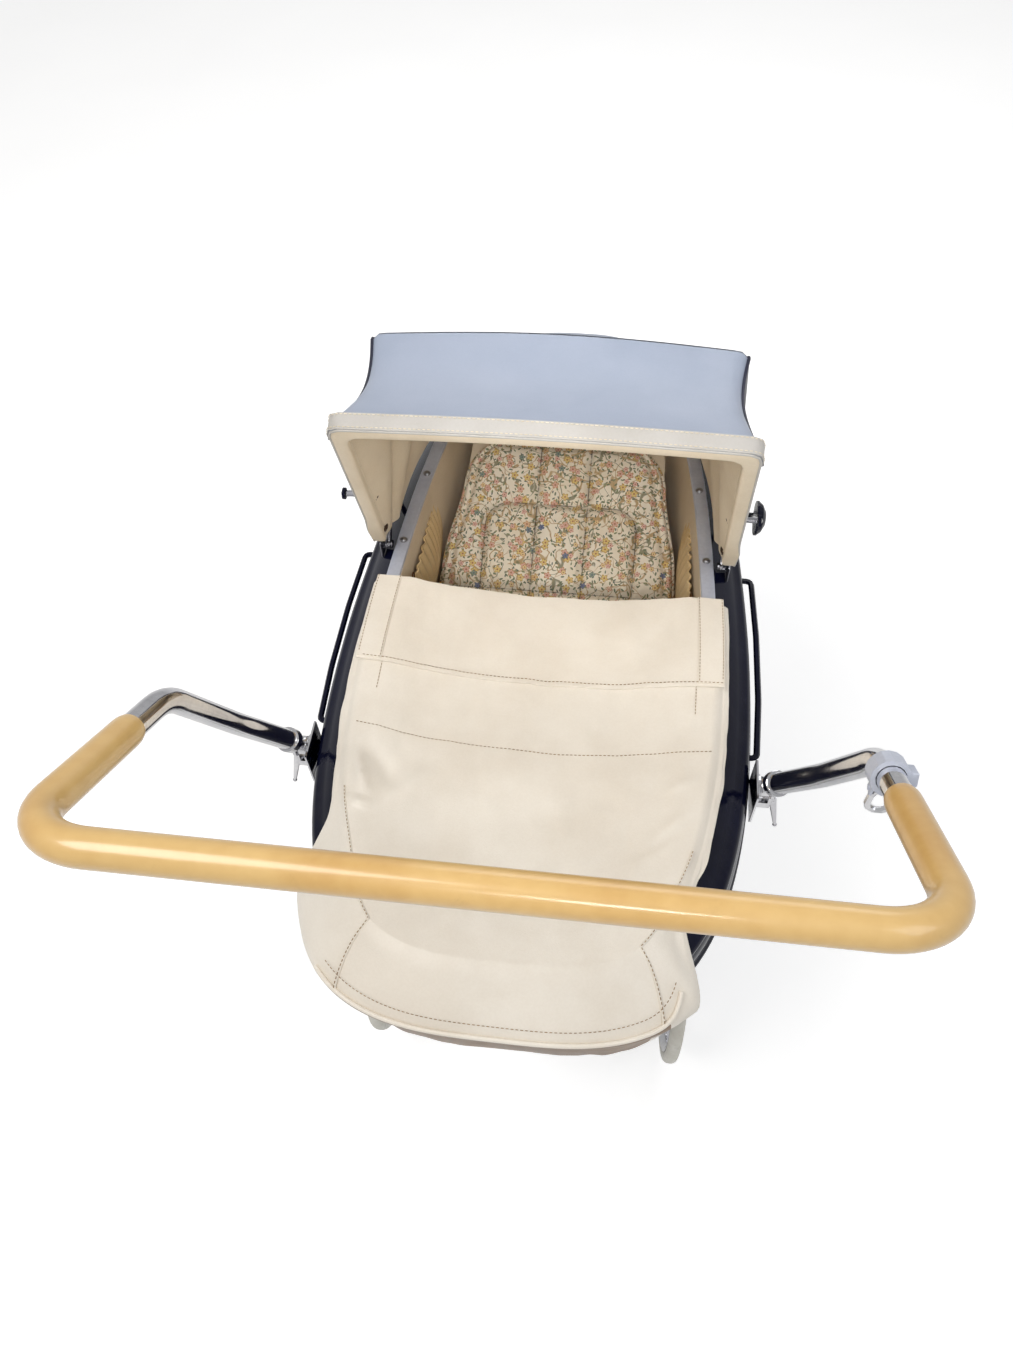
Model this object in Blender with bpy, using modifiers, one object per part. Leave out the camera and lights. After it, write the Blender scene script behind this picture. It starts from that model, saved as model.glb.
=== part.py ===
"""Coach-built pram: boat-shaped body, folding hood, apron, drop handle and sprung chassis.

Metres, +Z up. +X is the pusher's right, +Y points away from the pusher towards the hood.
The origin is on the floor under the middle of the pram.
"""
import math

import bmesh
import bpy
from mathutils import Matrix, Vector

# Clearances
SEAT = 0.0003            # between two pieces that rest on each other
RUNNING = 0.0006         # round a pin or an axle that turns

# Body: plan outline at the rim, and how the sides swell below it
BODY_Y = 0.021           # middle of the body
RIM_Z = 0.700            # top edge of the hull at the middle
RIM_HALF_WIDTH = 0.183
RIM_HALF_LENGTH = 0.430
RIM_SHEER = 0.016        # how far the rim rises towards each end
PLAN_POWER = 3.1         # 2 is an ellipse, more is squarer
HULL_DEPTH = 0.292
HULL_ROCKER = 0.12       # share of the depth lost at the ends
HULL_WALL = 0.004
BULGE_DEPTH = 0.062      # where the body is widest
BULGE_WIDTH = 0.049      # swell beyond the rim at the sides
BULGE_LENGTH = 0.030     # swell beyond the rim at the ends
KEEL_HALF_WIDTH = 0.105
KEEL_HALF_LENGTH = 0.290
BEAD_DEPTHS = (0.040, 0.078)
BEAD_HEIGHT = 0.0030
BEAD_HALF = 0.006
HULL_SEGMENTS = 32
HEAD_TAPER = 0.35        # how fast the body narrows towards the hood end

# Rim band and its studs
BAND_WIDTH = 0.0155
BAND_OVERHANG = 0.0040
BAND_THICK = 0.0045
STUD_RADIUS = 0.0042
STUD_HEIGHT = 0.0022
STUD_PLACES = (0.081, 0.190, 0.300)

# Inside of the body
LINING_WALL = 0.0030
LINING_LEAN = 0.012      # the walls lean in by this much at the floor
FLOOR_TOP = 0.488
FLOOR_THICK = 0.006
FLOOR_CLEAR = 0.0115      # from the hull's outer face to the floor board's edge
MATTRESS_THICK = 0.045
BACKREST_HINGE = (0.030, 0.512)
BACKREST_ANGLE = 30.0
BACKREST_LENGTH = 0.315
BACKREST_HALF_WIDTH = 0.148
BACKREST_TAPER = 0.021   # lost from each half by its far end
BACKREST_THICK = 0.006
HEAD_ROUND = 0.055       # corner radius at the head of the board and its pad
QUILT_THICK = 0.026
QUILT_MARGIN = 0.006
PROP_REACH = BACKREST_LENGTH - 0.115   # from the backrest hinge to the prop's pivot
PROP_ANGLE = 60.0
PROP_WIRE = 0.0030
PROP_HALF = 0.070

# Apron
APRON_TOP_EDGE = 0.022   # where its upper hem crosses the body
APRON_THICK = 0.0018
APRON_SAG = 0.018
APRON_TURN_DOWN = 0.006  # its edge beside the body
APRON_DROP = 0.205       # depth of its skirt at the foot end
APRON_SKIRT_START = -0.165
APRON_CORNER_ANGLE = -60.0             # plan angle of the sewn corner
APRON_STANDOFF = 0.0046

# Hood
HOOD_PIVOT = (0.078, 0.700)            # y and z of the bows' common axis
HOOD_ANGLES = (112.7, 82.8, 48.0)      # front, middle and rear bow above the rim line
HOOD_RADII = (0.309, 0.262, 0.224)
HOOD_TOP_HALF_WIDTH = (0.180, 0.174, 0.166)
HOOD_ARM_LAYERS = (0.1980, 0.1949, 0.1918)
HOOD_ARM_THICK = 0.0025
HOOD_ARM_WIDTH = 0.010
HOOD_ARM_REACH = 0.066
HOOD_CORNER = 0.022
HOOD_FOOT = 0.028        # the cloth starts this far from the pivot
HOOD_CLOTH = 0.0016
HOOD_CLOTH_LIFT = 0.0074 # cloth's middle above a bow's middle
HOOD_SAG = 0.014
HOOD_SEAM = 0.0008       # from a bow's middle line to the edge of the panel beside it
HOOD_HEM = 4.4           # degrees that the front hem reaches past its bow
BOW_WIRE = 0.0042
HOOD_PIN = 0.0030
STAY_PLANE = 0.2225
STAY_REACH = 0.150       # where the stay meets the front bow
STAY_ELBOW = (0.140, 0.718)
STAY_FOOT = (0.260, 0.598)
STAY_WIRE = 0.0038
STAY_STUD = 0.0028
STAY_PIN = 0.0025
KNOB_RADIUS = 0.0200
KNOB_HALF = 0.0100

# Side rails
RAIL_WIRE = 0.0036
RAIL_GAP = (0.0040, 0.0085)            # off the hull at the handle and at the hood

# Handle
HANDLE_PIVOT = (0.2440, -0.176, 0.654)
HANDLE_BEND = (0.2870, -0.281, 0.899)
HANDLE_CORNER = (0.2930, -0.468, 1.017)
HANDLE_TUBE = 0.0110
HANDLE_NECK = 0.0305      # from the hinge to the start of the tube, clear of the bracket
HANDLE_GRIP = 0.0135
GRIP_WALL = 0.0015
HANDLE_SWAN = 0.22       # radius of the swan neck between the hinge and the bend
HANDLE_BEND_RADIUS = 0.050
HANDLE_CORNER_RADIUS = 0.050
GRIP_START = 0.27        # share of the way from bend to corner
EYE_HALF = 0.0055
EYE_RADIUS = 0.0125
EAR_THICK = 0.0032
BRACKET_HALF = 0.023
HINGE_PIN = 0.0040
CLAMP_FROM_BEND = 0.024
CLAMP_WIDTH = 0.017
CLAMP_RADIUS = 0.0155
HOOK_WIRE = 0.0030
HOOK_BALL = 0.0052
LEVER_PIVOT = (-0.174, 0.634)
LEVER_LENGTH = 0.046

# Wheels and axles
WHEEL_RADIUS = 0.175     # from the hub to a flat of the tread
WHEEL_TRACK = 0.202
WHEEL_Y = (-0.158, 0.292)
TYRE_HALF = 0.0090
TYRE_DEEP = 0.0170
RIM_DEEP = 0.0070
WHEEL_SEGMENTS = 24
SPOKES = 14
SPOKE_RADIUS = 0.0012
AXLE_RADIUS = 0.0060
HUB_RADIUS = 0.0135
HUB_HALF = 0.0190
CAP_INSET = 0.0012       # how far the hub cap goes into the barrel

# Chassis under the body
FRAME_HALF = 0.150       # side members, springs and straps
FRAME_Z = 0.225
FRAME_TUBE = 0.0070
SPRING_WIDTH = 0.020
SPRING_THICK = 0.0036
SPRING_EYE = 0.0080
SPRING_EYE_Z = 0.366
SPRING_EYE_IN = 0.040    # eye's distance inside its axle
STRAP_THICK = 0.0030
STRAP_WIDTH = 0.018
STRAP_DROP = 0.036
SPRING_PIN = 0.0060       # the round pin that a strap hangs on
STRAP_X = FRAME_HALF - SPRING_WIDTH / 2 - STRAP_WIDTH / 2 - SEAT * 2
CRADLE_HALF = 0.070
CRADLE_TUBE = 0.0070
CROSS_TUBE = 0.0060
BRAKE_ROD = (WHEEL_Y[0] + WHEEL_RADIUS + 0.013, WHEEL_RADIUS + 0.110)
BRAKE_ROD_RADIUS = 0.0050
BRAKE_GAP = 0.0033       # from the tread to the end of the arm when the brake is on
BRAKE_ARM = (math.hypot(BRAKE_ROD[0] - WHEEL_Y[0], BRAKE_ROD[1] - WHEEL_RADIUS)
             - WHEEL_RADIUS - BRAKE_GAP)
BRAKE_PAD = 0.0038
BRAKE_THROW = 30.0       # degrees from off to on
PEDAL_REACH = 0.165

PARTS = bpy.data.collections.new("pram")


def clear_scene():
    for old in list(bpy.data.objects):
        bpy.data.objects.remove(old, do_unlink=True)
    bpy.context.scene.collection.children.link(PARTS)


def finish_material(name, colour, roughness, metallic=0.0):
    """One Principled material per finish, made once."""
    found = bpy.data.materials.get(name)
    if found:
        return found
    made = bpy.data.materials.new(name)
    made.use_nodes = True
    shader = made.node_tree.nodes["Principled BSDF"]
    shader.inputs["Base Color"].default_value = (*colour, 1.0)
    shader.inputs["Roughness"].default_value = roughness
    shader.inputs["Metallic"].default_value = metallic
    made.diffuse_color = (*colour, 1.0)
    return made


def navy():
    return finish_material("navy_enamel", (0.006, 0.008, 0.030), 0.12)


def chrome():
    return finish_material("chrome_plate", (0.72, 0.72, 0.72), 0.10, 1.0)


def satin():
    return finish_material("satin_aluminium", (0.30, 0.30, 0.33), 0.38, 1.0)


def ivory():
    return finish_material("ivory_grip", (0.80, 0.62, 0.34), 0.35)


def leathercloth():
    return finish_material("cream_leathercloth", (0.72, 0.66, 0.56), 0.50)


def hood_cloth():
    return finish_material("pale_hood_cloth", (0.76, 0.76, 0.76), 0.50)


def quilting():
    return finish_material("quilted_cotton", (0.70, 0.62, 0.48), 0.90)


def rubber():
    return finish_material("white_rubber", (0.70, 0.70, 0.68), 0.70)


def plywood():
    return finish_material("plywood", (0.45, 0.32, 0.18), 0.60)


def tan_leather():
    return finish_material("tan_leather", (0.22, 0.10, 0.04), 0.55)


def place(obj, material, parent=None):
    """Put an object in the pram's collection, with its finish and its parent empty."""
    for held in list(obj.users_collection):
        held.objects.unlink(obj)
    PARTS.objects.link(obj)
    obj.data.materials.clear()
    obj.data.materials.append(material)
    if parent is not None:
        bpy.context.view_layer.update()
        keep = obj.matrix_world.copy()
        obj.parent = parent
        obj.matrix_parent_inverse = Matrix.Identity(4)
        bpy.context.view_layer.update()
        obj.matrix_world = keep
    return obj


def axis_empty(name, point, parent=None):
    """An empty on a joint's axis, which carries the pieces that turn there."""
    empty = bpy.data.objects.new(name, None)
    empty.empty_display_size = 0.02
    PARTS.objects.link(empty)
    empty.parent = parent
    bpy.context.view_layer.update()
    empty.matrix_world = Matrix.Translation(Vector(point))
    bpy.context.view_layer.update()
    return empty


def object_from(name, form, smooth_angle=35.0):
    """Close a bmesh into a new object with outward faces and smooth shading."""
    bmesh.ops.recalc_face_normals(form, faces=form.faces[:])
    mesh = bpy.data.meshes.new(name)
    form.to_mesh(mesh)
    form.free()
    obj = bpy.data.objects.new(name, mesh)
    PARTS.objects.link(obj)
    mesh.shade_smooth()
    mesh.set_sharp_from_angle(angle=math.radians(smooth_angle))
    return obj


def baked(obj, name):
    """The evaluated mesh of an object as a new welded object; the source goes."""
    bpy.context.view_layer.update()
    seen = obj.evaluated_get(bpy.context.evaluated_depsgraph_get())
    mesh = bpy.data.meshes.new_from_object(seen)
    made = bpy.data.objects.new(name, mesh)
    made.matrix_world = obj.matrix_world.copy()
    PARTS.objects.link(made)
    bpy.data.objects.remove(obj, do_unlink=True)
    made.name = name
    form = bmesh.new()
    form.from_mesh(mesh)
    bmesh.ops.remove_doubles(form, verts=form.verts[:], dist=0.000005)
    bmesh.ops.recalc_face_normals(form, faces=form.faces[:])
    form.to_mesh(mesh)
    form.free()
    return made


def joined(name, pieces):
    """Boolean union of several closed objects into one solid."""
    body = pieces[0]
    for tool in pieces[1:]:
        body = cut_or_join(body, tool, "UNION")
    return baked(body, name)


def cut_or_join(body, tool, operation):
    step = body.modifiers.new("boolean", "BOOLEAN")
    step.operation = operation
    step.solver = "EXACT"
    step.object = tool
    result = baked(body, body.name + "_step")
    bpy.data.objects.remove(tool, do_unlink=True)
    return result


def cut_to_name(name, body, tool):
    """Cut a hole and give the result its final name."""
    made = cut_or_join(body, tool, "DIFFERENCE")
    made.name = name
    return made


def grouped(name, pieces):
    """Several solids in one mesh, to be joined to another piece in one step."""
    form = bmesh.new()
    for piece in pieces:
        bpy.context.view_layer.update()
        seen = piece.evaluated_get(bpy.context.evaluated_depsgraph_get())
        mesh = bpy.data.meshes.new_from_object(seen)
        mesh.transform(piece.matrix_world)
        form.from_mesh(mesh)
        bpy.data.meshes.remove(mesh)
        bpy.data.objects.remove(piece, do_unlink=True)
    bmesh.ops.remove_doubles(form, verts=form.verts[:], dist=0.000001)
    return object_from(name, form)


def box(name, size, centre, turn=None, bevel=0.0):
    """A box of full size (x, y, z); turn is a rotation matrix about its centre."""
    form = bmesh.new()
    bmesh.ops.create_cube(form, size=1.0)
    bmesh.ops.scale(form, vec=Vector(size), verts=form.verts[:])
    if bevel > 0.0:
        bmesh.ops.bevel(form, geom=form.edges[:], offset=bevel, segments=1, affect="EDGES")
    if turn is not None:
        bmesh.ops.transform(form, matrix=turn, verts=form.verts[:])
    bmesh.ops.translate(form, vec=Vector(centre), verts=form.verts[:])
    return object_from(name, form)


def rod(name, start, end, radius, sides=12, end_radius=None):
    """A straight round bar, or a taper where end_radius is given."""
    start = Vector(start)
    end = Vector(end)
    along = end - start
    form = bmesh.new()
    far = radius if end_radius is None else end_radius
    bmesh.ops.create_cone(form, cap_ends=True, segments=sides, radius1=radius, radius2=far,
                          depth=along.length)
    turn = along.to_track_quat("Z", "Y").to_matrix().to_4x4()
    turn.translation = (start + end) / 2
    bmesh.ops.transform(form, matrix=turn, verts=form.verts[:])
    return object_from(name, form)


def wire(name, points, radius, resolution=1, closed=False):
    """A bent wire or tube along a list of points."""
    curve = bpy.data.curves.new(name, "CURVE")
    curve.dimensions = "3D"
    curve.bevel_depth = radius
    curve.bevel_resolution = resolution
    curve.use_fill_caps = not closed
    spline = curve.splines.new("POLY")
    spline.points.add(len(points) - 1)
    for slot, point in zip(spline.points, points):
        slot.co = (*point, 1.0)
    spline.use_cyclic_u = closed
    obj = bpy.data.objects.new(name, curve)
    PARTS.objects.link(obj)
    return baked(obj, name)


def rounded_path(corners, radii, steps=5):
    """Corner points with each inner corner replaced by an arc of the given radius."""
    points = [Vector(corners[0])]
    for index in range(1, len(corners) - 1):
        before = Vector(corners[index - 1])
        here = Vector(corners[index])
        after = Vector(corners[index + 1])
        back = (before - here).normalized()
        ahead = (after - here).normalized()
        half = back.angle(ahead) / 2
        radius = radii[index - 1]
        reach = radius / math.tan(half)
        centre = here + (back + ahead).normalized() * (radius / math.sin(half))
        first = here + back * reach
        last = here + ahead * reach
        sweep = (first - centre).angle(last - centre)
        axis = (first - centre).cross(last - centre).normalized()
        for step in range(steps + 1):
            turn = Matrix.Rotation(sweep * step / steps, 3, axis)
            points.append(centre + turn @ (first - centre))
    points.append(Vector(corners[-1]))
    return points


def loft(name, rings, cap_first=False, cap_last=False):
    """Skin through closed rings with equal point counts, with flat ends where asked."""
    form = bmesh.new()
    rows = [[form.verts.new(point) for point in ring] for ring in rings]
    count = len(rings[0])
    for lower, upper in zip(rows, rows[1:]):
        for here in range(count):
            beyond = (here + 1) % count
            form.faces.new((lower[here], lower[beyond], upper[beyond], upper[here]))
    if cap_first:
        form.faces.new(list(reversed(rows[0])))
    if cap_last:
        form.faces.new(rows[-1])
    return object_from(name, form)


def sheet(name, rows, thick, side=0.0):
    """An open grid of points given thickness by Solidify; side is its offset."""
    form = bmesh.new()
    grid = [[form.verts.new(point) for point in row] for row in rows]
    for lower, upper in zip(grid, grid[1:]):
        for here in range(len(lower) - 1):
            form.faces.new((lower[here], lower[here + 1], upper[here + 1], upper[here]))
    obj = object_from(name, form)
    thicken(obj, thick, side)
    return obj


def thicken(obj, thick, side):
    shell = obj.modifiers.new("thickness", "SOLIDIFY")
    shell.thickness = thick
    shell.offset = side
    shell.use_even_offset = True


def turned(name, profile, axis_point, axis="Z", steps=24):
    """A solid of revolution: profile is (radius, height) from the top down."""
    form = bmesh.new()
    points = [form.verts.new((radius, 0.0, height)) for radius, height in profile]
    for first, second in zip(points, points[1:]):
        form.edges.new((first, second))
    mesh = bpy.data.meshes.new(name)
    form.to_mesh(mesh)
    form.free()
    obj = bpy.data.objects.new(name, mesh)
    PARTS.objects.link(obj)
    spin = obj.modifiers.new("turn", "SCREW")
    spin.steps = steps
    spin.render_steps = steps
    spin.use_merge_vertices = True
    spin.merge_threshold = 0.00001
    made = baked(obj, name)
    if axis == "X":
        made.data.transform(Matrix.Rotation(math.radians(90), 4, "Y"))
    if axis == "Y":
        made.data.transform(Matrix.Rotation(math.radians(-90), 4, "X"))
    made.data.transform(Matrix.Translation(Vector(axis_point)))
    made.data.shade_smooth()
    made.data.set_sharp_from_angle(angle=math.radians(35))
    return made


def superellipse(angle, half_width, half_length):
    """A point of the plan outline and its outward direction."""
    across = math.cos(angle)
    along = math.sin(angle)
    x = half_width * math.copysign(abs(across) ** (2 / PLAN_POWER), across)
    y = half_length * math.copysign(abs(along) ** (2 / PLAN_POWER), along)
    slope_x = math.copysign(abs(x / half_width) ** (PLAN_POWER - 1), x) / half_width
    slope_y = math.copysign(abs(y / half_length) ** (PLAN_POWER - 1), y) / half_length
    return Vector((x, y)), Vector((slope_x, slope_y)).normalized()


def plan_angles(count, dense=720, length_share=0.62):
    """Angles spaced by a mix of distance and turning, so corners get more points."""
    steps = [math.pi / 2 * index / dense for index in range(dense + 1)]
    steps[0] = 1e-9
    steps[-1] -= 1e-9
    shape = [superellipse(step, RIM_HALF_WIDTH, RIM_HALF_LENGTH) for step in steps]
    runs = [(second[0] - first[0]).length for first, second in zip(shape, shape[1:])]
    turns = [first[1].angle(second[1]) for first, second in zip(shape, shape[1:])]
    cost = [length_share * run / sum(runs) + (1 - length_share) * turn / sum(turns)
            for run, turn in zip(runs, turns)]
    each = count // 4
    quarter = []
    passed = 0.0
    for step, share in zip(steps[1:], cost):
        passed += share
        if len(quarter) < each and passed >= (len(quarter) + 0.5) / each:
            quarter.append(step)
    second = [math.pi - step for step in reversed(quarter)]
    third = [math.pi + step for step in quarter]
    fourth = [2 * math.pi - step for step in reversed(quarter)]
    return quarter + second + third + fourth


def head_taper(y):
    """The share of its width that the body keeps at y."""
    blend = 0.06
    return 1 - HEAD_TAPER * (math.hypot(y, blend) + y - blend) / 2


def body_half_sizes(depth):
    """Half width and half length of the hull at a depth below its rim."""
    wide = RIM_HALF_WIDTH + BULGE_WIDTH
    long = RIM_HALF_LENGTH + BULGE_LENGTH
    if depth <= BULGE_DEPTH:
        grow = math.sin(math.pi / 2 * depth / BULGE_DEPTH)
        return RIM_HALF_WIDTH + BULGE_WIDTH * grow, RIM_HALF_LENGTH + BULGE_LENGTH * grow
    fall = (depth - BULGE_DEPTH) / (HULL_DEPTH - BULGE_DEPTH)
    keep = (1 - min(fall, 1.0) ** 2.4) ** 0.7
    return (KEEL_HALF_WIDTH + (wide - KEEL_HALF_WIDTH) * keep,
            KEEL_HALF_LENGTH + (long - KEEL_HALF_LENGTH) * keep)


def hull_point(angle, depth, out=0.0):
    """A point on the hull's outer face, moved outwards in plan by out."""
    half_width, half_length = body_half_sizes(depth)
    place_2d, outward = superellipse(angle, half_width, half_length)
    share = place_2d.y / half_length
    place_2d.x *= head_taper(place_2d.y + BODY_Y)
    spot = place_2d + outward * out
    height = RIM_Z + RIM_SHEER * share ** 2 - depth * (1 - HULL_ROCKER * share ** 4)
    return Vector((spot.x, spot.y + BODY_Y, height))


def hull_at_height(angle, height, out=0.0):
    """The point of the hull's outer face at a world height, below its widest line."""
    low = BULGE_DEPTH
    high = HULL_DEPTH
    for _ in range(30):
        middle = (low + high) / 2
        if hull_point(angle, middle).z > height:
            low = middle
        else:
            high = middle
    found = hull_point(angle, low, out)
    found.z = height
    return found


def rim_angle(y, side):
    """The plan angle where the rim line passes a given y on one side."""
    share = (y - BODY_Y) / RIM_HALF_LENGTH
    along = math.copysign(abs(share) ** (PLAN_POWER / 2), share)
    angle = math.asin(max(-1.0, min(1.0, along)))
    return angle if side > 0 else math.pi - angle


def side_point(y, depth, side, out=0.0):
    """A point of the body's side at a given y and depth, outside it by out."""
    half_width, half_length = body_half_sizes(depth)
    share = (y - BODY_Y) / half_length
    x = half_width * (1 - abs(share) ** PLAN_POWER) ** (1 / PLAN_POWER) * head_taper(y)
    height = RIM_Z + RIM_SHEER * share ** 2 - depth * (1 - HULL_ROCKER * share ** 4)
    return Vector((side * (x + out), y, height))


def bead_swell(depth):
    """How far the two moulded beads stand out at this depth."""
    for centre in BEAD_DEPTHS:
        off = abs(depth - centre)
        if off < BEAD_HALF * 0.5:
            return BEAD_HEIGHT
    return 0.0


def body_hull():
    depths = [0.0, 0.018]
    for centre in BEAD_DEPTHS:
        depths += [centre - BEAD_HALF, centre, centre + BEAD_HALF]
    depths += [0.130, 0.180, 0.222, 0.255, 0.278, HULL_DEPTH]
    angles = plan_angles(HULL_SEGMENTS)
    rings = [[hull_point(angle, depth, bead_swell(depth)) for angle in angles]
             for depth in depths]
    hull = loft("body_hull", rings)
    close_keel(hull, rings[-1])
    thicken(hull, HULL_WALL, -1.0)
    return place(hull, navy())


def close_keel(hull, ring):
    """Plate the hull's bottom with strips from side to side, which follow its rocker."""
    form = bmesh.new()
    form.from_mesh(hull.data)
    count = len(ring)
    start = len(form.verts) - count
    form.verts.ensure_lookup_table()
    last = [form.verts[start + index] for index in range(count)]
    quarter = count // 4
    right = last[3 * quarter:] + last[:quarter]
    left = list(reversed(last[quarter:3 * quarter]))
    for index in range(len(right) - 1):
        form.faces.new((right[index], right[index + 1], left[index + 1], left[index]))
    bmesh.ops.recalc_face_normals(form, faces=form.faces[:])
    form.to_mesh(hull.data)
    form.free()
    if hull.data.polygons[0].normal.dot(hull.data.polygons[0].center) < 0:
        hull.data.flip_normals()


def rim_band():
    """The flat metal band over the hull's top edge, with its riveted press studs."""
    angles = plan_angles(HULL_SEGMENTS)
    edge = 0.0012
    inner = BAND_OVERHANG - BAND_WIDTH
    section = ((BAND_OVERHANG, SEAT), (BAND_OVERHANG, BAND_THICK - edge),
               (BAND_OVERHANG - edge, BAND_THICK), (inner + edge, BAND_THICK),
               (inner, BAND_THICK - edge), (inner, SEAT))
    rings = []
    for angle in angles:
        ring = []
        for out, rise in section:
            spot = hull_point(angle, 0.0, out)
            ring.append(spot + Vector((0, 0, rise)))
        rings.append(ring)
    form = bmesh.new()
    rows = [[form.verts.new(point) for point in ring] for ring in rings]
    for here, beyond in zip(rows, rows[1:] + rows[:1]):
        for index in range(len(section)):
            after = (index + 1) % len(section)
            form.faces.new((here[index], here[after], beyond[after], beyond[index]))
    band = object_from("rim_band", form)
    return place(joined("rim_band", [band] + rim_studs()), satin())


def band_middle(y, side):
    """The middle of the band's top face at a given y."""
    angle = rim_angle(y, side)
    spot = hull_point(angle, 0.0, BAND_OVERHANG - BAND_WIDTH / 2)
    return spot + Vector((0, 0, BAND_THICK))


def rim_studs():
    """Press studs for the apron and the hood: low domes on the band's top face."""
    dome = ((0.0, STUD_HEIGHT), (STUD_RADIUS * 0.6, STUD_HEIGHT * 0.85),
            (STUD_RADIUS, STUD_HEIGHT * 0.35), (STUD_RADIUS, -SEAT * 2), (0.0, -SEAT * 2))
    return [turned("stud", dome, band_middle(y, side), steps=8)
            for side in (-1, 1) for y in STUD_PLACES]


def lining_outline(angle, share, out=0.0):
    """Lining wall from the rim (share 0) to the floor (share 1)."""
    inner = BAND_OVERHANG - BAND_WIDTH + LINING_WALL
    top = hull_point(angle, 0.0, inner + out)
    upright = hull_point(angle, 0.0, inner + out - LINING_LEAN)
    sloped = hull_at_height(angle, FLOOR_TOP, out - FLOOR_CLEAR - SEAT * 4)
    middle = Vector((0, BODY_Y, 0))
    if (flat(sloped) - middle).length < (flat(upright) - middle).length:
        foot = sloped
    else:
        foot = upright
    spot = top.lerp(foot, share)
    lean = (flat(top) - flat(foot)).length
    tilt = LINING_WALL * lean / (top.z - FLOOR_TOP)
    spot.z = top.z - tilt + (FLOOR_TOP + SEAT + tilt - top.z) * share
    return spot


def flat(point):
    return Vector((point.x, point.y, 0))


def side_lining():
    angles = plan_angles(HULL_SEGMENTS)
    rings = [[lining_outline(angle, share) for angle in angles]
             for share in (0.0, 0.5, 1.0)]
    walls = loft("side_lining", rings)
    thicken(walls, LINING_WALL, -1.0)
    return place(walls, leathercloth())


def floor_board():
    """A ply board that wedges into the hull and carries the lining's walls."""
    angles = plan_angles(HULL_SEGMENTS)
    rings = [[hull_at_height(angle, height, -FLOOR_CLEAR) for angle in angles]
             for height in (FLOOR_TOP, FLOOR_TOP - FLOOR_THICK)]
    lower = [Vector((point.x, point.y, FLOOR_TOP - FLOOR_THICK)) for point in rings[1]]
    board = loft("floor_board", [rings[0], lower], cap_first=True, cap_last=True)
    return place(board, plywood())


def side_pocket(side):
    """A gathered pocket that lies on the lining wall and bellies into the body."""
    columns = 9
    levels = (0.14, 0.34, 0.54, 0.74)
    back = []
    front = []
    for level in levels:
        back_row = []
        front_row = []
        for column in range(columns):
            share = column / (columns - 1)
            y = 0.040 + 0.170 * share
            angle = rim_angle(y, side)
            belly = math.sin(math.pi * share) * (0.35 + 0.65 * (level - 0.14) / 0.6)
            gather = 0.0008 * (column % 2)
            wall = -(LINING_WALL + SEAT * 5)
            back_row.append(lining_outline(angle, level, wall))
            front_row.append(lining_outline(angle, level, wall - 0.0016 - gather - 0.009 * belly))
        back.append(back_row)
        front.append(front_row)
    rings = []
    for back_row, front_row in zip(back, front):
        rings.append(back_row + list(reversed(front_row)))
    name = "pocket_right" if side > 0 else "pocket_left"
    return place(loft(name, rings, cap_first=True, cap_last=True), leathercloth())


def mattress():
    """The seat cushion on the floor of the foot half, crowned, with drawn-in sides."""
    gap = 0.0035
    foot = lining_outline(-math.pi / 2, 1.0, -LINING_WALL).y + gap + 0.004
    head = BACKREST_HINGE[0] - 0.018
    middle = (foot + head) / 2
    half_length = (head - foot) / 2
    half_width = RIM_HALF_WIDTH - 0.0155 - LINING_LEAN - gap - 0.012
    layers = ((0.0, -0.010), (0.006, 0.0), (0.5, -0.003), (0.85, 0.0), (1.0, -0.014))
    rings = []
    for share, grow in layers:
        ring = []
        for index in range(28):
            angle = 2 * math.pi * (index + 0.5) / 28
            spot, _ = superellipse(angle, half_width + grow, half_length + grow)
            ring.append(Vector((spot.x, spot.y + middle, FLOOR_TOP + SEAT + MATTRESS_THICK * share)))
        rings.append(ring)
    for shrink, rise in ((0.72, 0.006), (0.36, 0.010)):
        top = rings[4]
        centre = Vector((0, middle, 0))
        ring = []
        for point in top:
            flat = Vector((point.x, point.y, 0))
            spot = centre + (flat - centre) * shrink
            ring.append(Vector((spot.x, spot.y, point.z + rise)))
        rings.append(ring)
    return place(loft("mattress", rings, cap_first=True, cap_last=True), leathercloth())


def backrest_frame():
    """Directions of the backrest: along its slope and square to its face."""
    tilt = math.radians(BACKREST_ANGLE)
    along = Vector((0, math.cos(tilt), math.sin(tilt)))
    face = Vector((0, -math.sin(tilt), math.cos(tilt)))
    return Vector((0, *BACKREST_HINGE)), along, face


def backrest_half(up):
    """Half the board's width at a distance from its hinge: it narrows with the body."""
    return BACKREST_HALF_WIDTH - BACKREST_TAPER * up / BACKREST_LENGTH


def backrest_outline(steps=4):
    """The board's outline in its own plane: across, and up the slope."""
    low = 0.014
    high = BACKREST_LENGTH
    corners = ((backrest_half(low), low, 0.012, -90), (backrest_half(high), high, HEAD_ROUND, 0),
               (-backrest_half(high), high, HEAD_ROUND, 90), (-backrest_half(low), low, 0.012, 180))
    points = []
    for x, y, radius, start in corners:
        centre_x = x - math.copysign(radius, x)
        centre_y = y + radius if y == low else y - radius
        for step in range(steps + 1):
            turn = math.radians(start + 90 * step / steps)
            points.append((centre_x + radius * math.cos(turn), centre_y + radius * math.sin(turn)))
    return points


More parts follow.
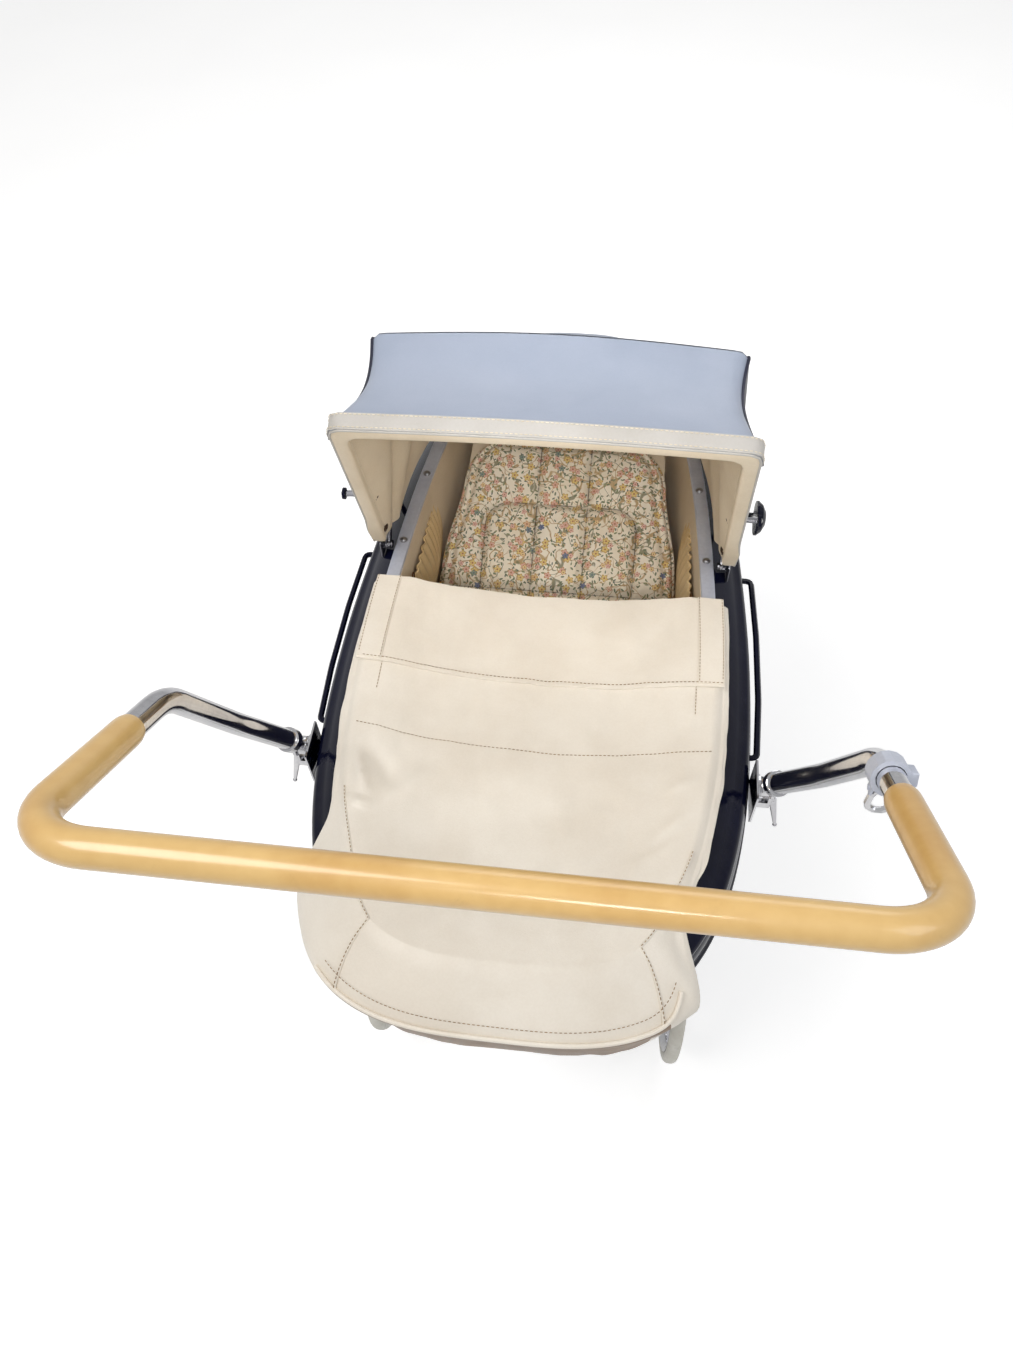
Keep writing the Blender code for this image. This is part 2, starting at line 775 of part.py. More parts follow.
def backrest(parent):
    """The ply board, its hinge rod and the two blocks on the floor that carry it."""
    origin, along, face = backrest_frame()
    outline = backrest_outline()
    rings = [[origin + Vector((x, 0, 0)) + along * y + face * lift for x, y in outline]
             for lift in (-BACKREST_THICK / 2, BACKREST_THICK / 2)]
    board = loft("backrest_board_blank", rings, cap_first=True, cap_last=True)
    knuckles = []
    for x in (-0.100, 0.0, 0.100):
        knuckle = rod("knuckle", (x - 0.020, *BACKREST_HINGE), (x + 0.020, *BACKREST_HINGE), 0.0065)
        tongue = box("tongue", (0.036, 0.022, 0.004),
                     origin + Vector((x, 0, 0)) + along * 0.014,
                     Matrix.Rotation(math.radians(BACKREST_ANGLE), 4, "X"))
        knuckles += [knuckle, tongue]
    board = joined("backrest_board", [board] + knuckles)
    bore = rod("bore", (-0.14, *BACKREST_HINGE), (0.14, *BACKREST_HINGE), 0.003 + RUNNING)
    board = cut_or_join(board, bore, "DIFFERENCE")
    board = joined("backrest_board", [board] + prop_lugs())
    place(board, leathercloth(), parent)
    pin = rod("backrest_hinge_pin", (-0.136, *BACKREST_HINGE), (0.136, *BACKREST_HINGE), 0.003)
    blocks = []
    for x in (-0.055, 0.055):
        height = BACKREST_HINGE[1] + 0.008 - FLOOR_TOP - SEAT
        block = box("block", (0.030, 0.014, height),
                    (x, BACKREST_HINGE[0], FLOOR_TOP + SEAT + height / 2), bevel=0.001)
        blocks.append(block)
    hinge = joined("backrest_hinge", [pin] + blocks)
    place(hinge, chrome())


def quilt_limit(up, high):
    """Half the pad's width at a distance up the board, with rounded top corners."""
    limit = backrest_half(up) - QUILT_MARGIN
    over = up - (high - HEAD_ROUND)
    if over > 0:
        limit += math.sqrt(max(0.0, HEAD_ROUND ** 2 - over ** 2)) - HEAD_ROUND
    return limit


def sewn_channel(across, up):
    """0 away from the pad's sewn lines and 1 on them: four run up it and two across."""
    lines = [abs(across - spot) for spot in (-0.084, -0.028, 0.028, 0.084)]
    lines += [abs(up - spot) for spot in (0.105, 0.215)]
    return max(0.0, 1.0 - min(lines) / 0.012)


def quilt(parent):
    """The quilted pad on the backrest: crown, drawn-in sides and sewn channels."""
    origin, along, face = backrest_frame()
    columns = 19
    rows = 17
    low = 0.014 + QUILT_MARGIN + 0.006
    high = BACKREST_LENGTH - QUILT_MARGIN
    base = BACKREST_THICK / 2 + SEAT * 2
    form = bmesh.new()
    top = []
    under = []
    for row in range(rows):
        up = low + (high - low) * row / (rows - 1)
        limit = quilt_limit(up, high)
        line = []
        for column in range(columns):
            across = limit * (2 * column / (columns - 1) - 1)
            inside = min(limit - abs(across), high - up, up - low)
            share = max(0.0, min(1.0, inside / 0.020))
            crown = math.sqrt(1 - (1 - share) ** 2)
            lift = QUILT_THICK * (0.25 + 0.75 * crown) - 0.0055 * sewn_channel(across, up) * crown
            spot = origin + Vector((across, 0, 0)) + along * up + face * (base + lift)
            line.append(form.verts.new(spot))
            if row in (0, rows - 1) or column in (0, columns - 1):
                drawn = origin + Vector((across * 0.97, 0, 0)) + along * up + face * base
                under.append((row, column, form.verts.new(drawn)))
        top.append(line)
    for lower, upper in zip(top, top[1:]):
        for here in range(columns - 1):
            form.faces.new((lower[here], lower[here + 1], upper[here + 1], upper[here]))
    places = [(0, column) for column in range(columns)]
    places += [(row, columns - 1) for row in range(1, rows)]
    places += [(rows - 1, column) for column in range(columns - 2, -1, -1)]
    places += [(row, 0) for row in range(rows - 2, 0, -1)]
    drawn = {(row, column): vertex for row, column, vertex in under}
    for here, beyond in zip(places, places[1:] + places[:1]):
        form.faces.new((top[here[0]][here[1]], drawn[here], drawn[beyond], top[beyond[0]][beyond[1]]))
    form.faces.new([drawn[spot] for spot in reversed(places)])
    place(object_from("quilt_pad", form, 60.0), quilting(), parent)


def prop_frame():
    """The prop's pivot under the board, and its depth below the board's underside."""
    origin, along, face = backrest_frame()
    depth = PROP_WIRE + 0.0035
    return origin + along * PROP_REACH - face * (BACKREST_THICK / 2 + depth), depth


def prop_lugs():
    """Two drilled lugs on the underside of the board, for the ends of the prop."""
    pivot, depth = prop_frame()
    _, _, face = backrest_frame()
    lugs = []
    for side in (-1, 1):
        middle = pivot + Vector((side * (PROP_HALF + 0.015), 0, 0))
        tall = depth + 0.001 + 0.007
        lug = box("lug", (0.007, 0.014, tall), middle + face * (tall / 2 - 0.007),
                  Matrix.Rotation(math.radians(BACKREST_ANGLE), 4, "X"))
        hole = rod("hole", middle - Vector((0.02, 0, 0)), middle + Vector((0.02, 0, 0)),
                   PROP_WIRE + RUNNING)
        lugs.append(cut_or_join(lug, hole, "DIFFERENCE"))
    return lugs


def backrest_prop(parent):
    """A wire bail under the backrest that stands on the floor board."""
    pivot, _ = prop_frame()
    lean = math.radians(PROP_ANGLE)
    down = Vector((0, math.cos(lean), -math.sin(lean)))
    foot = pivot + down * (pivot.z - FLOOR_TOP - PROP_WIRE - SEAT * 2) / math.sin(lean)
    inner = Vector((PROP_HALF, 0, 0))
    outer = Vector((PROP_HALF + 0.022, 0, 0))
    path = rounded_path([pivot - outer, pivot - inner, foot - inner, foot + inner,
                         pivot + inner, pivot + outer], (0.008, 0.010, 0.010, 0.008), steps=3)
    hinge = axis_empty("prop_axis", pivot, parent)
    place(wire("backrest_prop", path, PROP_WIRE), chrome(), hinge)


def smooth(value):
    value = max(0.0, min(1.0, value))
    return value * value * (3 - 2 * value)


def apron_edge(angle):
    """A point of the apron's upper edge line, just outside the rim band."""
    spot = hull_point(angle, 0.0, BAND_OVERHANG + SEAT)
    return spot + Vector((0, 0, BAND_THICK + SEAT * 2 + APRON_THICK / 2))


def apron_drop(angle):
    """Depth of the skirt at a plan angle: a turned edge, growing to the full skirt."""
    y = hull_point(angle, 0.0).y
    corner = hull_point(math.radians(APRON_CORNER_ANGLE), 0.0).y
    grown = (APRON_SKIRT_START - y) / (APRON_SKIRT_START - corner)
    return APRON_TURN_DOWN + (APRON_DROP - APRON_TURN_DOWN) * smooth(grown * 0.92) ** 1.15


def skirt_point(angle, share):
    """A point of the skirt: close over the shoulder, then hanging free of the hull."""
    depth = apron_drop(angle) * share
    ease = smooth(depth / 0.03)
    out = BAND_OVERHANG * (1 - ease) + APRON_STANDOFF + (BEAD_HEIGHT + 0.0015) * ease
    if depth <= BULGE_DEPTH:
        return hull_point(angle, depth, out)
    wide = hull_point(angle, BULGE_DEPTH, out + 0.001)
    hugging = hull_point(angle, depth, out)
    spot = wide.lerp(hugging, 0.30)
    spot.z = hugging.z
    return spot


def apron():
    """The apron: a taut top over the foot half and a boxed skirt round the foot end."""
    columns = 12
    rows = 11
    start = rim_angle(APRON_TOP_EDGE, 1)
    corner = math.radians(APRON_CORNER_ANGLE)
    side_angles = [start + (corner - start) * row / rows for row in range(rows + 1)]
    foot_angles = [corner + (-math.pi - 2 * corner) * column / columns
                   for column in range(columns + 1)]
    right = [apron_edge(angle) for angle in side_angles]
    left = [Vector((-spot.x, spot.y, spot.z)) for spot in right]
    foot = [apron_edge(angle) for angle in foot_angles]
    form = bmesh.new()
    grid = []
    for row in range(rows + 1):
        along = row / rows
        line = []
        for column in range(columns + 1):
            share = column / columns
            head = right[0].lerp(left[0], share)
            sides = right[row].lerp(left[row], share)
            corners = right[-1].lerp(left[-1], share) * along + head * (1 - along)
            spot = head * (1 - along) + foot[column] * along + sides - corners
            across = 2 * share - 1
            inside = max(0.0, 1 - (across / 0.84) ** 2)
            sag = APRON_SAG * (1 - along) ** 1.6 + 0.004 * math.sin(math.pi * along)
            crease = 0.0035 * math.sin(7 * across + 16 * spot.y) * math.sin(math.pi * along)
            near_foot = 1 - smooth((along - 0.62) / 0.2)
            spot.z -= inside * near_foot * (sag + max(0.0, crease))
            spot.z += 0.0022 * (1 - near_foot) * min(1.0, 4 * (1 - abs(across))) * smooth(5 - 5 * along)
            line.append(form.verts.new(spot))
        grid.append(line)
    for lower, upper in zip(grid, grid[1:]):
        for here in range(columns):
            form.faces.new((lower[here], lower[here + 1], upper[here + 1], upper[here]))
    edge = [(side_angles[row], grid[row][0]) for row in range(rows)]
    edge += [(foot_angles[column], grid[rows][column]) for column in range(columns)]
    edge += [(-math.pi - side_angles[row], grid[row][columns]) for row in range(rows, -1, -1)]
    above = [vertex for _, vertex in edge]
    for share in (0.07, 0.16, 0.25, 0.38, 0.66, 1.0):
        below = [form.verts.new(skirt_point(angle, share)) for angle, _ in edge]
        for here in range(len(edge) - 1):
            form.faces.new((above[here], above[here + 1], below[here + 1], below[here]))
        above = below
    cover = object_from("apron", form)
    thicken(cover, APRON_THICK, 0.0)
    return place(cover, leathercloth())


def bow_point(index, x, reach, turn=0.0, shift=0.0):
    """A point beside a bow's plane, at a distance from the hood's axis."""
    angle = math.radians(HOOD_ANGLES[index] + turn) + shift / max(reach, 0.01)
    return Vector((x, HOOD_PIVOT[0] + reach * math.cos(angle),
                   HOOD_PIVOT[1] + reach * math.sin(angle)))


def bow_side(index, lift=0.0):
    """The right half of a bow in its own plane, from its foot to the middle of the top."""
    half = HOOD_TOP_HALF_WIDTH[index] + lift
    top = HOOD_RADII[index] + lift
    foot_x = HOOD_ARM_LAYERS[index] + lift
    corner = HOOD_CORNER + lift
    lean = (foot_x - half) / top
    points = []
    for step in range(6):
        reach = HOOD_FOOT + (top - corner - HOOD_FOOT) * step / 5
        x = foot_x - lean * reach
        if lift > 0.0 and reach < HOOD_ARM_REACH + 0.02:
            x = max(x, HOOD_ARM_LAYERS[index] + BOW_WIRE + HOOD_CLOTH / 2 + RUNNING)
        points.append((x, reach))
    side_x = foot_x - lean * (top - corner)
    for step in (1, 2, 3):
        turn = math.radians(90 * step / 3)
        points.append((side_x - corner * (1 - math.cos(turn)), top - corner * (1 - math.sin(turn))))
    for step in (1, 2, 3, 4):
        share = step / 4
        crown = 0.006 * math.sin(math.pi / 2 * share)
        points.append(((side_x - corner) * (1 - share), top + crown))
    return points


def bow_curve(index, lift=0.0, turn=0.0, shift=0.0):
    """A whole bow, from its right foot over the top to its left foot."""
    right = [bow_point(index, x, reach, turn, shift) for x, reach in bow_side(index, lift)]
    left = [Vector((-spot.x, spot.y, spot.z)) for spot in right]
    return right + list(reversed(left[:-1]))


def rear_hem_curve():
    """The hood's rear hem, which follows the rim round the head of the body."""
    count = len(bow_side(0))
    first = rim_angle(HOOD_PIVOT[0] + HOOD_FOOT, 1)
    out = BAND_OVERHANG + SEAT * 5 + HOOD_CLOTH / 2
    right = []
    for index in range(count):
        share = index / (count - 1)
        spot = hull_point(first + (math.pi / 2 - first) * share, 0.0, out)
        near = 1 - smooth(share / 0.35)
        spot.x += near * (HOOD_ARM_LAYERS[0] + HOOD_CLOTH_LIFT - spot.x)
        spot.z += 0.004
        right.append(spot)
    left = [Vector((-spot.x, spot.y, spot.z)) for spot in right]
    return right + list(reversed(left[:-1]))


def cloth_rows(first, second, rows):
    """Lines of cloth points between two curves, drawn in a little between them."""
    inner = Vector((0.0, HOOD_PIVOT[0] + 0.05, HOOD_PIVOT[1] + 0.06))
    grid = []
    for row in range(rows + 1):
        share = row / rows
        line = []
        for start, end in zip(first, second):
            spot = start.lerp(end, share)
            reach = min(1.0, (start - end).length / 0.12)
            draw = HOOD_SAG * math.sin(math.pi * share) * reach
            line.append(spot + (inner - spot).normalized() * draw)
        grid.append(line)
    return grid


def hood_bow(index, name, parent):
    """A bow: a bent wire on two flat arms with eyes that turn on the hood's pins."""
    points = [spot for spot in bow_curve(index)]
    start = [bow_point(index, HOOD_ARM_LAYERS[index], HOOD_ARM_REACH - 0.012)]
    legs = [spot for spot in points
            if (Vector(spot[1:]) - Vector(HOOD_PIVOT)).length > HOOD_ARM_REACH]
    mirror = Vector((-start[0].x, start[0].y, start[0].z))
    pieces = [wire("wire", start + legs + [mirror], BOW_WIRE)]
    angle = math.radians(HOOD_ANGLES[index])
    for side in (-1, 1):
        x = side * HOOD_ARM_LAYERS[index]
        middle = bow_point(index, x, HOOD_ARM_REACH / 2)
        pieces.append(box("arm", (HOOD_ARM_THICK, HOOD_ARM_REACH, HOOD_ARM_WIDTH), middle,
                          Matrix.Rotation(angle, 4, "X")))
        pieces.append(rod("eye", (x - HOOD_ARM_THICK / 2, *HOOD_PIVOT),
                          (x + HOOD_ARM_THICK / 2, *HOOD_PIVOT), HOOD_ARM_WIDTH * 0.62, 10))
    if index == 0:
        for side in (-1, 1):
            x = side * HOOD_ARM_LAYERS[0]
            inner = bow_point(0, side * 0.186, STAY_REACH)
            outer = bow_point(0, side * (STAY_PLANE - 0.0138), STAY_REACH)
            pieces.append(rod("stay_stud", inner, outer, STAY_STUD, 10))
    bow = joined(name, pieces)
    for side in (-1, 1):
        x = side * HOOD_ARM_LAYERS[index]
        bore = rod("bore", (x - 0.004, *HOOD_PIVOT), (x + 0.004, *HOOD_PIVOT),
                   HOOD_PIN + RUNNING, 12)
        bow = cut_or_join(bow, bore, "DIFFERENCE")
    bow.name = name
    return place(bow, chrome(), parent)


def hood_cloths(rear_axis, middle_axis, front_axis):
    """Three cloth panels, front to rear, each with its edges on two bows."""
    lift = HOOD_CLOTH_LIFT
    front = cloth_rows(bow_curve(0, lift), bow_curve(1, lift, 0.0, HOOD_SEAM), 4)
    panel = baked(sheet("hood_panel_front", [bow_curve(0, lift, HOOD_HEM)] + front, HOOD_CLOTH),
                  "hood_panel_front")
    for side in (-1, 1):
        inner = bow_point(0, side * HOOD_TOP_HALF_WIDTH[0], STAY_REACH)
        outer = bow_point(0, side * (STAY_PLANE - 0.0075), STAY_REACH)
        eyelet = rod("eyelet", inner, outer, STAY_STUD + RUNNING, 12)
        panel = cut_or_join(panel, eyelet, "DIFFERENCE")
    panel.name = "hood_panel_front"
    place(panel, hood_cloth(), front_axis)
    middle = cloth_rows(bow_curve(1, lift, 0.0, -HOOD_SEAM), bow_curve(2, lift, 0.0, HOOD_SEAM), 3)
    place(sheet("hood_panel_middle", middle, HOOD_CLOTH), hood_cloth(), middle_axis)
    rear = cloth_rows(bow_curve(2, lift, 0.0, -HOOD_SEAM), rear_hem_curve(), 4)
    place(sheet("hood_panel_rear", rear, HOOD_CLOTH), hood_cloth(), rear_axis)


def hood_brackets():
    """A pin and plate on each shoulder of the hull for the bows, and a boss for the stay."""
    for side, name in ((-1, "hood_bracket_left"), (1, "hood_bracket_right")):
        plate_x = HOOD_ARM_LAYERS[0] + HOOD_ARM_THICK / 2 + 0.0016
        head_x = HOOD_ARM_LAYERS[2] - HOOD_ARM_THICK / 2 - 0.0012
        pin = rod("pin", (side * (head_x - 0.0012), *HOOD_PIVOT),
                  (side * (plate_x + 0.001), *HOOD_PIVOT), HOOD_PIN, 14)
        cap = rod("cap", (side * (head_x - 0.0012), *HOOD_PIVOT), (side * head_x, *HOOD_PIVOT),
                  HOOD_PIN * 1.7, 14)
        low = shoulder_height(HOOD_PIVOT[0], plate_x) + 0.0012
        tall = HOOD_PIVOT[1] + 0.007 - low
        plate = box("plate", (0.0022, 0.016, tall),
                    (side * plate_x, HOOD_PIVOT[0], low + tall / 2), bevel=0.0006)
        place(joined(name, [plate, pin, cap]), chrome())


def shoulder_height(y, x):
    """Height of the hull's shoulder where its outer face is x from the middle."""
    low = 0.0
    high = BULGE_DEPTH
    for _ in range(30):
        middle = (low + high) / 2
        if side_point(y, middle, 1).x < x:
            low = middle
        else:
            high = middle
    return side_point(y, low, 1).z


def side_at_height(y, height, side):
    """The hull's outer face at a given y and world height."""
    low = BULGE_DEPTH if height < side_point(y, BULGE_DEPTH, 1).z else 0.0
    high = HULL_DEPTH if low > 0.0 else BULGE_DEPTH
    for _ in range(30):
        middle = (low + high) / 2
        if side_point(y, middle, 1).z > height:
            low = middle
        else:
            high = middle
    spot = side_point(y, low, side)
    spot.z = height
    return spot


def hood_stays(side, name):
    """A two-part stay outside the hood, with a knob over its elbow."""
    eye = 0.0062
    lower_x = side * (STAY_PLANE - 0.0015)
    upper_x = side * (STAY_PLANE + 0.0019)
    foot = Vector((lower_x, *STAY_FOOT))
    elbow = Vector((lower_x, *STAY_ELBOW))
    lower_axis = axis_empty("stay_foot_axis_" + name, foot)
    upper_axis = axis_empty("stay_elbow_axis_" + name, elbow, lower_axis)
    link = [rod("link", foot, elbow, STAY_WIRE, 10)]
    for spot in (foot, elbow):
        link.append(rod("eye", spot - Vector((0.0016, 0, 0)), spot + Vector((0.0016, 0, 0)),
                        eye, 12))
    face = side * (STAY_PLANE + 0.0001)
    link = joined("lower", link)
    shave = box("shave", (0.010, 0.030, 0.030), (face + side * 0.005, *STAY_ELBOW))
    link = cut_or_join(link, shave, "DIFFERENCE")
    shave = box("shave", (0.010, 0.017, 0.017), (lower_x - side * 0.0066, *STAY_FOOT))
    link = cut_or_join(link, shave, "DIFFERENCE")
    pin = rod("pin", elbow, (side * (STAY_PLANE + 0.0055), *STAY_ELBOW), 0.0026, 10)
    link = cut_or_join(link, pin, "UNION")
    bore = rod("bore", foot - Vector((0.006, 0, 0)), foot + Vector((0.006, 0, 0)),
               STAY_PIN + RUNNING, 12)
    place(cut_to_name("stay_lower_" + name, link, bore), navy(), lower_axis)
    place(stay_knob(side, name), navy(), lower_axis)
    place(stay_upper(side, name, upper_x, eye), navy(), upper_axis)
    wall = side_at_height(*STAY_FOOT, side)
    start = (wall.x + side * 0.0030, *STAY_FOOT)
    boss = rod("boss", start, (lower_x - side * 0.0022, *STAY_FOOT), 0.0070, 14)
    pin = rod("pin", start, (lower_x + side * 0.0035, *STAY_FOOT), STAY_PIN, 10)
    place(joined("stay_boss_" + name, [boss, pin]), navy())


def stay_upper(side, name, upper_x, eye):
    """The stay's upper link, from its elbow to the stud on the front bow."""
    head = bow_point(0, side * (STAY_PLANE - 0.0116), STAY_REACH)
    elbow = Vector((upper_x, *STAY_ELBOW))
    arm = [rod("link", elbow, head, STAY_WIRE * 0.9, 10)]
    for spot in (elbow, head):
        arm.append(rod("eye", spot - Vector((0.0014, 0, 0)), spot + Vector((0.0014, 0, 0)),
                       eye, 12))
    upper = joined("upper", arm)
    for spot in (elbow, head):
        clear = box("clear", (0.010, 0.030, 0.030), (spot.x - side * 0.0064, spot.y, spot.z))
        upper = cut_or_join(upper, clear, "DIFFERENCE")
    bore = rod("bore", elbow - Vector((0.008, 0, 0)), elbow + Vector((0.008, 0, 0)),
               0.0026 + RUNNING, 12)
    return cut_to_name("stay_upper_" + name, upper, bore)


def stay_knob(side, name):
    """The domed cap over a stay's elbow."""
    dome = ((0.0, KNOB_HALF * 1.2), (KNOB_RADIUS * 0.45, KNOB_HALF * 1.12),
            (KNOB_RADIUS * 0.8, KNOB_HALF * 0.75), (KNOB_RADIUS, KNOB_HALF * 0.25),
            (KNOB_RADIUS, 0.0), (0.0, 0.0))
    knob = turned("stay_knob_" + name, dome, (0, 0, 0), steps=20)
    knob.data.transform(Matrix.Rotation(math.radians(90 * side), 4, "Y"))
    base = side * (STAY_PLANE + 0.0058)
    knob.data.transform(Matrix.Translation(Vector((base, *STAY_ELBOW))))
    return knob


def side_rails():
    """A thin enamelled rail outside the widest part of each side."""
    for side, name in ((-1, "side_rail_left"), (1, "side_rail_right")):
        stations = (-0.134, -0.134, -0.060, 0.030, 0.112, 0.112)
        height = RIM_Z - BULGE_DEPTH
        points = []
        for index, y in enumerate(stations):
            wall = side_point(y, BULGE_DEPTH, 1).x
            share = (y - stations[0]) / (stations[-1] - stations[0])
            gap = RAIL_GAP[0] + (RAIL_GAP[1] - RAIL_GAP[0]) * share
            x = wall + gap + RAIL_WIRE
            if index in (0, len(stations) - 1):
                x = wall - 0.0008
            points.append(Vector((side * x, y, height)))
        path = rounded_path(points, (0.006, 0.3, 0.3, 0.006), steps=3)
        place(wire(name, path, RAIL_WIRE, 1), navy())


def handle_path():
    """Corner points of the right half of the handle, from the hinge to the grip's corner."""
    pivot = Vector(HANDLE_PIVOT)
    bend = Vector(HANDLE_BEND)
    towards = (bend - pivot).normalized()
    root = pivot + towards * HANDLE_NECK
    middle = pivot.lerp(bend, 0.50) + Vector((0.007, 0.0, 0.0))
    return [root, middle, bend, Vector(HANDLE_CORNER)]


def mirrored(points):
    return [Vector((-spot.x, spot.y, spot.z)) for spot in reversed(points)]


def handle(parent):
    """The bent tube with its hinge eyes, and the grip sleeve over its far part."""
    half = handle_path()
    corners = half + mirrored(half)
    radii = (HANDLE_SWAN, HANDLE_BEND_RADIUS, HANDLE_CORNER_RADIUS)
    path = rounded_path(corners, radii + tuple(reversed(radii)), steps=4)
    pieces = [wire("tube", path, HANDLE_TUBE, 3)]
    for side in (-1, 1):
        pivot = Vector((side * HANDLE_PIVOT[0], *HANDLE_PIVOT[1:]))
        root = Vector((side * half[0].x, half[0].y, half[0].z))
        pieces.append(rod("eye", pivot - Vector((EYE_HALF, 0, 0)), pivot + Vector((EYE_HALF, 0, 0)),
                          EYE_RADIUS * 0.82, 14))
        middle = pivot.lerp(root, 0.60)
        middle.x = pivot.x
        rise = math.atan2(root.z - pivot.z, root.y - pivot.y)
        pieces.append(box("neck", (EYE_HALF * 2 * 0.98, HANDLE_NECK * 0.9, 0.014), middle,
                          Matrix.Rotation(rise, 4, "X"), bevel=0.001))
        towards = (Vector((side * half[1].x, half[1].y, half[1].z)) - root).normalized()
        pieces.append(rod("collar", root - towards * 0.001, root + towards * 0.010,
                          HANDLE_TUBE + 0.0022, 12))
    tube = joined("handle_tube", pieces)
    for side in (-1, 1):
        bore = rod("bore", (side * (HANDLE_PIVOT[0] - 0.02), *HANDLE_PIVOT[1:]),
                   (side * (HANDLE_PIVOT[0] + 0.02), *HANDLE_PIVOT[1:]), HINGE_PIN + RUNNING, 14)
        tube = cut_or_join(tube, bore, "DIFFERENCE")
    tube.name = "handle_tube"
    place(tube, chrome(), parent)
    start = half[2].lerp(half[3], GRIP_START)
    grip_corners = [start, half[3]]
    grip_corners += mirrored(grip_corners)
    grip_path = rounded_path(grip_corners, (HANDLE_CORNER_RADIUS,) * 2, steps=4)
    place(sleeve("handle_grip", grip_path, HANDLE_GRIP, GRIP_WALL),
          ivory(), parent)


def sleeve(name, points, radius, wall):
    """An open-ended tube along a path, thickened inwards."""
    curve = bpy.data.curves.new(name, "CURVE")
    curve.dimensions = "3D"
    curve.bevel_depth = radius
    curve.bevel_resolution = 3
    spline = curve.splines.new("POLY")
    spline.points.add(len(points) - 1)
    for slot, point in zip(spline.points, points):
        slot.co = (*point, 1.0)
    obj = bpy.data.objects.new(name + "_path", curve)
    PARTS.objects.link(obj)
    tube = baked(obj, name)
    thicken(tube, wall, -1.0)
    return tube


def handle_brackets():
    """A plate on each side of the hull with two ears, a pin and the lever's stub."""
    for side, name in ((-1, "left"), (1, "right")):
        pivot = Vector((side * HANDLE_PIVOT[0], *HANDLE_PIVOT[1:]))
        wall = side_point(pivot.y + BRACKET_HALF, BULGE_DEPTH, 1).x + BEAD_HEIGHT - SEAT
        inner = HANDLE_PIVOT[0] - EYE_HALF - SEAT * 2 - EAR_THICK
        outer = HANDLE_PIVOT[0] + EYE_HALF + SEAT * 2
        base_thick = inner + 0.001 - wall
        pieces = [box("base", (base_thick, BRACKET_HALF * 2, 0.052),
                      (side * (wall + base_thick / 2), pivot.y, pivot.z - 0.012),
                      bevel=0.0006)]
        for x in (inner, outer):
            middle = side * (x + EAR_THICK / 2)
            ear = rod("ear", (middle - EAR_THICK / 2, pivot.y, pivot.z),
                      (middle + EAR_THICK / 2, pivot.y, pivot.z), EYE_RADIUS, 14)
            web = box("web", (EAR_THICK, 0.019, 0.034), (middle, pivot.y + 0.002, pivot.z - 0.015))
            pieces += [ear, web]
        span = outer + EAR_THICK - inner
        pieces.append(box("bridge", (span, 0.019, 0.010),
                          (side * (inner + span / 2), pivot.y + 0.002, pivot.z - 0.027)))
        pieces.append(rod("pin", (side * (inner - 0.0005), *HANDLE_PIVOT[1:]),
                          (side * (outer + EAR_THICK + 0.0025), *HANDLE_PIVOT[1:]), HINGE_PIN, 14))
        pieces.append(rod("stub", (side * (outer + 0.001), *LEVER_PIVOT),
                          (side * (outer + EAR_THICK + 0.0055), *LEVER_PIVOT), 0.0024, 10))
        place(joined("handle_bracket_" + name, pieces), chrome())


def lock_lever(side, name, parent):
    """The tapered lever under a bracket that frees the handle."""
    x = side * (HANDLE_PIVOT[0] + EYE_HALF + SEAT * 2 + EAR_THICK + 0.0006)
    outer = x + side * 0.0032
    middle = (x + outer) / 2
    pivot = Vector((middle, *LEVER_PIVOT))
    tip = pivot + Vector((side * 0.010, -0.010, -LEVER_LENGTH))
    eye = rod("eye", (x, *LEVER_PIVOT), (outer, *LEVER_PIVOT), 0.0068, 16)
    arm = rod("arm", pivot + Vector((0, 0, -0.002)), tip, 0.0046, 12, 0.0018)
    ball = turned("ball", [(0.0026 * math.sin(math.radians(turn)),
                            0.0026 * math.cos(math.radians(turn))) for turn in range(0, 181, 30)],
                  tip, steps=10)
    lever = joined("lock_lever_" + name, [eye, arm, ball])
    bore = rod("bore", pivot - Vector((0.009, 0, 0)), pivot + Vector((0.009, 0, 0)),
               0.0024 + RUNNING, 12)
    lever = cut_or_join(lever, bore, "DIFFERENCE")
    face = box("face", (0.012, 0.03, 0.03), (x - side * 0.006, *LEVER_PIVOT))
    lever = cut_or_join(lever, face, "DIFFERENCE")
    lever.name = "lock_lever_" + name
    place(lever, chrome(), parent)


def clamp_frame():
    bend = Vector(HANDLE_BEND)
    along = (Vector(HANDLE_CORNER) - bend).normalized()
    return bend + along * CLAMP_FROM_BEND, along


def hook_pivot():
    centre, along = clamp_frame()
    return centre + Vector((-0.002, 0.0, -CLAMP_RADIUS - 0.0075))


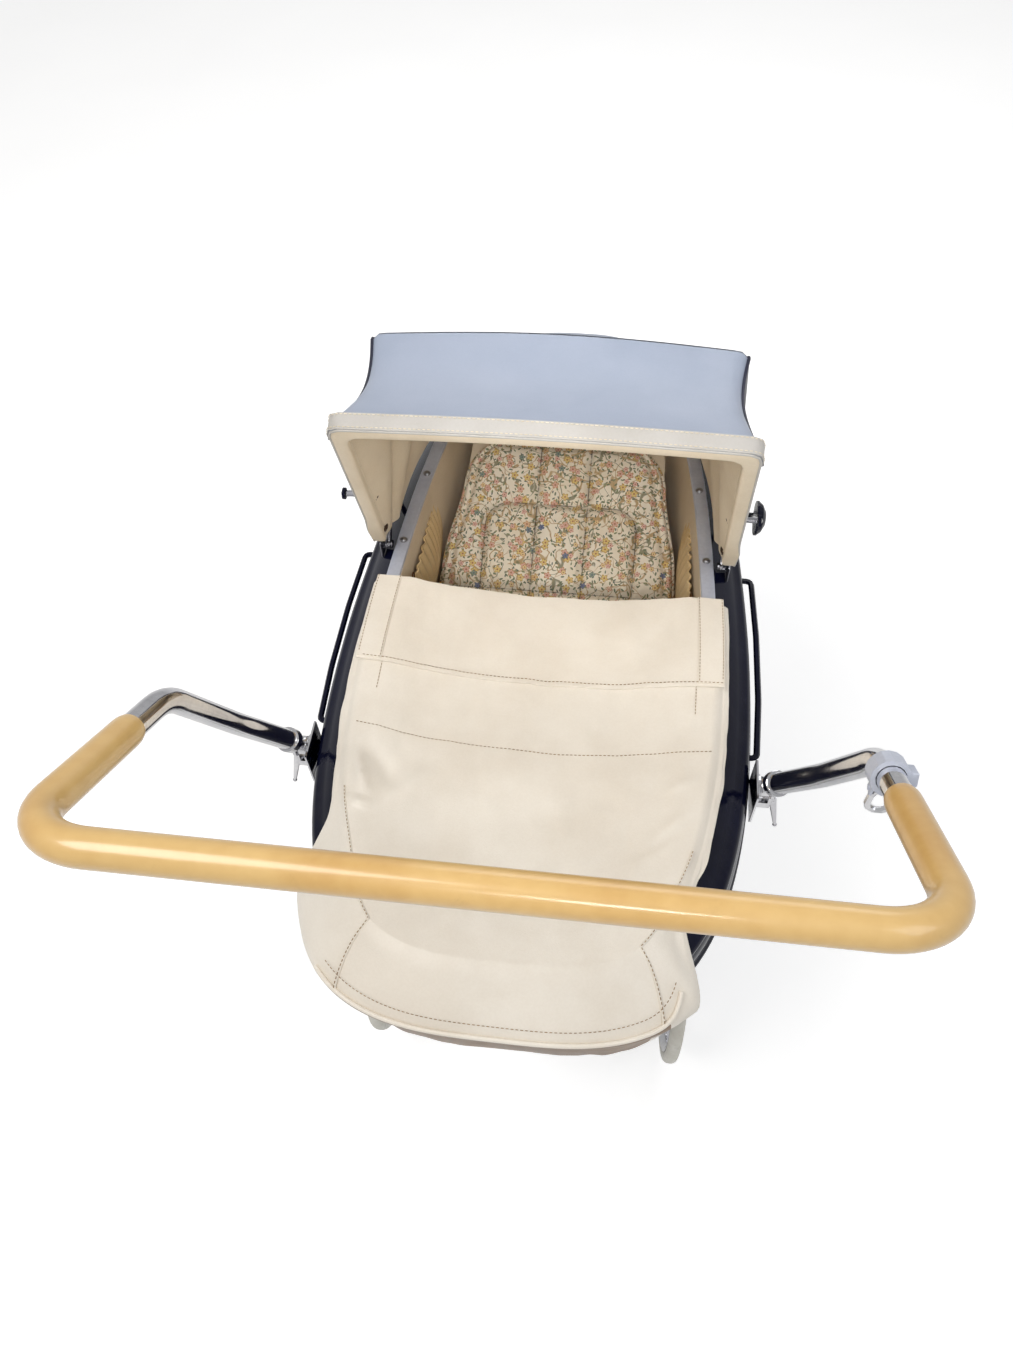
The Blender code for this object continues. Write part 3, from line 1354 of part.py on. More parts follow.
def clamp_and_hook(handle_axis, hook_axis):
    """The split clamp round the right arm, its screws, and the bag hook under it."""
    centre, along = clamp_frame()
    half = CLAMP_WIDTH / 2
    ring = rod("ring", centre - along * half, centre + along * half, CLAMP_RADIUS, 16)
    side_dir = Vector((1, 0, 0))
    up = side_dir.cross(along).normalized()
    lug = box("lug", (0.009, CLAMP_WIDTH * 0.9, 0.012), centre + side_dir * 0.0155,
              along.to_track_quat("Y", "Z").to_matrix().to_4x4(), bevel=0.001)
    pivot = hook_pivot()
    cheeks = []
    for shift in (-0.0052, 0.0052):
        cheeks.append(box("cheek", (0.0028, 0.010, 0.016),
                          pivot + Vector((shift, 0, 0.0040)), bevel=0.0006))
    pin = rod("pin", pivot - Vector((0.0075, 0, 0)), pivot + Vector((0.0075, 0, 0)), 0.0019, 10)
    screws = []
    for shift in (-0.0045, 0.0045):
        head = centre + side_dir * 0.0165 + along * shift + up * 0.0055
        screws.append(rod("screw", head, head + up * 0.0024, 0.0026, 8))
    clamp = joined("hook_clamp", [ring, lug] + cheeks + [pin] + screws)
    bore = rod("bore", centre - along * 0.03, centre + along * 0.03, HANDLE_TUBE + SEAT * 2, 16)
    place(cut_to_name("hook_clamp", clamp, bore), satin(), handle_axis)
    drop = pivot + Vector((0, 0, -0.0165))
    path = [pivot + Vector((0, 0, -0.003)), pivot + Vector((-0.0020, 0, -0.010))]
    for step in range(6):
        turn = math.radians(180 + 36 * step)
        path.append(drop + Vector((0.0085 + 0.0105 * math.cos(turn), 0,
                                   -0.006 + 0.0115 * math.sin(turn))))
    ball_at = path[-1]
    stem = wire("stem", path, HOOK_WIRE, 2)
    eye = rod("eye", pivot - Vector((0.0032, 0, 0)), pivot + Vector((0.0032, 0, 0)), 0.0050, 14)
    ball = turned("ball", [(HOOK_BALL * math.sin(math.radians(turn)),
                            HOOK_BALL * math.cos(math.radians(turn)))
                           for turn in range(0, 181, 30)], ball_at, steps=12)
    hook = joined("bag_hook", [stem, eye, ball])
    bore = rod("bore", pivot - Vector((0.01, 0, 0)), pivot + Vector((0.01, 0, 0)),
               0.0019 + RUNNING, 10)
    hook = cut_or_join(hook, bore, "DIFFERENCE")
    hook.name = "bag_hook"
    place(hook, chrome(), hook_axis)


def hoop(name, profile, segments):
    """A ring about the X axis whose closed section is (radius, x), with a flat face below."""
    form = bmesh.new()
    rows = []
    for index in range(segments):
        turn = math.radians(-90) + 2 * math.pi * (index + 0.5) / segments
        rows.append([form.verts.new((x, radius * math.cos(turn), radius * math.sin(turn)))
                     for radius, x in profile])
    for here, beyond in zip(rows, rows[1:] + rows[:1]):
        for index in range(len(profile)):
            after = (index + 1) % len(profile)
            form.faces.new((here[index], here[after], beyond[after], beyond[index]))
    return object_from(name, form)


def tyre_blank():
    """A solid tyre with a flat tread and rounded shoulders, about its own centre."""
    corner = 1 / math.cos(math.pi / WHEEL_SEGMENTS)
    outer = WHEEL_RADIUS
    inner = outer - TYRE_DEEP
    section = [(outer, 0.0045), (outer, -0.0045), (outer - 0.0050, -TYRE_HALF),
               (inner, -0.0070), (inner, 0.0070), (outer - 0.0050, TYRE_HALF)]
    return hoop("tyre", [(radius * corner, x) for radius, x in section], WHEEL_SEGMENTS)


def wheel_blank():
    """Rim, crossed spokes, hub barrel with flanges, and the cap on its outer end."""
    corner = 1 / math.cos(math.pi / WHEEL_SEGMENTS)
    seat = WHEEL_RADIUS - TYRE_DEEP - SEAT
    felloe = [(seat, 0.0070), (seat, -0.0070), (seat - RIM_DEEP, -0.0045),
              (seat - RIM_DEEP, 0.0045)]
    rim = hoop("rim", [(radius * corner, x) for radius, x in felloe], WHEEL_SEGMENTS)
    bore = AXLE_RADIUS + RUNNING
    barrel = [(bore, HUB_HALF), (0.0100, HUB_HALF), (HUB_RADIUS, 0.0125), (HUB_RADIUS, 0.0085),
              (0.0100, 0.0), (HUB_RADIUS, -0.0085), (HUB_RADIUS, -0.0125), (0.0100, -HUB_HALF),
              (bore, -HUB_HALF)]
    spokes = []
    for index in range(SPOKES):
        turn = 2 * math.pi * (index + 0.5) / SPOKES
        out = Vector((0, math.cos(turn), math.sin(turn)))
        lean = Vector((0.0100 if index % 2 else -0.0100, 0, 0))
        spokes.append(rod("spoke", out * (HUB_RADIUS - 0.002) + lean,
                          out * (seat - RIM_DEEP + 0.002), SPOKE_RADIUS, 3))
    cap = ((0.0, 0.0080), (0.0060, 0.0070), (0.0092, 0.0040), (0.0096, -CAP_INSET),
           (0.0, -CAP_INSET))
    dome = turned("cap", cap, (0, 0, 0), steps=10)
    dome.data.transform(Matrix.Rotation(math.radians(90), 4, "Y"))
    dome.data.transform(Matrix.Translation(Vector((HUB_HALF, 0, 0))))
    body = grouped("wheel", [rim, hoop("barrel", barrel, 10)])
    body = cut_or_join(body, grouped("spokes", spokes), "UNION")
    return cut_or_join(body, dome, "UNION")


def wheels():
    """Four equal wheels: the left ones are turned so that their caps face outwards."""
    tyre = tyre_blank()
    wheel = wheel_blank()
    for y, end in zip(WHEEL_Y, ("handle_end", "hood_end")):
        for side, hand in ((-1, "left"), (1, "right")):
            name = end + "_" + hand
            centre = (side * WHEEL_TRACK, y, WHEEL_RADIUS)
            axis = axis_empty("wheel_axis_" + name, centre)
            for blank, kind, finish in ((tyre, "tyre_", rubber()), (wheel, "wheel_", chrome())):
                piece = bpy.data.objects.new(kind + name, blank.data)
                PARTS.objects.link(piece)
                piece.location = centre
                piece.rotation_euler = (0, 0, 0 if side > 0 else math.pi)
                place(piece, finish, axis)
    bpy.data.objects.remove(tyre, do_unlink=True)
    bpy.data.objects.remove(wheel, do_unlink=True)


def axles():
    """A round axle for each pair of wheels, with a collar inside each hub."""
    for y, name in zip(WHEEL_Y, ("handle_end", "hood_end")):
        reach = WHEEL_TRACK + HUB_HALF - CAP_INSET - SEAT * 2
        pieces = [rod("axle", (-reach, y, WHEEL_RADIUS), (reach, y, WHEEL_RADIUS),
                      AXLE_RADIUS, 14)]
        for side in (-1, 1):
            start = side * (WHEEL_TRACK - HUB_HALF - SEAT * 2)
            pieces.append(rod("collar", (start, y, WHEEL_RADIUS),
                              (start - side * 0.004, y, WHEEL_RADIUS), 0.0095, 10))
        place(joined("axle_" + name, pieces), chrome())


def chassis_frame():
    """Two side members with a block on each axle, two cross ties and the brake's lugs."""
    members = []
    first, last = WHEEL_Y
    for side in (-1, 1):
        x = side * FRAME_HALF
        path = rounded_path([(x, first, WHEEL_RADIUS + 0.006), (x, first + 0.050, FRAME_Z),
                             (x, last - 0.050, FRAME_Z), (x, last, WHEEL_RADIUS + 0.006)],
                            (0.03, 0.03), steps=2)
        pieces = [wire("member", path, FRAME_TUBE, 1)]
        for y in WHEEL_Y:
            pieces.append(box("block", (0.020, 0.026, 0.026), (x, y, WHEEL_RADIUS), bevel=0.002))
        pieces.append(box("lug", (0.006, 0.018, BRAKE_ROD[1] - FRAME_Z + 0.010),
                          (x, BRAKE_ROD[0], (BRAKE_ROD[1] + FRAME_Z + 0.010) / 2)))
        members += pieces
    for side in (-1, 1):
        for y in (first + 0.095, last - 0.095):
            members.append(box("spring_seat", (0.020, 0.044, 0.012),
                               (side * FRAME_HALF, y, FRAME_Z + FRAME_TUBE - 0.006), bevel=0.001))
    for y in (BRAKE_ROD[0] + 0.055, last - 0.075):
        members.append(rod("tie", (-FRAME_HALF, y, FRAME_Z), (FRAME_HALF, y, FRAME_Z), 0.0055, 10))
    frame = joined("chassis_frame", members)
    for y in WHEEL_Y:
        frame = cut_or_join(frame, rod("bore", (-0.2, y, WHEEL_RADIUS), (0.2, y, WHEEL_RADIUS),
                                       AXLE_RADIUS + SEAT, 14), "DIFFERENCE")
    frame = cut_or_join(frame, rod("bore", (-0.2, *BRAKE_ROD), (0.2, *BRAKE_ROD),
                                   BRAKE_ROD_RADIUS + RUNNING, 12), "DIFFERENCE")
    frame.name = "chassis_frame"
    place(frame, navy())


def spring_line(first):
    """Middle line of a C-spring in the (y, z) plane, from its seat on the frame to its eye."""
    axle = WHEEL_Y[0] if first else WHEEL_Y[1]
    inwards = 1 if first else -1
    seat_z = FRAME_Z + FRAME_TUBE + SEAT + SPRING_THICK / 2
    eye = Vector((axle + inwards * SPRING_EYE_IN, SPRING_EYE_Z))
    corners = [Vector((0, axle + inwards * 0.120, seat_z)),
               Vector((0, axle + inwards * 0.062, seat_z)),
               Vector((0, axle - inwards * 0.030, seat_z + 0.030)),
               Vector((0, axle - inwards * 0.030, SPRING_EYE_Z + 0.010)),
               Vector((0, eye.x - inwards * SPRING_EYE * 0.6, SPRING_EYE_Z + 0.004))]
    return rounded_path(corners, (0.060, 0.035, 0.030), steps=4), eye


def c_springs():
    """Four flat steel C-springs, each with a rolled eye at its upper end."""
    for side in (-1, 1):
        for first in (True, False):
            path, eye = spring_line(first)
            rings = []
            for index, spot in enumerate(path):
                before = path[max(0, index - 1)]
                after = path[min(len(path) - 1, index + 1)]
                along = (after - before).normalized()
                across = Vector((0, -along.z, along.y)) * SPRING_THICK / 2
                wide = Vector((SPRING_WIDTH / 2, 0, 0))
                middle = Vector((side * FRAME_HALF, spot.y, spot.z))
                rings.append([middle - wide - across, middle + wide - across,
                              middle + wide + across, middle - wide + across])
            leaf = loft("leaf", rings, cap_first=True, cap_last=True)
            x = side * FRAME_HALF
            inner = side * (STRAP_X - STRAP_WIDTH / 2 - SEAT * 2)
            roll = rod("roll", (x - SPRING_WIDTH / 2, *eye), (x + SPRING_WIDTH / 2, *eye),
                       SPRING_EYE, 10)
            pin = rod("pin", (x, *eye), (inner - side * 0.001, *eye), SPRING_PIN, 10)
            head = rod("head", (inner, *eye), (inner - side * 0.002, *eye), 0.0095, 10)
            name = "c_spring_" + ("handle_end" if first else "hood_end")
            name += "_right" if side > 0 else "_left"
            place(joined(name, [leaf, roll, pin, head]), chrome())


def suspension_straps():
    """Leather loops that hang the cradle from the springs' pins."""
    inner = SPRING_PIN + SEAT * 2
    for side, hand in ((-1, "_left"), (1, "_right")):
        for y, end in zip(strap_places(), ("handle_end", "hood_end")):
            section = []
            for radius in (inner, inner + STRAP_THICK):
                ring = []
                for step in range(12):
                    turn = 2 * math.pi * (step + 0.5) / 12
                    drop = 0.0 if math.sin(turn) > 0 else -STRAP_DROP
                    ring.append((y + radius * math.cos(turn),
                                 SPRING_EYE_Z + drop + radius * math.sin(turn)))
                section.append(ring)
            loop = flat_ring("strap_" + end + hand, section, side * STRAP_X, STRAP_WIDTH)
            place(loop, tan_leather())


def flat_ring(name, section, middle_x, width):
    """A ring cut from sheet: inner and outer outlines in (y, z), width along X."""
    form = bmesh.new()
    inner, outer = section
    loops = []
    for outline, x in ((inner, -width / 2), (outer, -width / 2), (outer, width / 2),
                       (inner, width / 2)):
        loops.append([form.verts.new((middle_x + x, y, z)) for y, z in outline])
    count = len(inner)
    for first, second in zip(loops, loops[1:] + loops[:1]):
        for here in range(count):
            after = (here + 1) % count
            form.faces.new((first[here], first[after], second[after], second[here]))
    return object_from(name, form)


def strap_places():
    return (WHEEL_Y[0] + SPRING_EYE_IN, WHEEL_Y[1] - SPRING_EYE_IN)


def keel_height(y):
    """Height of the hull's bottom at y."""
    share = (y - BODY_Y) / KEEL_HALF_LENGTH
    return RIM_Z + RIM_SHEER * share ** 2 - HULL_DEPTH * (1 - HULL_ROCKER * share ** 4)


def body_cradle():
    """Two runners under the hull, bent down to the cross tubes that hang in the straps."""
    first, last = strap_places()
    cross_z = SPRING_EYE_Z - STRAP_DROP - SPRING_PIN + CROSS_TUBE
    pieces = []
    for side in (-1, 1):
        x = side * CRADLE_HALF
        run = [Vector((x, first, cross_z))]
        for step in range(5):
            y = first + 0.030 + (last - first - 0.060) * step / 4
            run.append(Vector((x, y, keel_height(y) - CRADLE_TUBE - 0.0004)))
        run.append(Vector((x, last, cross_z)))
        pieces.append(wire("runner", run, CRADLE_TUBE, 1))
    end = STRAP_X + STRAP_WIDTH / 2 + SEAT * 2
    for y in (first, last):
        pieces.append(rod("cross", (-end - 0.001, y, cross_z), (end + 0.001, y, cross_z),
                          CROSS_TUBE, 14))
        for side in (-1, 1):
            pieces.append(rod("collar", (side * end, y, cross_z),
                              (side * (end + 0.002), y, cross_z), 0.0090, 14))
    place(joined("body_cradle", pieces), navy())


def brake(axis):
    """The brake rod with a shoe over each near wheel and a pedal in the middle."""
    y, z = BRAKE_ROD
    pieces = [rod("rod", (-WHEEL_TRACK - 0.008, y, z), (WHEEL_TRACK + 0.008, y, z),
                  BRAKE_ROD_RADIUS, 12)]
    hub = Vector((0, WHEEL_Y[0], WHEEL_RADIUS))
    towards = hub - Vector((0, y, z))
    rest = math.atan2(towards.z, towards.y) - math.radians(BRAKE_THROW)
    out = Vector((0, math.cos(rest), math.sin(rest)))
    for side in (-1, 1):
        x = side * WHEEL_TRACK
        start = Vector((x, y, z))
        end = start + out * (BRAKE_ARM - BRAKE_PAD / 2)
        turn = Matrix.Rotation(rest, 4, "X")
        pieces.append(box("arm", (0.010, BRAKE_ARM, 0.005), start.lerp(end, 0.5), turn))
        pieces.append(box("pad", (0.018, BRAKE_PAD, 0.026), end, turn, bevel=0.0008))
    pedal = Vector((0, y, z))
    drop = math.radians(186)
    reach = Vector((0, math.cos(drop), math.sin(drop))) * PEDAL_REACH
    pieces.append(rod("pedal_arm", pedal, pedal + reach, 0.0050, 10))
    pieces.append(box("pedal", (0.070, 0.024, 0.008), pedal + reach, bevel=0.002))
    place(joined("brake_bar", pieces), chrome(), axis)


def build():
    clear_scene()
    body_hull()
    rim_band()
    side_lining()
    floor_board()
    for side in (-1, 1):
        side_pocket(side)
    mattress()
    backrest_axis = axis_empty("backrest_axis", (0, *BACKREST_HINGE))
    backrest(backrest_axis)
    quilt(backrest_axis)
    backrest_prop(backrest_axis)
    apron()
    rear_axis = axis_empty("hood_rear_axis", (0, *HOOD_PIVOT))
    middle_axis = axis_empty("hood_middle_axis", (0, *HOOD_PIVOT), rear_axis)
    front_axis = axis_empty("hood_front_axis", (0, *HOOD_PIVOT), middle_axis)
    hood_brackets()
    hood_bow(2, "hood_bow_rear", rear_axis)
    hood_bow(1, "hood_bow_middle", middle_axis)
    hood_bow(0, "hood_bow_front", front_axis)
    hood_cloths(rear_axis, middle_axis, front_axis)
    for side, name in ((-1, "left"), (1, "right")):
        hood_stays(side, name)
    side_rails()
    handle_axis = axis_empty("handle_axis", (0, *HANDLE_PIVOT[1:]))
    handle(handle_axis)
    handle_brackets()
    for side, name in ((-1, "left"), (1, "right")):
        lever_axis = axis_empty("lock_lever_axis_" + name, (side * HANDLE_PIVOT[0], *LEVER_PIVOT))
        lock_lever(side, name, lever_axis)
    hook_axis = axis_empty("hook_axis", hook_pivot(), handle_axis)
    clamp_and_hook(handle_axis, hook_axis)
    axles()
    chassis_frame()
    c_springs()
    suspension_straps()
    body_cradle()
    brake_axis = axis_empty("brake_axis", (0, *BRAKE_ROD))
    brake(brake_axis)
    wheels()


build()
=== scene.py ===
"""Looks of the coach-built pram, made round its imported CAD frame.

Metres, +Z up, +X the pusher's right, +Y away from the pusher. The sizes are those of the CAD source,
apart from the handle's softer bends and a rim and axle bore that differ by under a millimetre.
"""
import math

import bmesh
import bpy
import numpy as np
from mathutils import Matrix, Vector, kdtree, noise

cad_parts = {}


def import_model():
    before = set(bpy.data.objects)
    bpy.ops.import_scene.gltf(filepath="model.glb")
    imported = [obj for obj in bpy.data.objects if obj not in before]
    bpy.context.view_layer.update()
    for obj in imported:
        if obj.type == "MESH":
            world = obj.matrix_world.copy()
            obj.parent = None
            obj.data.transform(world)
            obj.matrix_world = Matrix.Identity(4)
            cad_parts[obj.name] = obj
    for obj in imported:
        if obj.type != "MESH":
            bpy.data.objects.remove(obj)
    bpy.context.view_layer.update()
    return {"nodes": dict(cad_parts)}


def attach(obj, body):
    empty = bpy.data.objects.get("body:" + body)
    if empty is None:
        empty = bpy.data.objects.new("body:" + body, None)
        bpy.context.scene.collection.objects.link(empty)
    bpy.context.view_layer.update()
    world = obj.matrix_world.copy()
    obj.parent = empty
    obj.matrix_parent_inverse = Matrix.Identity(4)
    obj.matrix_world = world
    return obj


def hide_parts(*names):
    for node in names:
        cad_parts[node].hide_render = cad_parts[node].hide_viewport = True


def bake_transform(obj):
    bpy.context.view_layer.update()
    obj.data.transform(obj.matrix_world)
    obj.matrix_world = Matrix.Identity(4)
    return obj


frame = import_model()

SEAT = 0.0003            # between two pieces that rest on each other
BODY_Y = 0.021           # middle of the body
RIM_Z = 0.700            # top edge of the hull at the middle
RIM_HALF_WIDTH = 0.183
RIM_HALF_LENGTH = 0.430
RIM_SHEER = 0.016        # how far the rim rises towards each end
PLAN_POWER = 3.1         # 2 is an ellipse, more is squarer
HULL_DEPTH = 0.292
HULL_ROCKER = 0.12       # share of the depth lost at the ends
HULL_WALL = 0.004
BULGE_DEPTH = 0.062      # where the body is widest
BULGE_WIDTH = 0.049      # swell beyond the rim at the sides
BULGE_LENGTH = 0.030     # swell beyond the rim at the ends
KEEL_HALF_WIDTH = 0.105
KEEL_HALF_LENGTH = 0.290
BEAD_DEPTHS = (0.040, 0.078)
BEAD_HEIGHT = 0.0030
BEAD_HALF = 0.006
STUD_PLACES = (0.081, 0.190, 0.300)
HEAD_TAPER = 0.35        # how fast the body narrows towards the hood end
BAND_WIDTH = 0.0155
BAND_OVERHANG = 0.0040
BAND_THICK = 0.0045
BACKREST_HINGE = (0.030, 0.512)
BACKREST_ANGLE = 30.0
BACKREST_LENGTH = 0.315
BACKREST_HALF_WIDTH = 0.148
BACKREST_TAPER = 0.021   # lost from each half by its far end
BACKREST_THICK = 0.006
HEAD_ROUND = 0.055       # corner radius at the head of the board and its pad
QUILT_THICK = 0.026
QUILT_MARGIN = 0.006
APRON_TOP_EDGE = 0.022   # where its upper hem crosses the body
APRON_THICK = 0.0018
APRON_SAG = 0.018
APRON_TURN_DOWN = 0.006  # its edge beside the body
APRON_DROP = 0.205       # depth of its skirt at the foot end
APRON_CORNER_ANGLE = -60.0             # plan angle of the sewn corner
APRON_STANDOFF = 0.0046
HOOD_PIVOT = (0.078, 0.700)            # y and z of the bows' common axis
HOOD_ANGLES = (112.7, 82.8, 48.0)      # front, middle and rear bow above the rim line
HOOD_RADII = (0.309, 0.262, 0.224)
HOOD_TOP_HALF_WIDTH = (0.180, 0.174, 0.166)
HOOD_ARM_LAYERS = (0.1980, 0.1949, 0.1918)
HOOD_ARM_REACH = 0.066
HOOD_CORNER = 0.022
HOOD_FOOT = 0.028        # the cloth starts this far from the pivot
HOOD_CLOTH = 0.0016
HOOD_CLOTH_LIFT = 0.0074 # cloth's middle above a bow's middle
HOOD_SAG = 0.014
HOOD_SEAM = 0.0008       # from a bow's middle line to the edge of the panel beside it
BOW_WIRE = 0.0042
HANDLE_PIVOT = (0.2440, -0.176, 0.654)
HANDLE_BEND = (0.2870, -0.281, 0.899)
HANDLE_CORNER = (0.2930, -0.468, 1.017)
HANDLE_TUBE = 0.0110
HANDLE_GRIP = 0.0135
HANDLE_BEND_RADIUS = 0.072     # softer than in the CAD part, as a tube bends
HANDLE_NECK = 0.0305      # from the hinge to the start of the tube
HANDLE_SWAN = 0.22        # radius of the swan neck between the hinge and the bend
HINGE_EYE = (0.0055, 0.01025)   # half width and radius of the eye round the hinge pin
HANDLE_CORNER_RADIUS = 0.050
GRIP_START = 0.27        # share of the way from bend to corner


def superellipse(angle, half_width, half_length):
    """A point of the plan outline and its outward direction."""
    across = math.cos(angle)
    along = math.sin(angle)
    x = half_width * math.copysign(abs(across) ** (2 / PLAN_POWER), across)
    y = half_length * math.copysign(abs(along) ** (2 / PLAN_POWER), along)
    slope_x = math.copysign(abs(x / half_width) ** (PLAN_POWER - 1), x) / half_width
    slope_y = math.copysign(abs(y / half_length) ** (PLAN_POWER - 1), y) / half_length
    return Vector((x, y)), Vector((slope_x, slope_y)).normalized()


def plan_angles(count, dense=720, length_share=0.62):
    """Angles spaced by a mix of distance and turning, so corners get more points."""
    steps = [math.pi / 2 * index / dense for index in range(dense + 1)]
    steps[0] = 1e-9
    steps[-1] -= 1e-9
    shape = [superellipse(step, RIM_HALF_WIDTH, RIM_HALF_LENGTH) for step in steps]
    runs = [(second[0] - first[0]).length for first, second in zip(shape, shape[1:])]
    turns = [first[1].angle(second[1]) for first, second in zip(shape, shape[1:])]
    cost = [length_share * run / sum(runs) + (1 - length_share) * turn / sum(turns)
            for run, turn in zip(runs, turns)]
    each = count // 4
    quarter = []
    passed = 0.0
    for step, share in zip(steps[1:], cost):
        passed += share
        if len(quarter) < each and passed >= (len(quarter) + 0.5) / each:
            quarter.append(step)
    second = [math.pi - step for step in reversed(quarter)]
    third = [math.pi + step for step in quarter]
    fourth = [2 * math.pi - step for step in reversed(quarter)]
    return quarter + second + third + fourth


def head_taper(y):
    """The share of its width that the body keeps at y."""
    blend = 0.06
    return 1 - HEAD_TAPER * (math.hypot(y, blend) + y - blend) / 2


def body_half_sizes(depth):
    """Half width and half length of the hull at a depth below its rim."""
    wide = RIM_HALF_WIDTH + BULGE_WIDTH
    long = RIM_HALF_LENGTH + BULGE_LENGTH
    if depth <= BULGE_DEPTH:
        grow = math.sin(math.pi / 2 * depth / BULGE_DEPTH)
        return RIM_HALF_WIDTH + BULGE_WIDTH * grow, RIM_HALF_LENGTH + BULGE_LENGTH * grow
    fall = (depth - BULGE_DEPTH) / (HULL_DEPTH - BULGE_DEPTH)
    keep = (1 - min(fall, 1.0) ** 2.4) ** 0.7
    return (KEEL_HALF_WIDTH + (wide - KEEL_HALF_WIDTH) * keep,
            KEEL_HALF_LENGTH + (long - KEEL_HALF_LENGTH) * keep)


def hull_point(angle, depth, out=0.0):
    """A point on the hull's outer face, moved outwards in plan by out."""
    half_width, half_length = body_half_sizes(depth)
    place_2d, outward = superellipse(angle, half_width, half_length)
    share = place_2d.y / half_length
    place_2d.x *= head_taper(place_2d.y + BODY_Y)
    spot = place_2d + outward * out
    height = RIM_Z + RIM_SHEER * share ** 2 - depth * (1 - HULL_ROCKER * share ** 4)
    return Vector((spot.x, spot.y + BODY_Y, height))


def rim_angle(y, side):
    """The plan angle where the rim line passes a given y on one side."""
    share = (y - BODY_Y) / RIM_HALF_LENGTH
    along = math.copysign(abs(share) ** (PLAN_POWER / 2), share)
    angle = math.asin(max(-1.0, min(1.0, along)))
    return angle if side > 0 else math.pi - angle


def flat(point):
    return Vector((point.x, point.y, 0))


def backrest_frame():
    """Directions of the backrest: along its slope and square to its face."""
    tilt = math.radians(BACKREST_ANGLE)
    along = Vector((0, math.cos(tilt), math.sin(tilt)))
    face = Vector((0, -math.sin(tilt), math.cos(tilt)))
    return Vector((0, *BACKREST_HINGE)), along, face


def backrest_half(up):
    """Half the board's width at a distance from its hinge: it narrows with the body."""
    return BACKREST_HALF_WIDTH - BACKREST_TAPER * up / BACKREST_LENGTH


def quilt_limit(up, high):
    """Half the pad's width at a distance up the board, with rounded top corners."""
    limit = backrest_half(up) - QUILT_MARGIN
    over = up - (high - HEAD_ROUND)
    if over > 0:
        limit += math.sqrt(max(0.0, HEAD_ROUND ** 2 - over ** 2)) - HEAD_ROUND
    return limit


def smooth(value):
    value = max(0.0, min(1.0, value))
    return value * value * (3 - 2 * value)


def apron_edge(angle):
    """A point of the apron's upper edge line, just outside the rim band."""
    spot = hull_point(angle, 0.0, BAND_OVERHANG + SEAT)
    return spot + Vector((0, 0, BAND_THICK + SEAT * 2 + APRON_THICK / 2))


def bow_point(index, x, reach, turn=0.0, shift=0.0):
    """A point beside a bow's plane, at a distance from the hood's axis."""
    angle = math.radians(HOOD_ANGLES[index] + turn) + shift / max(reach, 0.01)
    return Vector((x, HOOD_PIVOT[0] + reach * math.cos(angle),
                   HOOD_PIVOT[1] + reach * math.sin(angle)))


def rounded_path(corners, radii, steps=5):
    """Corner points with each inner corner replaced by an arc of the given radius."""
    points = [Vector(corners[0])]
    for index in range(1, len(corners) - 1):
        before = Vector(corners[index - 1])
        here = Vector(corners[index])
        after = Vector(corners[index + 1])
        back = (before - here).normalized()
        ahead = (after - here).normalized()
        half = back.angle(ahead) / 2
        radius = radii[index - 1]
        reach = radius / math.tan(half)
        centre = here + (back + ahead).normalized() * (radius / math.sin(half))
        first = here + back * reach
        last = here + ahead * reach
        sweep = (first - centre).angle(last - centre)
        axis = (first - centre).cross(last - centre).normalized()
        for step in range(steps + 1):
            turn = Matrix.Rotation(sweep * step / steps, 3, axis)
            points.append(centre + turn @ (first - centre))
    points.append(Vector(corners[-1]))
    return points



# Materials


class Net:
    """A node tree that is being wired."""

    def __init__(self, tree):
        self.tree = tree

    def add(self, kind, inputs=None, **settings):
        node = self.tree.nodes.new(kind)
        for name, value in settings.items():
            setattr(node, name, value)
        for name, value in (inputs or {}).items():
            self.feed(node.inputs[name], value)
        return node

    def feed(self, socket, value):
        if isinstance(value, bpy.types.Node):
            value = value.outputs[0]
        if isinstance(value, bpy.types.NodeSocket):
            self.tree.links.new(value, socket)
        else:
            socket.default_value = value

    def math(self, operation, first, second=0.0, third=0.0):
        node = self.add("ShaderNodeMath", operation=operation)
        for socket, value in zip(node.inputs, (first, second, third)):
            self.feed(socket, value)
        return node.outputs[0]

    def vector(self, operation, first, second=(0.0, 0.0, 0.0)):
        node = self.add("ShaderNodeVectorMath", operation=operation)
        self.feed(node.inputs[0], first)
        self.feed(node.inputs[1], second)
        return node.outputs["Value" if operation in ("LENGTH", "DOT_PRODUCT") else "Vector"]

    def ramp(self, value, low, high, start=0.0, end=1.0):
        """value from low..high to start..end, held at the ends, with soft shoulders."""
        node = self.add("ShaderNodeMapRange", interpolation_type="SMOOTHSTEP")
        for name, number in (("Value", value), ("From Min", low), ("From Max", high),
                             ("To Min", start), ("To Max", end)):
            self.feed(node.inputs[name], number)
        return node.outputs[0]

    def mix(self, share, first, second):
        node = self.add("ShaderNodeMix", data_type="RGBA")
        self.feed(node.inputs[0], share)
        self.feed(node.inputs[6], first)
        self.feed(node.inputs[7], second)
        return node.outputs[2]

    def noise(self, where, scale, detail=3.0, roughness=0.5, distortion=0.0):
        return self.add("ShaderNodeTexNoise", {"Vector": where, "Scale": scale, "Detail": detail,
                                               "Roughness": roughness,
                                               "Distortion": distortion}).outputs[0]


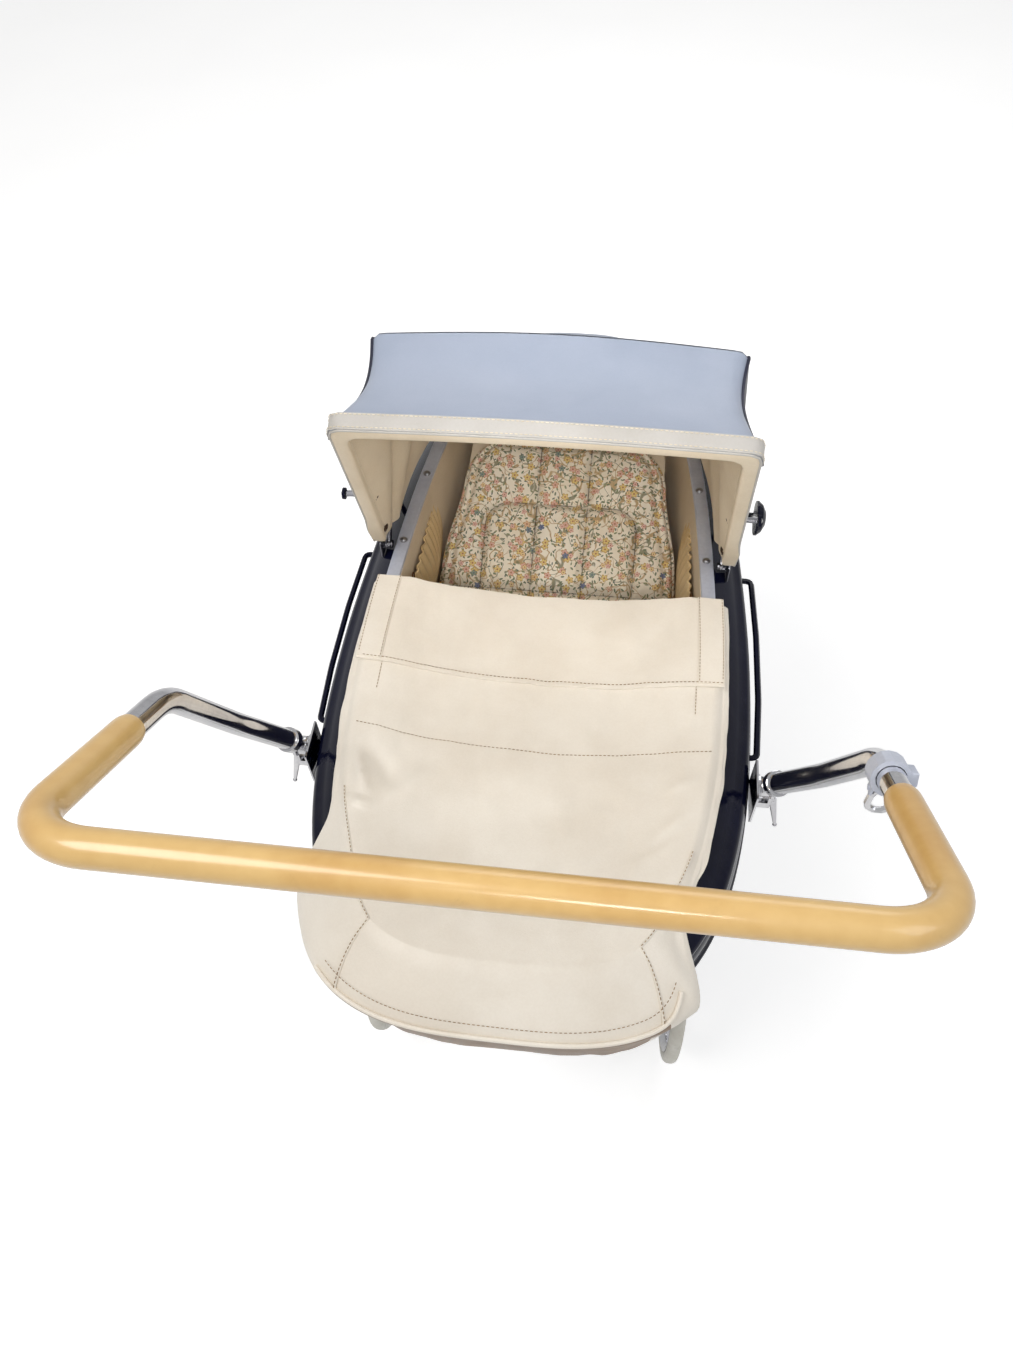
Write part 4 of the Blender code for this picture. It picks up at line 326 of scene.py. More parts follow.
def effect(name, inputs, outputs):
    """A new shader node group with named sockets; gives its net, its inputs and its output node."""
    tree = bpy.data.node_groups.new(name, "ShaderNodeTree")
    kinds = {"colour": "NodeSocketColor", "value": "NodeSocketFloat", "vector": "NodeSocketVector"}
    for label, kind, default in inputs:
        socket = tree.interface.new_socket(label, in_out="INPUT", socket_type=kinds[kind])
        socket.default_value = default
    for label, kind in outputs:
        tree.interface.new_socket(label, in_out="OUTPUT", socket_type=kinds[kind])
    net = Net(tree)
    return net, net.add("NodeGroupInput").outputs, net.add("NodeGroupOutput").inputs


def mottled_colour():
    """Two shades of one colour in soft patches, with a finer speckle inside them."""
    net, given, out = effect("mottled_colour",
                             [("Shade", "colour", (0.8, 0.8, 0.8, 1.0)),
                              ("Second Shade", "colour", (0.7, 0.7, 0.7, 1.0)),
                              ("Patch Scale", "value", 8.0), ("Fine Scale", "value", 120.0),
                              ("Fine Share", "value", 0.3)],
                             [("Colour", "colour"), ("Mask", "value")])
    where = net.add("ShaderNodeTexCoord").outputs["Object"]
    patch = net.ramp(net.noise(where, given["Patch Scale"], 4.0, 0.55), 0.36, 0.66)
    fine = net.ramp(net.noise(where, given["Fine Scale"], 2.0), 0.3, 0.7)
    mask = net.math("ADD", net.math("MULTIPLY", patch, net.math("SUBTRACT", 1.0, given["Fine Share"])),
                    net.math("MULTIPLY", fine, given["Fine Share"]))
    net.feed(out["Colour"], net.mix(mask, given["Shade"], given["Second Shade"]))
    net.feed(out["Mask"], mask)
    return net.tree


def settled_dust():
    """A mask of fine dust that lies on faces turned upwards."""
    net, given, out = effect("settled_dust", [("Amount", "value", 0.3), ("Scale", "value", 30.0)],
                             [("Dust", "value")])
    where = net.add("ShaderNodeTexCoord").outputs["Object"]
    up = net.add("ShaderNodeSeparateXYZ",
                 {0: net.add("ShaderNodeNewGeometry").outputs["Normal"]}).outputs["Z"]
    lies = net.ramp(up, 0.2, 0.95)
    cloud = net.ramp(net.noise(where, given["Scale"], 6.0, 0.65), 0.35, 0.75)
    net.feed(out["Dust"], net.math("MULTIPLY", net.math("MULTIPLY", lies, cloud), given["Amount"]))
    return net.tree


def leather_grain():
    """The height of a fine pebbled grain with a slight unevenness below it."""
    net, given, out = effect("leather_grain", [("Cell Scale", "value", 900.0),
                                               ("Wave Scale", "value", 30.0),
                                               ("Wave Share", "value", 0.4)],
                             [("Height", "value"), ("Cells", "value")])
    where = net.add("ShaderNodeTexCoord").outputs["Object"]
    cells = net.add("ShaderNodeTexVoronoi", {"Vector": where, "Scale": given["Cell Scale"]},
                    feature="SMOOTH_F1").outputs["Distance"]
    wave = net.noise(where, given["Wave Scale"], 4.0, 0.6)
    net.feed(out["Height"], net.math("ADD", net.math("MULTIPLY", cells, 0.5),
                                     net.math("MULTIPLY", wave, given["Wave Share"])))
    net.feed(out["Cells"], cells)
    return net.tree


def cloth_weave():
    """The height of a plain weave, laid along two directions of the given coordinates."""
    net, given, out = effect("cloth_weave", [("Vector", "vector", (0.0, 0.0, 0.0)),
                                             ("Threads", "value", 900.0)],
                             [("Height", "value")])
    turned = net.vector("SCALE", given["Vector"])
    net.feed(turned.node.inputs["Scale"], given["Threads"])
    parts = net.add("ShaderNodeSeparateXYZ", {0: turned}).outputs
    warp = net.math("SINE", net.math("MULTIPLY", parts["X"], math.pi))
    weft = net.math("SINE", net.math("MULTIPLY", parts["Y"], math.pi))
    height = net.math("ABSOLUTE", net.math("MULTIPLY", warp, weft))
    slub = net.noise(given["Vector"], 160.0, 3.0)
    net.feed(out["Height"], net.math("ADD", net.math("MULTIPLY", height, 0.6),
                                     net.math("MULTIPLY", slub, 0.4)))
    return net.tree


def rubbed_finish():
    """Roughness and height of a polished or brushed surface with smears and fine scratches."""
    net, given, out = effect("rubbed_finish",
                             [("Smooth", "value", 0.1), ("Dull", "value", 0.3),
                              ("Smear Scale", "value", 14.0),
                              ("Stretch", "vector", (1.0, 1.0, 1.0)),
                              ("Line Scale", "value", 300.0)],
                             [("Roughness", "value"), ("Height", "value"), ("Smears", "value")])
    where = net.add("ShaderNodeTexCoord").outputs["Object"]
    smears = net.ramp(net.noise(where, given["Smear Scale"], 5.0, 0.6, 0.6), 0.35, 0.75)
    lines = net.noise(net.vector("MULTIPLY", where, given["Stretch"]), given["Line Scale"], 2.0)
    share = net.math("ADD", net.math("MULTIPLY", smears, 0.7), net.math("MULTIPLY", lines, 0.3))
    width = net.math("SUBTRACT", given["Dull"], given["Smooth"])
    net.feed(out["Roughness"], net.math("MULTIPLY_ADD", share, width, given["Smooth"]))
    net.feed(out["Height"], lines)
    net.feed(out["Smears"], smears)
    return net.tree


MOTTLE = mottled_colour()
DUST = settled_dust()
GRAIN = leather_grain()
WEAVE = cloth_weave()
RUBBED = rubbed_finish()


def material(name, **sockets):
    """A node material; gives it with its net and its Principled shader, set to sockets."""
    made = bpy.data.materials.new(name)
    made.use_nodes = True
    net = Net(made.node_tree)
    shader = made.node_tree.nodes["Principled BSDF"]
    for label, value in sockets.items():
        net.feed(shader.inputs[label.replace("_", " ")], value)
    return made, net, shader


def placed(net, group, inputs):
    """A shared effect in a material, with its own values."""
    return net.add("ShaderNodeGroup", inputs, node_tree=group).outputs


def bumped(net, shader, height, depth, strength=1.0):
    """Sends a height in metres of depth to the shader's normal."""
    bump = net.add("ShaderNodeBump", {"Height": height, "Distance": depth, "Strength": strength})
    net.feed(shader.inputs["Normal"], bump)
    return bump


def shade(red, green, blue):
    """A colour as it shows on a screen, 0 to 255, as the shader's linear numbers."""
    parts = [part / 255 for part in (red, green, blue)]
    return tuple(part / 12.92 if part <= 0.04045 else ((part + 0.055) / 1.055) ** 2.4
                 for part in parts) + (1.0,)


def navy_enamel():
    made, net, shader = material("navy_enamel", Coat_Weight=0.20, Coat_Roughness=0.02,
                                 Specular_IOR_Level=0.08)
    paint = placed(net, MOTTLE, {"Shade": shade(7, 9, 28), "Second Shade": shade(11, 14, 38),
                                 "Patch Scale": 6.0})
    dust = placed(net, DUST, {"Amount": 0.02, "Scale": 45.0})
    rubbed = placed(net, RUBBED, {"Smooth": 0.05, "Dull": 0.16, "Smear Scale": 11.0})
    net.feed(shader.inputs["Base Color"], net.mix(dust["Dust"], paint["Colour"], shade(150, 146, 138)))
    net.feed(shader.inputs["Roughness"], rubbed["Roughness"])
    where = net.add("ShaderNodeTexCoord").outputs["Object"]
    bumped(net, shader, net.noise(where, 210.0, 2.0), 0.00006)
    return made


def bright_metal(name, light, dark, smooth_part, dull_part, stretch, depth, metallic=1.0):
    made, net, shader = material(name, Metallic=metallic)
    tone = placed(net, MOTTLE, {"Shade": light, "Second Shade": dark, "Patch Scale": 16.0,
                                "Fine Scale": 260.0})
    rubbed = placed(net, RUBBED, {"Smooth": smooth_part, "Dull": dull_part, "Stretch": stretch,
                                  "Smear Scale": 24.0})
    net.feed(shader.inputs["Base Color"], tone["Colour"])
    net.feed(shader.inputs["Roughness"], rubbed["Roughness"])
    bumped(net, shader, rubbed["Height"], depth)
    return made


def ivory_grip():
    made, net, shader = material("ivory_grip", Coat_Weight=0.8, Coat_Roughness=0.16)
    tone = placed(net, MOTTLE, {"Shade": shade(216, 180, 116), "Second Shade": shade(198, 156, 90),
                                "Patch Scale": 7.0, "Fine Scale": 90.0, "Fine Share": 0.2})
    rubbed = placed(net, RUBBED, {"Smooth": 0.30, "Dull": 0.48, "Smear Scale": 9.0})
    where = net.add("ShaderNodeTexCoord").outputs["Object"]
    grime = net.ramp(net.noise(where, 19.0, 6.0, 0.7, 0.5), 0.58, 0.80, 0.0, 0.45)
    net.feed(shader.inputs["Base Color"], net.mix(grime, tone["Colour"], shade(176, 138, 82)))
    net.feed(shader.inputs["Roughness"], rubbed["Roughness"])
    bumped(net, shader, net.noise(where, 330.0, 3.0), 0.00008)
    return made


def leathercloth(name, light, dark, dull=0.46, grain=0.00022, dirt=0.25):
    """Coated cloth: soft patches of two shades, fine pebbled grain and a little dirt."""
    made, net, shader = material(name, Sheen_Weight=0.08)
    tone = placed(net, MOTTLE, {"Shade": light, "Second Shade": dark, "Patch Scale": 9.0,
                                "Fine Scale": 420.0, "Fine Share": 0.22})
    cells = placed(net, GRAIN, {"Cell Scale": 1100.0, "Wave Scale": 38.0, "Wave Share": 0.9})
    dust = placed(net, DUST, {"Amount": dirt, "Scale": 14.0})
    rubbed = placed(net, RUBBED, {"Smooth": dull - 0.10, "Dull": dull + 0.12, "Smear Scale": 17.0})
    grey = tuple(0.72 * part for part in dark[:3]) + (1.0,)
    net.feed(shader.inputs["Base Color"], net.mix(dust["Dust"], tone["Colour"], grey))
    net.feed(shader.inputs["Roughness"], rubbed["Roughness"])
    bumped(net, shader, cells["Height"], grain)
    return made


def white_rubber():
    made, net, shader = material("white_rubber")
    tone = placed(net, MOTTLE, {"Shade": shade(214, 212, 204), "Second Shade": shade(196, 192, 180),
                                "Patch Scale": 22.0})
    where = net.add("ShaderNodeTexCoord").outputs["Object"]
    scuff = net.ramp(net.noise(where, 60.0, 6.0, 0.7), 0.55, 0.8, 0.0, 0.6)
    net.feed(shader.inputs["Base Color"], net.mix(scuff, tone["Colour"], shade(136, 130, 120)))
    net.feed(shader.inputs["Roughness"], net.math("MULTIPLY_ADD", scuff, 0.25, 0.55))
    bumped(net, shader, net.noise(where, 500.0, 4.0), 0.0002)
    return made


def plywood():
    made, net, shader = material("plywood")
    where = net.add("ShaderNodeTexCoord").outputs["Object"]
    fibres = net.noise(net.vector("MULTIPLY", where, (220.0, 7.0, 60.0)), 1.0, 5.0, 0.6, 0.4)
    bands = net.ramp(fibres, 0.3, 0.7)
    tone = net.mix(bands, shade(198, 160, 108), shade(150, 108, 62))
    plain = placed(net, MOTTLE, {"Shade": tone, "Second Shade": shade(170, 130, 82),
                                 "Patch Scale": 12.0, "Fine Share": 0.15})
    net.feed(shader.inputs["Base Color"], plain["Colour"])
    net.feed(shader.inputs["Roughness"], net.math("MULTIPLY_ADD", bands, 0.15, 0.50))
    bumped(net, shader, fibres, 0.0002)
    return made


SEWN_UP = (-0.096, -0.032, 0.032, 0.096)     # the quilt's seams, across and up from its board's foot
SEWN_ACROSS = (0.110, 0.222)
PANEL_CORNER = 0.030


def flower_layer(net, where, scale, seed_shift, size, petals, presence, slim=1.0):
    """A scatter of small flowers: masks of their petals, outlines and hearts, and a number each."""
    moved = net.vector("ADD", where, seed_shift)
    cells = net.add("ShaderNodeTexVoronoi", {"Vector": moved, "Scale": scale, "Randomness": 0.85},
                    voronoi_dimensions="2D")
    middle = cells.outputs["Position"]
    offset = net.vector("SCALE", net.vector("SUBTRACT", moved, middle))
    offset.node.inputs["Scale"].default_value = scale
    parts = net.add("ShaderNodeSeparateXYZ", {0: offset}).outputs
    draw = net.add("ShaderNodeSeparateColor", {0: cells.outputs["Color"]}).outputs
    turn = net.math("MULTIPLY", draw["Green"], 6.28)
    cosine, sine = net.math("COSINE", turn), net.math("SINE", turn)
    along = net.math("ADD", net.math("MULTIPLY", parts["X"], cosine), net.math("MULTIPLY", parts["Y"], sine))
    aside = net.math("SUBTRACT", net.math("MULTIPLY", parts["Y"], cosine),
                     net.math("MULTIPLY", parts["X"], sine))
    aside = net.math("DIVIDE", aside, slim)
    distance = net.math("POWER", net.math("ADD", net.math("MULTIPLY", along, along),
                                          net.math("MULTIPLY", aside, aside)), 0.5)
    lobes = net.math("ABSOLUTE", net.math("COSINE", net.math("MULTIPLY", net.math("ARCTAN2", aside, along),
                                                             petals / 2)))
    reach = net.math("MULTIPLY_ADD", lobes, 0.45 * size, 0.55 * size)
    shown = net.math("LESS_THAN", draw["Blue"], presence)
    mask = net.math("MULTIPLY", net.math("LESS_THAN", distance, reach), shown)
    core = net.math("MULTIPLY", net.math("LESS_THAN", distance, net.math("MULTIPLY", reach, 0.74)), shown)
    line = net.math("SUBTRACT", mask, core)
    heart = net.math("MULTIPLY", net.math("LESS_THAN", distance, 0.24 * size), shown)
    return mask, line, heart, draw["Red"]


def seam_lines_and_shade(net, where):
    """Dark narrow lines along the pad's seams, with a wider band of painted shade beside them, read from its
    own map.
    """
    parts = net.add("ShaderNodeSeparateXYZ", {0: where}).outputs
    across = net.math("SUBTRACT", parts["X"], 0.5)
    wide = net.math("ABSOLUTE", across)
    half, top, corner = SEWN_UP[3], SEWN_ACROSS[1], PANEL_CORNER
    off_x = net.math("SUBTRACT", wide, half - corner)
    off_y = net.math("SUBTRACT", parts["Y"], top - corner)
    out_x, out_y = net.math("MAXIMUM", off_x, 0.0), net.math("MAXIMUM", off_y, 0.0)
    round_part = net.math("POWER", net.math("ADD", net.math("MULTIPLY", out_x, out_x),
                                            net.math("MULTIPLY", out_y, out_y)), 0.5)
    inward = net.math("MINIMUM", net.math("MAXIMUM", off_x, off_y), 0.0)
    panel = net.math("ABSOLUTE", net.math("SUBTRACT", net.math("ADD", round_part, inward), corner))
    uprights = net.math("ABSOLUTE", net.math("SUBTRACT", wide, SEWN_UP[2]))
    level = net.math("ABSOLUTE", net.math("SUBTRACT", parts["Y"], SEWN_ACROSS[0]))
    near = net.math("MINIMUM", net.math("MINIMUM", panel, uprights), level)
    sharp = net.ramp(near, 0.0004, 0.0013, 0.80, 0.0)
    # A wider faint band of painted shade beside each seam, where the stuffed channels dip.
    soft = net.ramp(near, 0.0008, 0.0048, 0.22, 0.0)
    uneven = net.ramp(net.noise(where, 110.0, 2.0), 0.38, 0.60, 0.45, 1.0)
    return net.math("MULTIPLY", net.math("MAXIMUM", sharp, soft), uneven)


def quilted_cotton():
    """Cream cotton with a generic print of small flowers, leaves and twigs, laid by the pad's own map."""
    made, net, shader = material("quilted_cotton", Sheen_Weight=0.15)
    where = net.add("ShaderNodeUVMap", uv_map="cloth").outputs[0]
    ground = placed(net, MOTTLE, {"Shade": shade(250, 242, 226), "Second Shade": shade(241, 230, 209),
                                  "Patch Scale": 14.0})["Colour"]
    bend = net.noise(where, 38.0, 2.0)
    colour = ground
    twigs = (((0.31, 0.77, 0.0), shade(176, 138, 78)), ((3.1, 1.7, 0.0), shade(112, 112, 78)),
             ((5.6, 4.2, 0.0), shade(186, 152, 96)))
    for shift, tone in twigs:
        line = net.noise(net.vector("ADD", where, shift), 40.0, 1.0, 0.4, 0.8)
        thin = net.ramp(net.math("ABSOLUTE", net.math("SUBTRACT", line, 0.5)), 0.008, 0.020, 0.85, 0.0)
        broken = net.ramp(net.noise(net.vector("ADD", where, shift), 60.0, 1.0), 0.40, 0.46)
        colour = net.mix(net.math("MULTIPLY", thin, broken), colour, tone)
    leaves = ((118.0, (1.3, 4.1, 0.0), 0.34, 0.66, shade(98, 116, 84), shade(134, 140, 98), 0.42),
              (140.0, (7.9, 2.2, 0.0), 0.32, 0.50, shade(74, 92, 80), shade(112, 116, 82), 0.40),
              (128.0, (4.4, 9.1, 0.0), 0.32, 0.36, shade(88, 106, 86), shade(126, 134, 96), 0.38))
    for scale, shift, size, presence, tone, second, slim in leaves:
        mask, _, _, draw = flower_layer(net, where, scale, shift, size, 1, presence, slim)
        colour = net.mix(mask, colour, net.mix(net.ramp(draw, 0.4, 0.6), tone, second))
    blooms = ((66.0, (2.7, 8.3, 0.0), 0.33, 5, 0.62, shade(230, 204, 128), shade(226, 176, 160),
               shade(176, 112, 74), shade(186, 140, 66)),
              (80.0, (5.1, 0.6, 0.0), 0.28, 5, 0.38, shade(232, 190, 174), shade(236, 216, 152),
               shade(172, 96, 84), shade(190, 112, 92)),
              (40.0, (9.4, 6.6, 0.0), 0.17, 5, 0.16, shade(96, 112, 156), shade(132, 152, 128),
               shade(70, 84, 122), shade(74, 92, 110)))
    for scale, shift, size, petals, presence, tone, second, middle, rim in blooms:
        mask, line, heart, draw = flower_layer(net, where, scale, shift, size, petals, presence)
        colour = net.mix(mask, colour, net.mix(net.ramp(draw, 0.45, 0.55), tone, second))
        colour = net.mix(net.math("MULTIPLY", line, 0.75), colour, rim)
        colour = net.mix(heart, colour, middle)
    faded = net.mix(net.math("MULTIPLY", bend, 0.20), colour, shade(228, 214, 190))
    # Seams drawn darker, with painted shade beside them.
    sewn = net.mix(seam_lines_and_shade(net, where), faded, shade(58, 46, 36))
    net.feed(shader.inputs["Base Color"], sewn)
    net.feed(shader.inputs["Roughness"], net.math("MULTIPLY_ADD", bend, 0.12, 0.80))
    weave = placed(net, WEAVE, {"Vector": where, "Threads": 1400.0})
    bumped(net, shader, weave["Height"], 0.00025)
    return made


def plain_thread(name, light, dark):
    made, net, shader = material(name, Sheen_Weight=0.1)
    tone = placed(net, MOTTLE, {"Shade": light, "Second Shade": dark, "Patch Scale": 40.0,
                                "Fine Scale": 900.0})
    net.feed(shader.inputs["Base Color"], tone["Colour"])
    net.feed(shader.inputs["Roughness"], net.math("MULTIPLY_ADD", tone["Mask"], 0.15, 0.65))
    where = net.add("ShaderNodeTexCoord").outputs["Object"]
    bumped(net, shader, net.noise(where, 2500.0, 2.0), 0.0001)
    return made


ALONG = (1.0, 1.0, 1.0)
FINISH = {
    "navy": navy_enamel(),
    "chrome": bright_metal("chrome_plate", shade(226, 226, 228), shade(198, 198, 203),
                           0.06, 0.17, ALONG, 0.00002),
    "steel": bright_metal("dull_steel", shade(170, 170, 176), shade(142, 142, 148),
                          0.24, 0.46, ALONG, 0.00005),
    "dark_metal": bright_metal("dark_metal", shade(92, 74, 62), shade(64, 52, 46),
                               0.30, 0.50, ALONG, 0.00005),
    "satin": bright_metal("satin_aluminium", shade(198, 203, 216), shade(178, 183, 198),
                          0.34, 0.50, (1.0, 0.06, 1.0), 0.00005, 0.25),
    "tan_wire": bright_metal("brown_wire", shade(120, 84, 48), shade(88, 62, 38), 0.30, 0.50, ALONG,
                             0.00003),
    "ivory": ivory_grip(),
    "apron": leathercloth("cream_leathercloth", shade(238, 231, 219), shade(228, 219, 205), 0.38,
                          dirt=0.08),
    # Off-white hood cloth in painted sky shade: its blue-grey cast and darkening stand in for light.
    "hood_top": leathercloth("pale_hood_cloth", shade(158, 167, 185), shade(148, 158, 177), dirt=0.08),
    "hood_band": leathercloth("hood_band_cloth", shade(184, 181, 177), shade(172, 168, 162), dirt=0.05),
    # The skirt's turned-under part: the apron's own cream cloth in painted shade, as it faces down.
    "tuck_painted_shade": leathercloth("apron_cloth_painted_shade", shade(150, 124, 98), shade(122, 98, 76), dirt=0.1),
    "hood_side": leathercloth("navy_hood_cloth", shade(24, 27, 52), shade(16, 18, 40), 0.40,
                              dirt=0.05),
    "hood_inside": leathercloth("hood_lining_cloth", shade(226, 212, 188), shade(212, 196, 170), 0.55,
                                dirt=0.05),
    "lining": leathercloth("lining_cloth", shade(226, 209, 182), shade(213, 194, 165), 0.55, dirt=0.05),
    "pocket": leathercloth("pocket_cloth", shade(222, 196, 150), shade(204, 174, 124), 0.55, dirt=0.05),
    "quilt": quilted_cotton(),
    "rubber": white_rubber(),
    "plywood": plywood(),
    "tan": leathercloth("tan_leather", shade(132, 90, 54), shade(104, 68, 40), 0.50, 0.0004),
    "thread": plain_thread("sewing_thread", shade(158, 128, 86), shade(126, 98, 62)),
    "pale_thread": plain_thread("pale_thread", shade(226, 216, 196), shade(206, 194, 170)),
}


# Mesh tools


def mesh_object(name, points, faces, finishes, face_finish=None, round_angle=50.0):
    """A mesh object with its finishes and smooth faces, sharp where faces turn by more than the angle."""
    mesh = bpy.data.meshes.new(name)
    mesh.from_pydata([tuple(point) for point in points], [], faces)
    made = bpy.data.objects.new(name, mesh)
    bpy.context.scene.collection.objects.link(made)
    for finish in finishes:
        mesh.materials.append(FINISH[finish])
    if face_finish:
        mesh.polygons.foreach_set("material_index", face_finish)
    tidy_mesh(made, round_angle)
    return made


def tidy_mesh(obj, round_angle=50.0):
    form = bmesh.new()
    form.from_mesh(obj.data)
    bmesh.ops.remove_doubles(form, verts=form.verts, dist=1e-6)
    bmesh.ops.recalc_face_normals(form, faces=form.faces[:])
    limit = math.radians(round_angle)
    for face in form.faces:
        face.smooth = True
    for edge in form.edges:
        edge.smooth = not (edge.is_manifold and edge.calc_face_angle(0.0) > limit)
    form.to_mesh(obj.data)
    form.free()


def baked(obj):
    """Applies the object's modifiers."""
    shown = obj.evaluated_get(bpy.context.evaluated_depsgraph_get())
    obj.data = bpy.data.meshes.new_from_object(shown)
    obj.modifiers.clear()
    return obj


def grid_faces(rows, columns, around=False):
    """Quads of a grid of points numbered row by row; around joins the last column to the first."""
    faces = []
    for row in range(rows - 1):
        for column in range(columns if around else columns - 1):
            after = (column + 1) % columns
            faces.append((row * columns + column, row * columns + after,
                          (row + 1) * columns + after, (row + 1) * columns + column))
    return faces


def cut_size(rows):
    """Greatest width and length, and area, measured along the grid that a sheet is built from."""
    grid = np.array([[tuple(spot) for spot in row] for row in rows])
    across = np.linalg.norm(np.diff(grid, axis=1), axis=2).sum(axis=1).max()
    along = np.linalg.norm(np.diff(grid, axis=0), axis=2).sum(axis=0).max()
    first = np.cross(grid[1:, :-1] - grid[:-1, :-1], grid[:-1, 1:] - grid[:-1, :-1])
    second = np.cross(grid[1:, :-1] - grid[1:, 1:], grid[:-1, 1:] - grid[1:, 1:])
    area = (np.linalg.norm(first, axis=2).sum() + np.linalg.norm(second, axis=2).sum()) / 2
    return float(across), float(along), float(area)


def as_sheet(rows):
    across, along, area = cut_size(rows)
    area = min(area, across * along)


def cloth(name, rows, thick, finishes, face_finish=None, body="root"):
    """A sheet through a grid of points, given its thickness half to each side."""
    columns = len(rows[0])
    points = [point for row in rows for point in row]
    made = mesh_object(name, points, grid_faces(len(rows), columns), finishes, face_finish)
    wall = made.modifiers.new("wall", "SOLIDIFY")
    wall.thickness = thick
    wall.offset = 0.0
    baked(made)
    tidy_mesh(made, 65.0)
    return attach(made, body) if body else made


def resampled(line, count):
    """The same line on a number of points at even spacing."""
    line = [Vector(point) for point in line]
    runs = [0.0]
    for first, second in zip(line, line[1:]):
        runs.append(runs[-1] + (second - first).length)
    made = []
    index = 0
    for step in range(count):
        goal = runs[-1] * step / (count - 1)
        while index < len(runs) - 2 and runs[index + 1] < goal:
            index += 1
        span = max(1e-9, runs[index + 1] - runs[index])
        made.append(line[index].lerp(line[index + 1], max(0.0, min(1.0, (goal - runs[index]) / span))))
    return made


def tube(name, path, radius, finish, sides=12, body="root", closed=False, flat=1.0):
    """A tube along a path; radius is one number or one for each point."""
    path = [Vector(point) for point in path]
    count = len(path)
    radii = radius if isinstance(radius, (list, tuple)) else [radius] * count
    rings = []
    frame_up = None
    for index, spot in enumerate(path):
        if closed:
            along = path[(index + 1) % count] - path[index - 1]
        else:
            along = path[min(count - 1, index + 1)] - path[max(0, index - 1)]
        along.normalize()
        if frame_up is None:
            frame_up = along.orthogonal().normalized()
        frame_up = (frame_up - along * frame_up.dot(along)).normalized()
        across = along.cross(frame_up)
        for side in range(sides):
            turn = 2 * math.pi * side / sides
            rings.append(spot + (frame_up * math.cos(turn) + across * math.sin(turn) * flat) * radii[index])
    faces = grid_faces(count, sides, around=True)
    if closed:
        last = (count - 1) * sides
        faces += [(last + side, last + (side + 1) % sides, (side + 1) % sides, side)
                  for side in range(sides)]
    else:
        faces.append(tuple(reversed(range(sides))))
        faces.append(tuple(range((count - 1) * sides, count * sides)))
    made = mesh_object(name, rings, faces, [finish])
    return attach(made, body) if body else made


def stitch_parts(path, pitch=0.0042, share=0.66, radius=0.00042):
    """Points and faces of a row of thread stitches along a path: short rounded dashes."""
    path = [Vector(point) for point in path]
    runs = [0.0]
    for first, second in zip(path, path[1:]):
        runs.append(runs[-1] + (second - first).length)

    def at(goal):
        index = 0
        while index < len(runs) - 2 and runs[index + 1] < goal:
            index += 1
        span = max(1e-9, runs[index + 1] - runs[index])
        return path[index].lerp(path[index + 1], (goal - runs[index]) / span)

    points, faces = [], []
    for number in range(int(runs[-1] / pitch)):
        start, end = at(number * pitch), at(number * pitch + pitch * share)
        along = end - start
        if along.length < 1e-6:
            continue
        side = along.orthogonal().normalized()
        other = along.normalized().cross(side)
        base = len(points)
        for step, wide in ((0.0, 0.35), (0.15, 0.9), (0.5, 1.0), (0.85, 0.9), (1.0, 0.35)):
            for turn in range(6):
                angle = math.pi * turn / 3
                points.append(start + along * step
                              + (side * math.cos(angle) + other * math.sin(angle)) * radius * wide)
        faces += [tuple(base + index for index in face) for face in grid_faces(5, 6, around=True)]
        faces.append(tuple(base + index for index in reversed(range(6))))
        faces.append(tuple(base + 24 + index for index in range(6)))
    return points, faces


def stitches(name, paths, finish="thread", body="root", slot="cream_leathercloth", **looks):
    """Rows of stitches along several paths, as one piece."""
    points, faces = [], []
    for path in paths:
        more, cells = stitch_parts(path, **looks)
        faces += [tuple(len(points) + index for index in cell) for cell in cells]
        points += more
    made = mesh_object(name, points, faces, [finish])
    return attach(made, body) if body else made


# Finishes of the carried-over nodes


NODE_FINISHES = (
    ("body_hull", "navy"), ("rim_band", "satin"), ("side_lining", "lining"), ("floor_board", "plywood"),
    ("backrest_board", "plywood"), ("backrest_hinge", "steel"), ("backrest_prop", "steel"),
    ("hood_bow", "steel"), ("hood_bracket", "steel"), ("handle_bracket", "chrome"),
    ("stay_lower", "navy"), ("stay_upper", "navy"), ("stay_knob", "navy"), ("stay_boss", "chrome"),
    ("side_rail", "navy"), ("chassis_frame", "navy"), ("body_cradle", "navy"), ("c_spring", "chrome"),
    ("axle", "steel"), ("strap", "tan"), ("lock_lever", "chrome"), ("handle_tube", "chrome"),
    ("handle_grip", "ivory"), ("hook_clamp", "satin"), ("bag_hook", "chrome"), ("brake_bar", "chrome"),
    ("wheel", "chrome"), ("tyre", "rubber"), ("pocket", "lining"), ("mattress", "lining"),
    ("apron", "apron"), ("quilt_pad", "lining"), ("hood_panel", "hood_top"),
)


def finish_nodes():
    for name, node in frame["nodes"].items():
        finish = next(finish for start, finish in NODE_FINISHES if name.startswith(start))
        if not node.material_slots:
            node.data.materials.append(FINISH[finish])
        for place in node.material_slots:
            place.link = "OBJECT"
            place.material = FINISH[finish]


finish_nodes()


# Apron


APRON_START = rim_angle(APRON_TOP_EDGE, 1)
APRON_CORNER = math.radians(APRON_CORNER_ANGLE)


def ripple(x, y, across, along, seed=0.0):
    """Soft uneven folds, longer in one direction than in the other."""
    return noise.fractal(Vector((x / across, y / along, seed)), 0.9, 2.0, 3)


def ridge(x, y, start, end, width, height):
    """A crease between two points of the plan, highest in its middle."""
    run = Vector((end[0] - start[0], end[1] - start[1]))
    share = ((x - start[0]) * run.x + (y - start[1]) * run.y) / run.length_squared
    off = abs((x - start[0]) * run.y - (y - start[1]) * run.x) / run.length
    if not 0 < share < 1:
        return 0.0
    return height * math.sin(math.pi * share) * math.exp(-(off / width) ** 2)


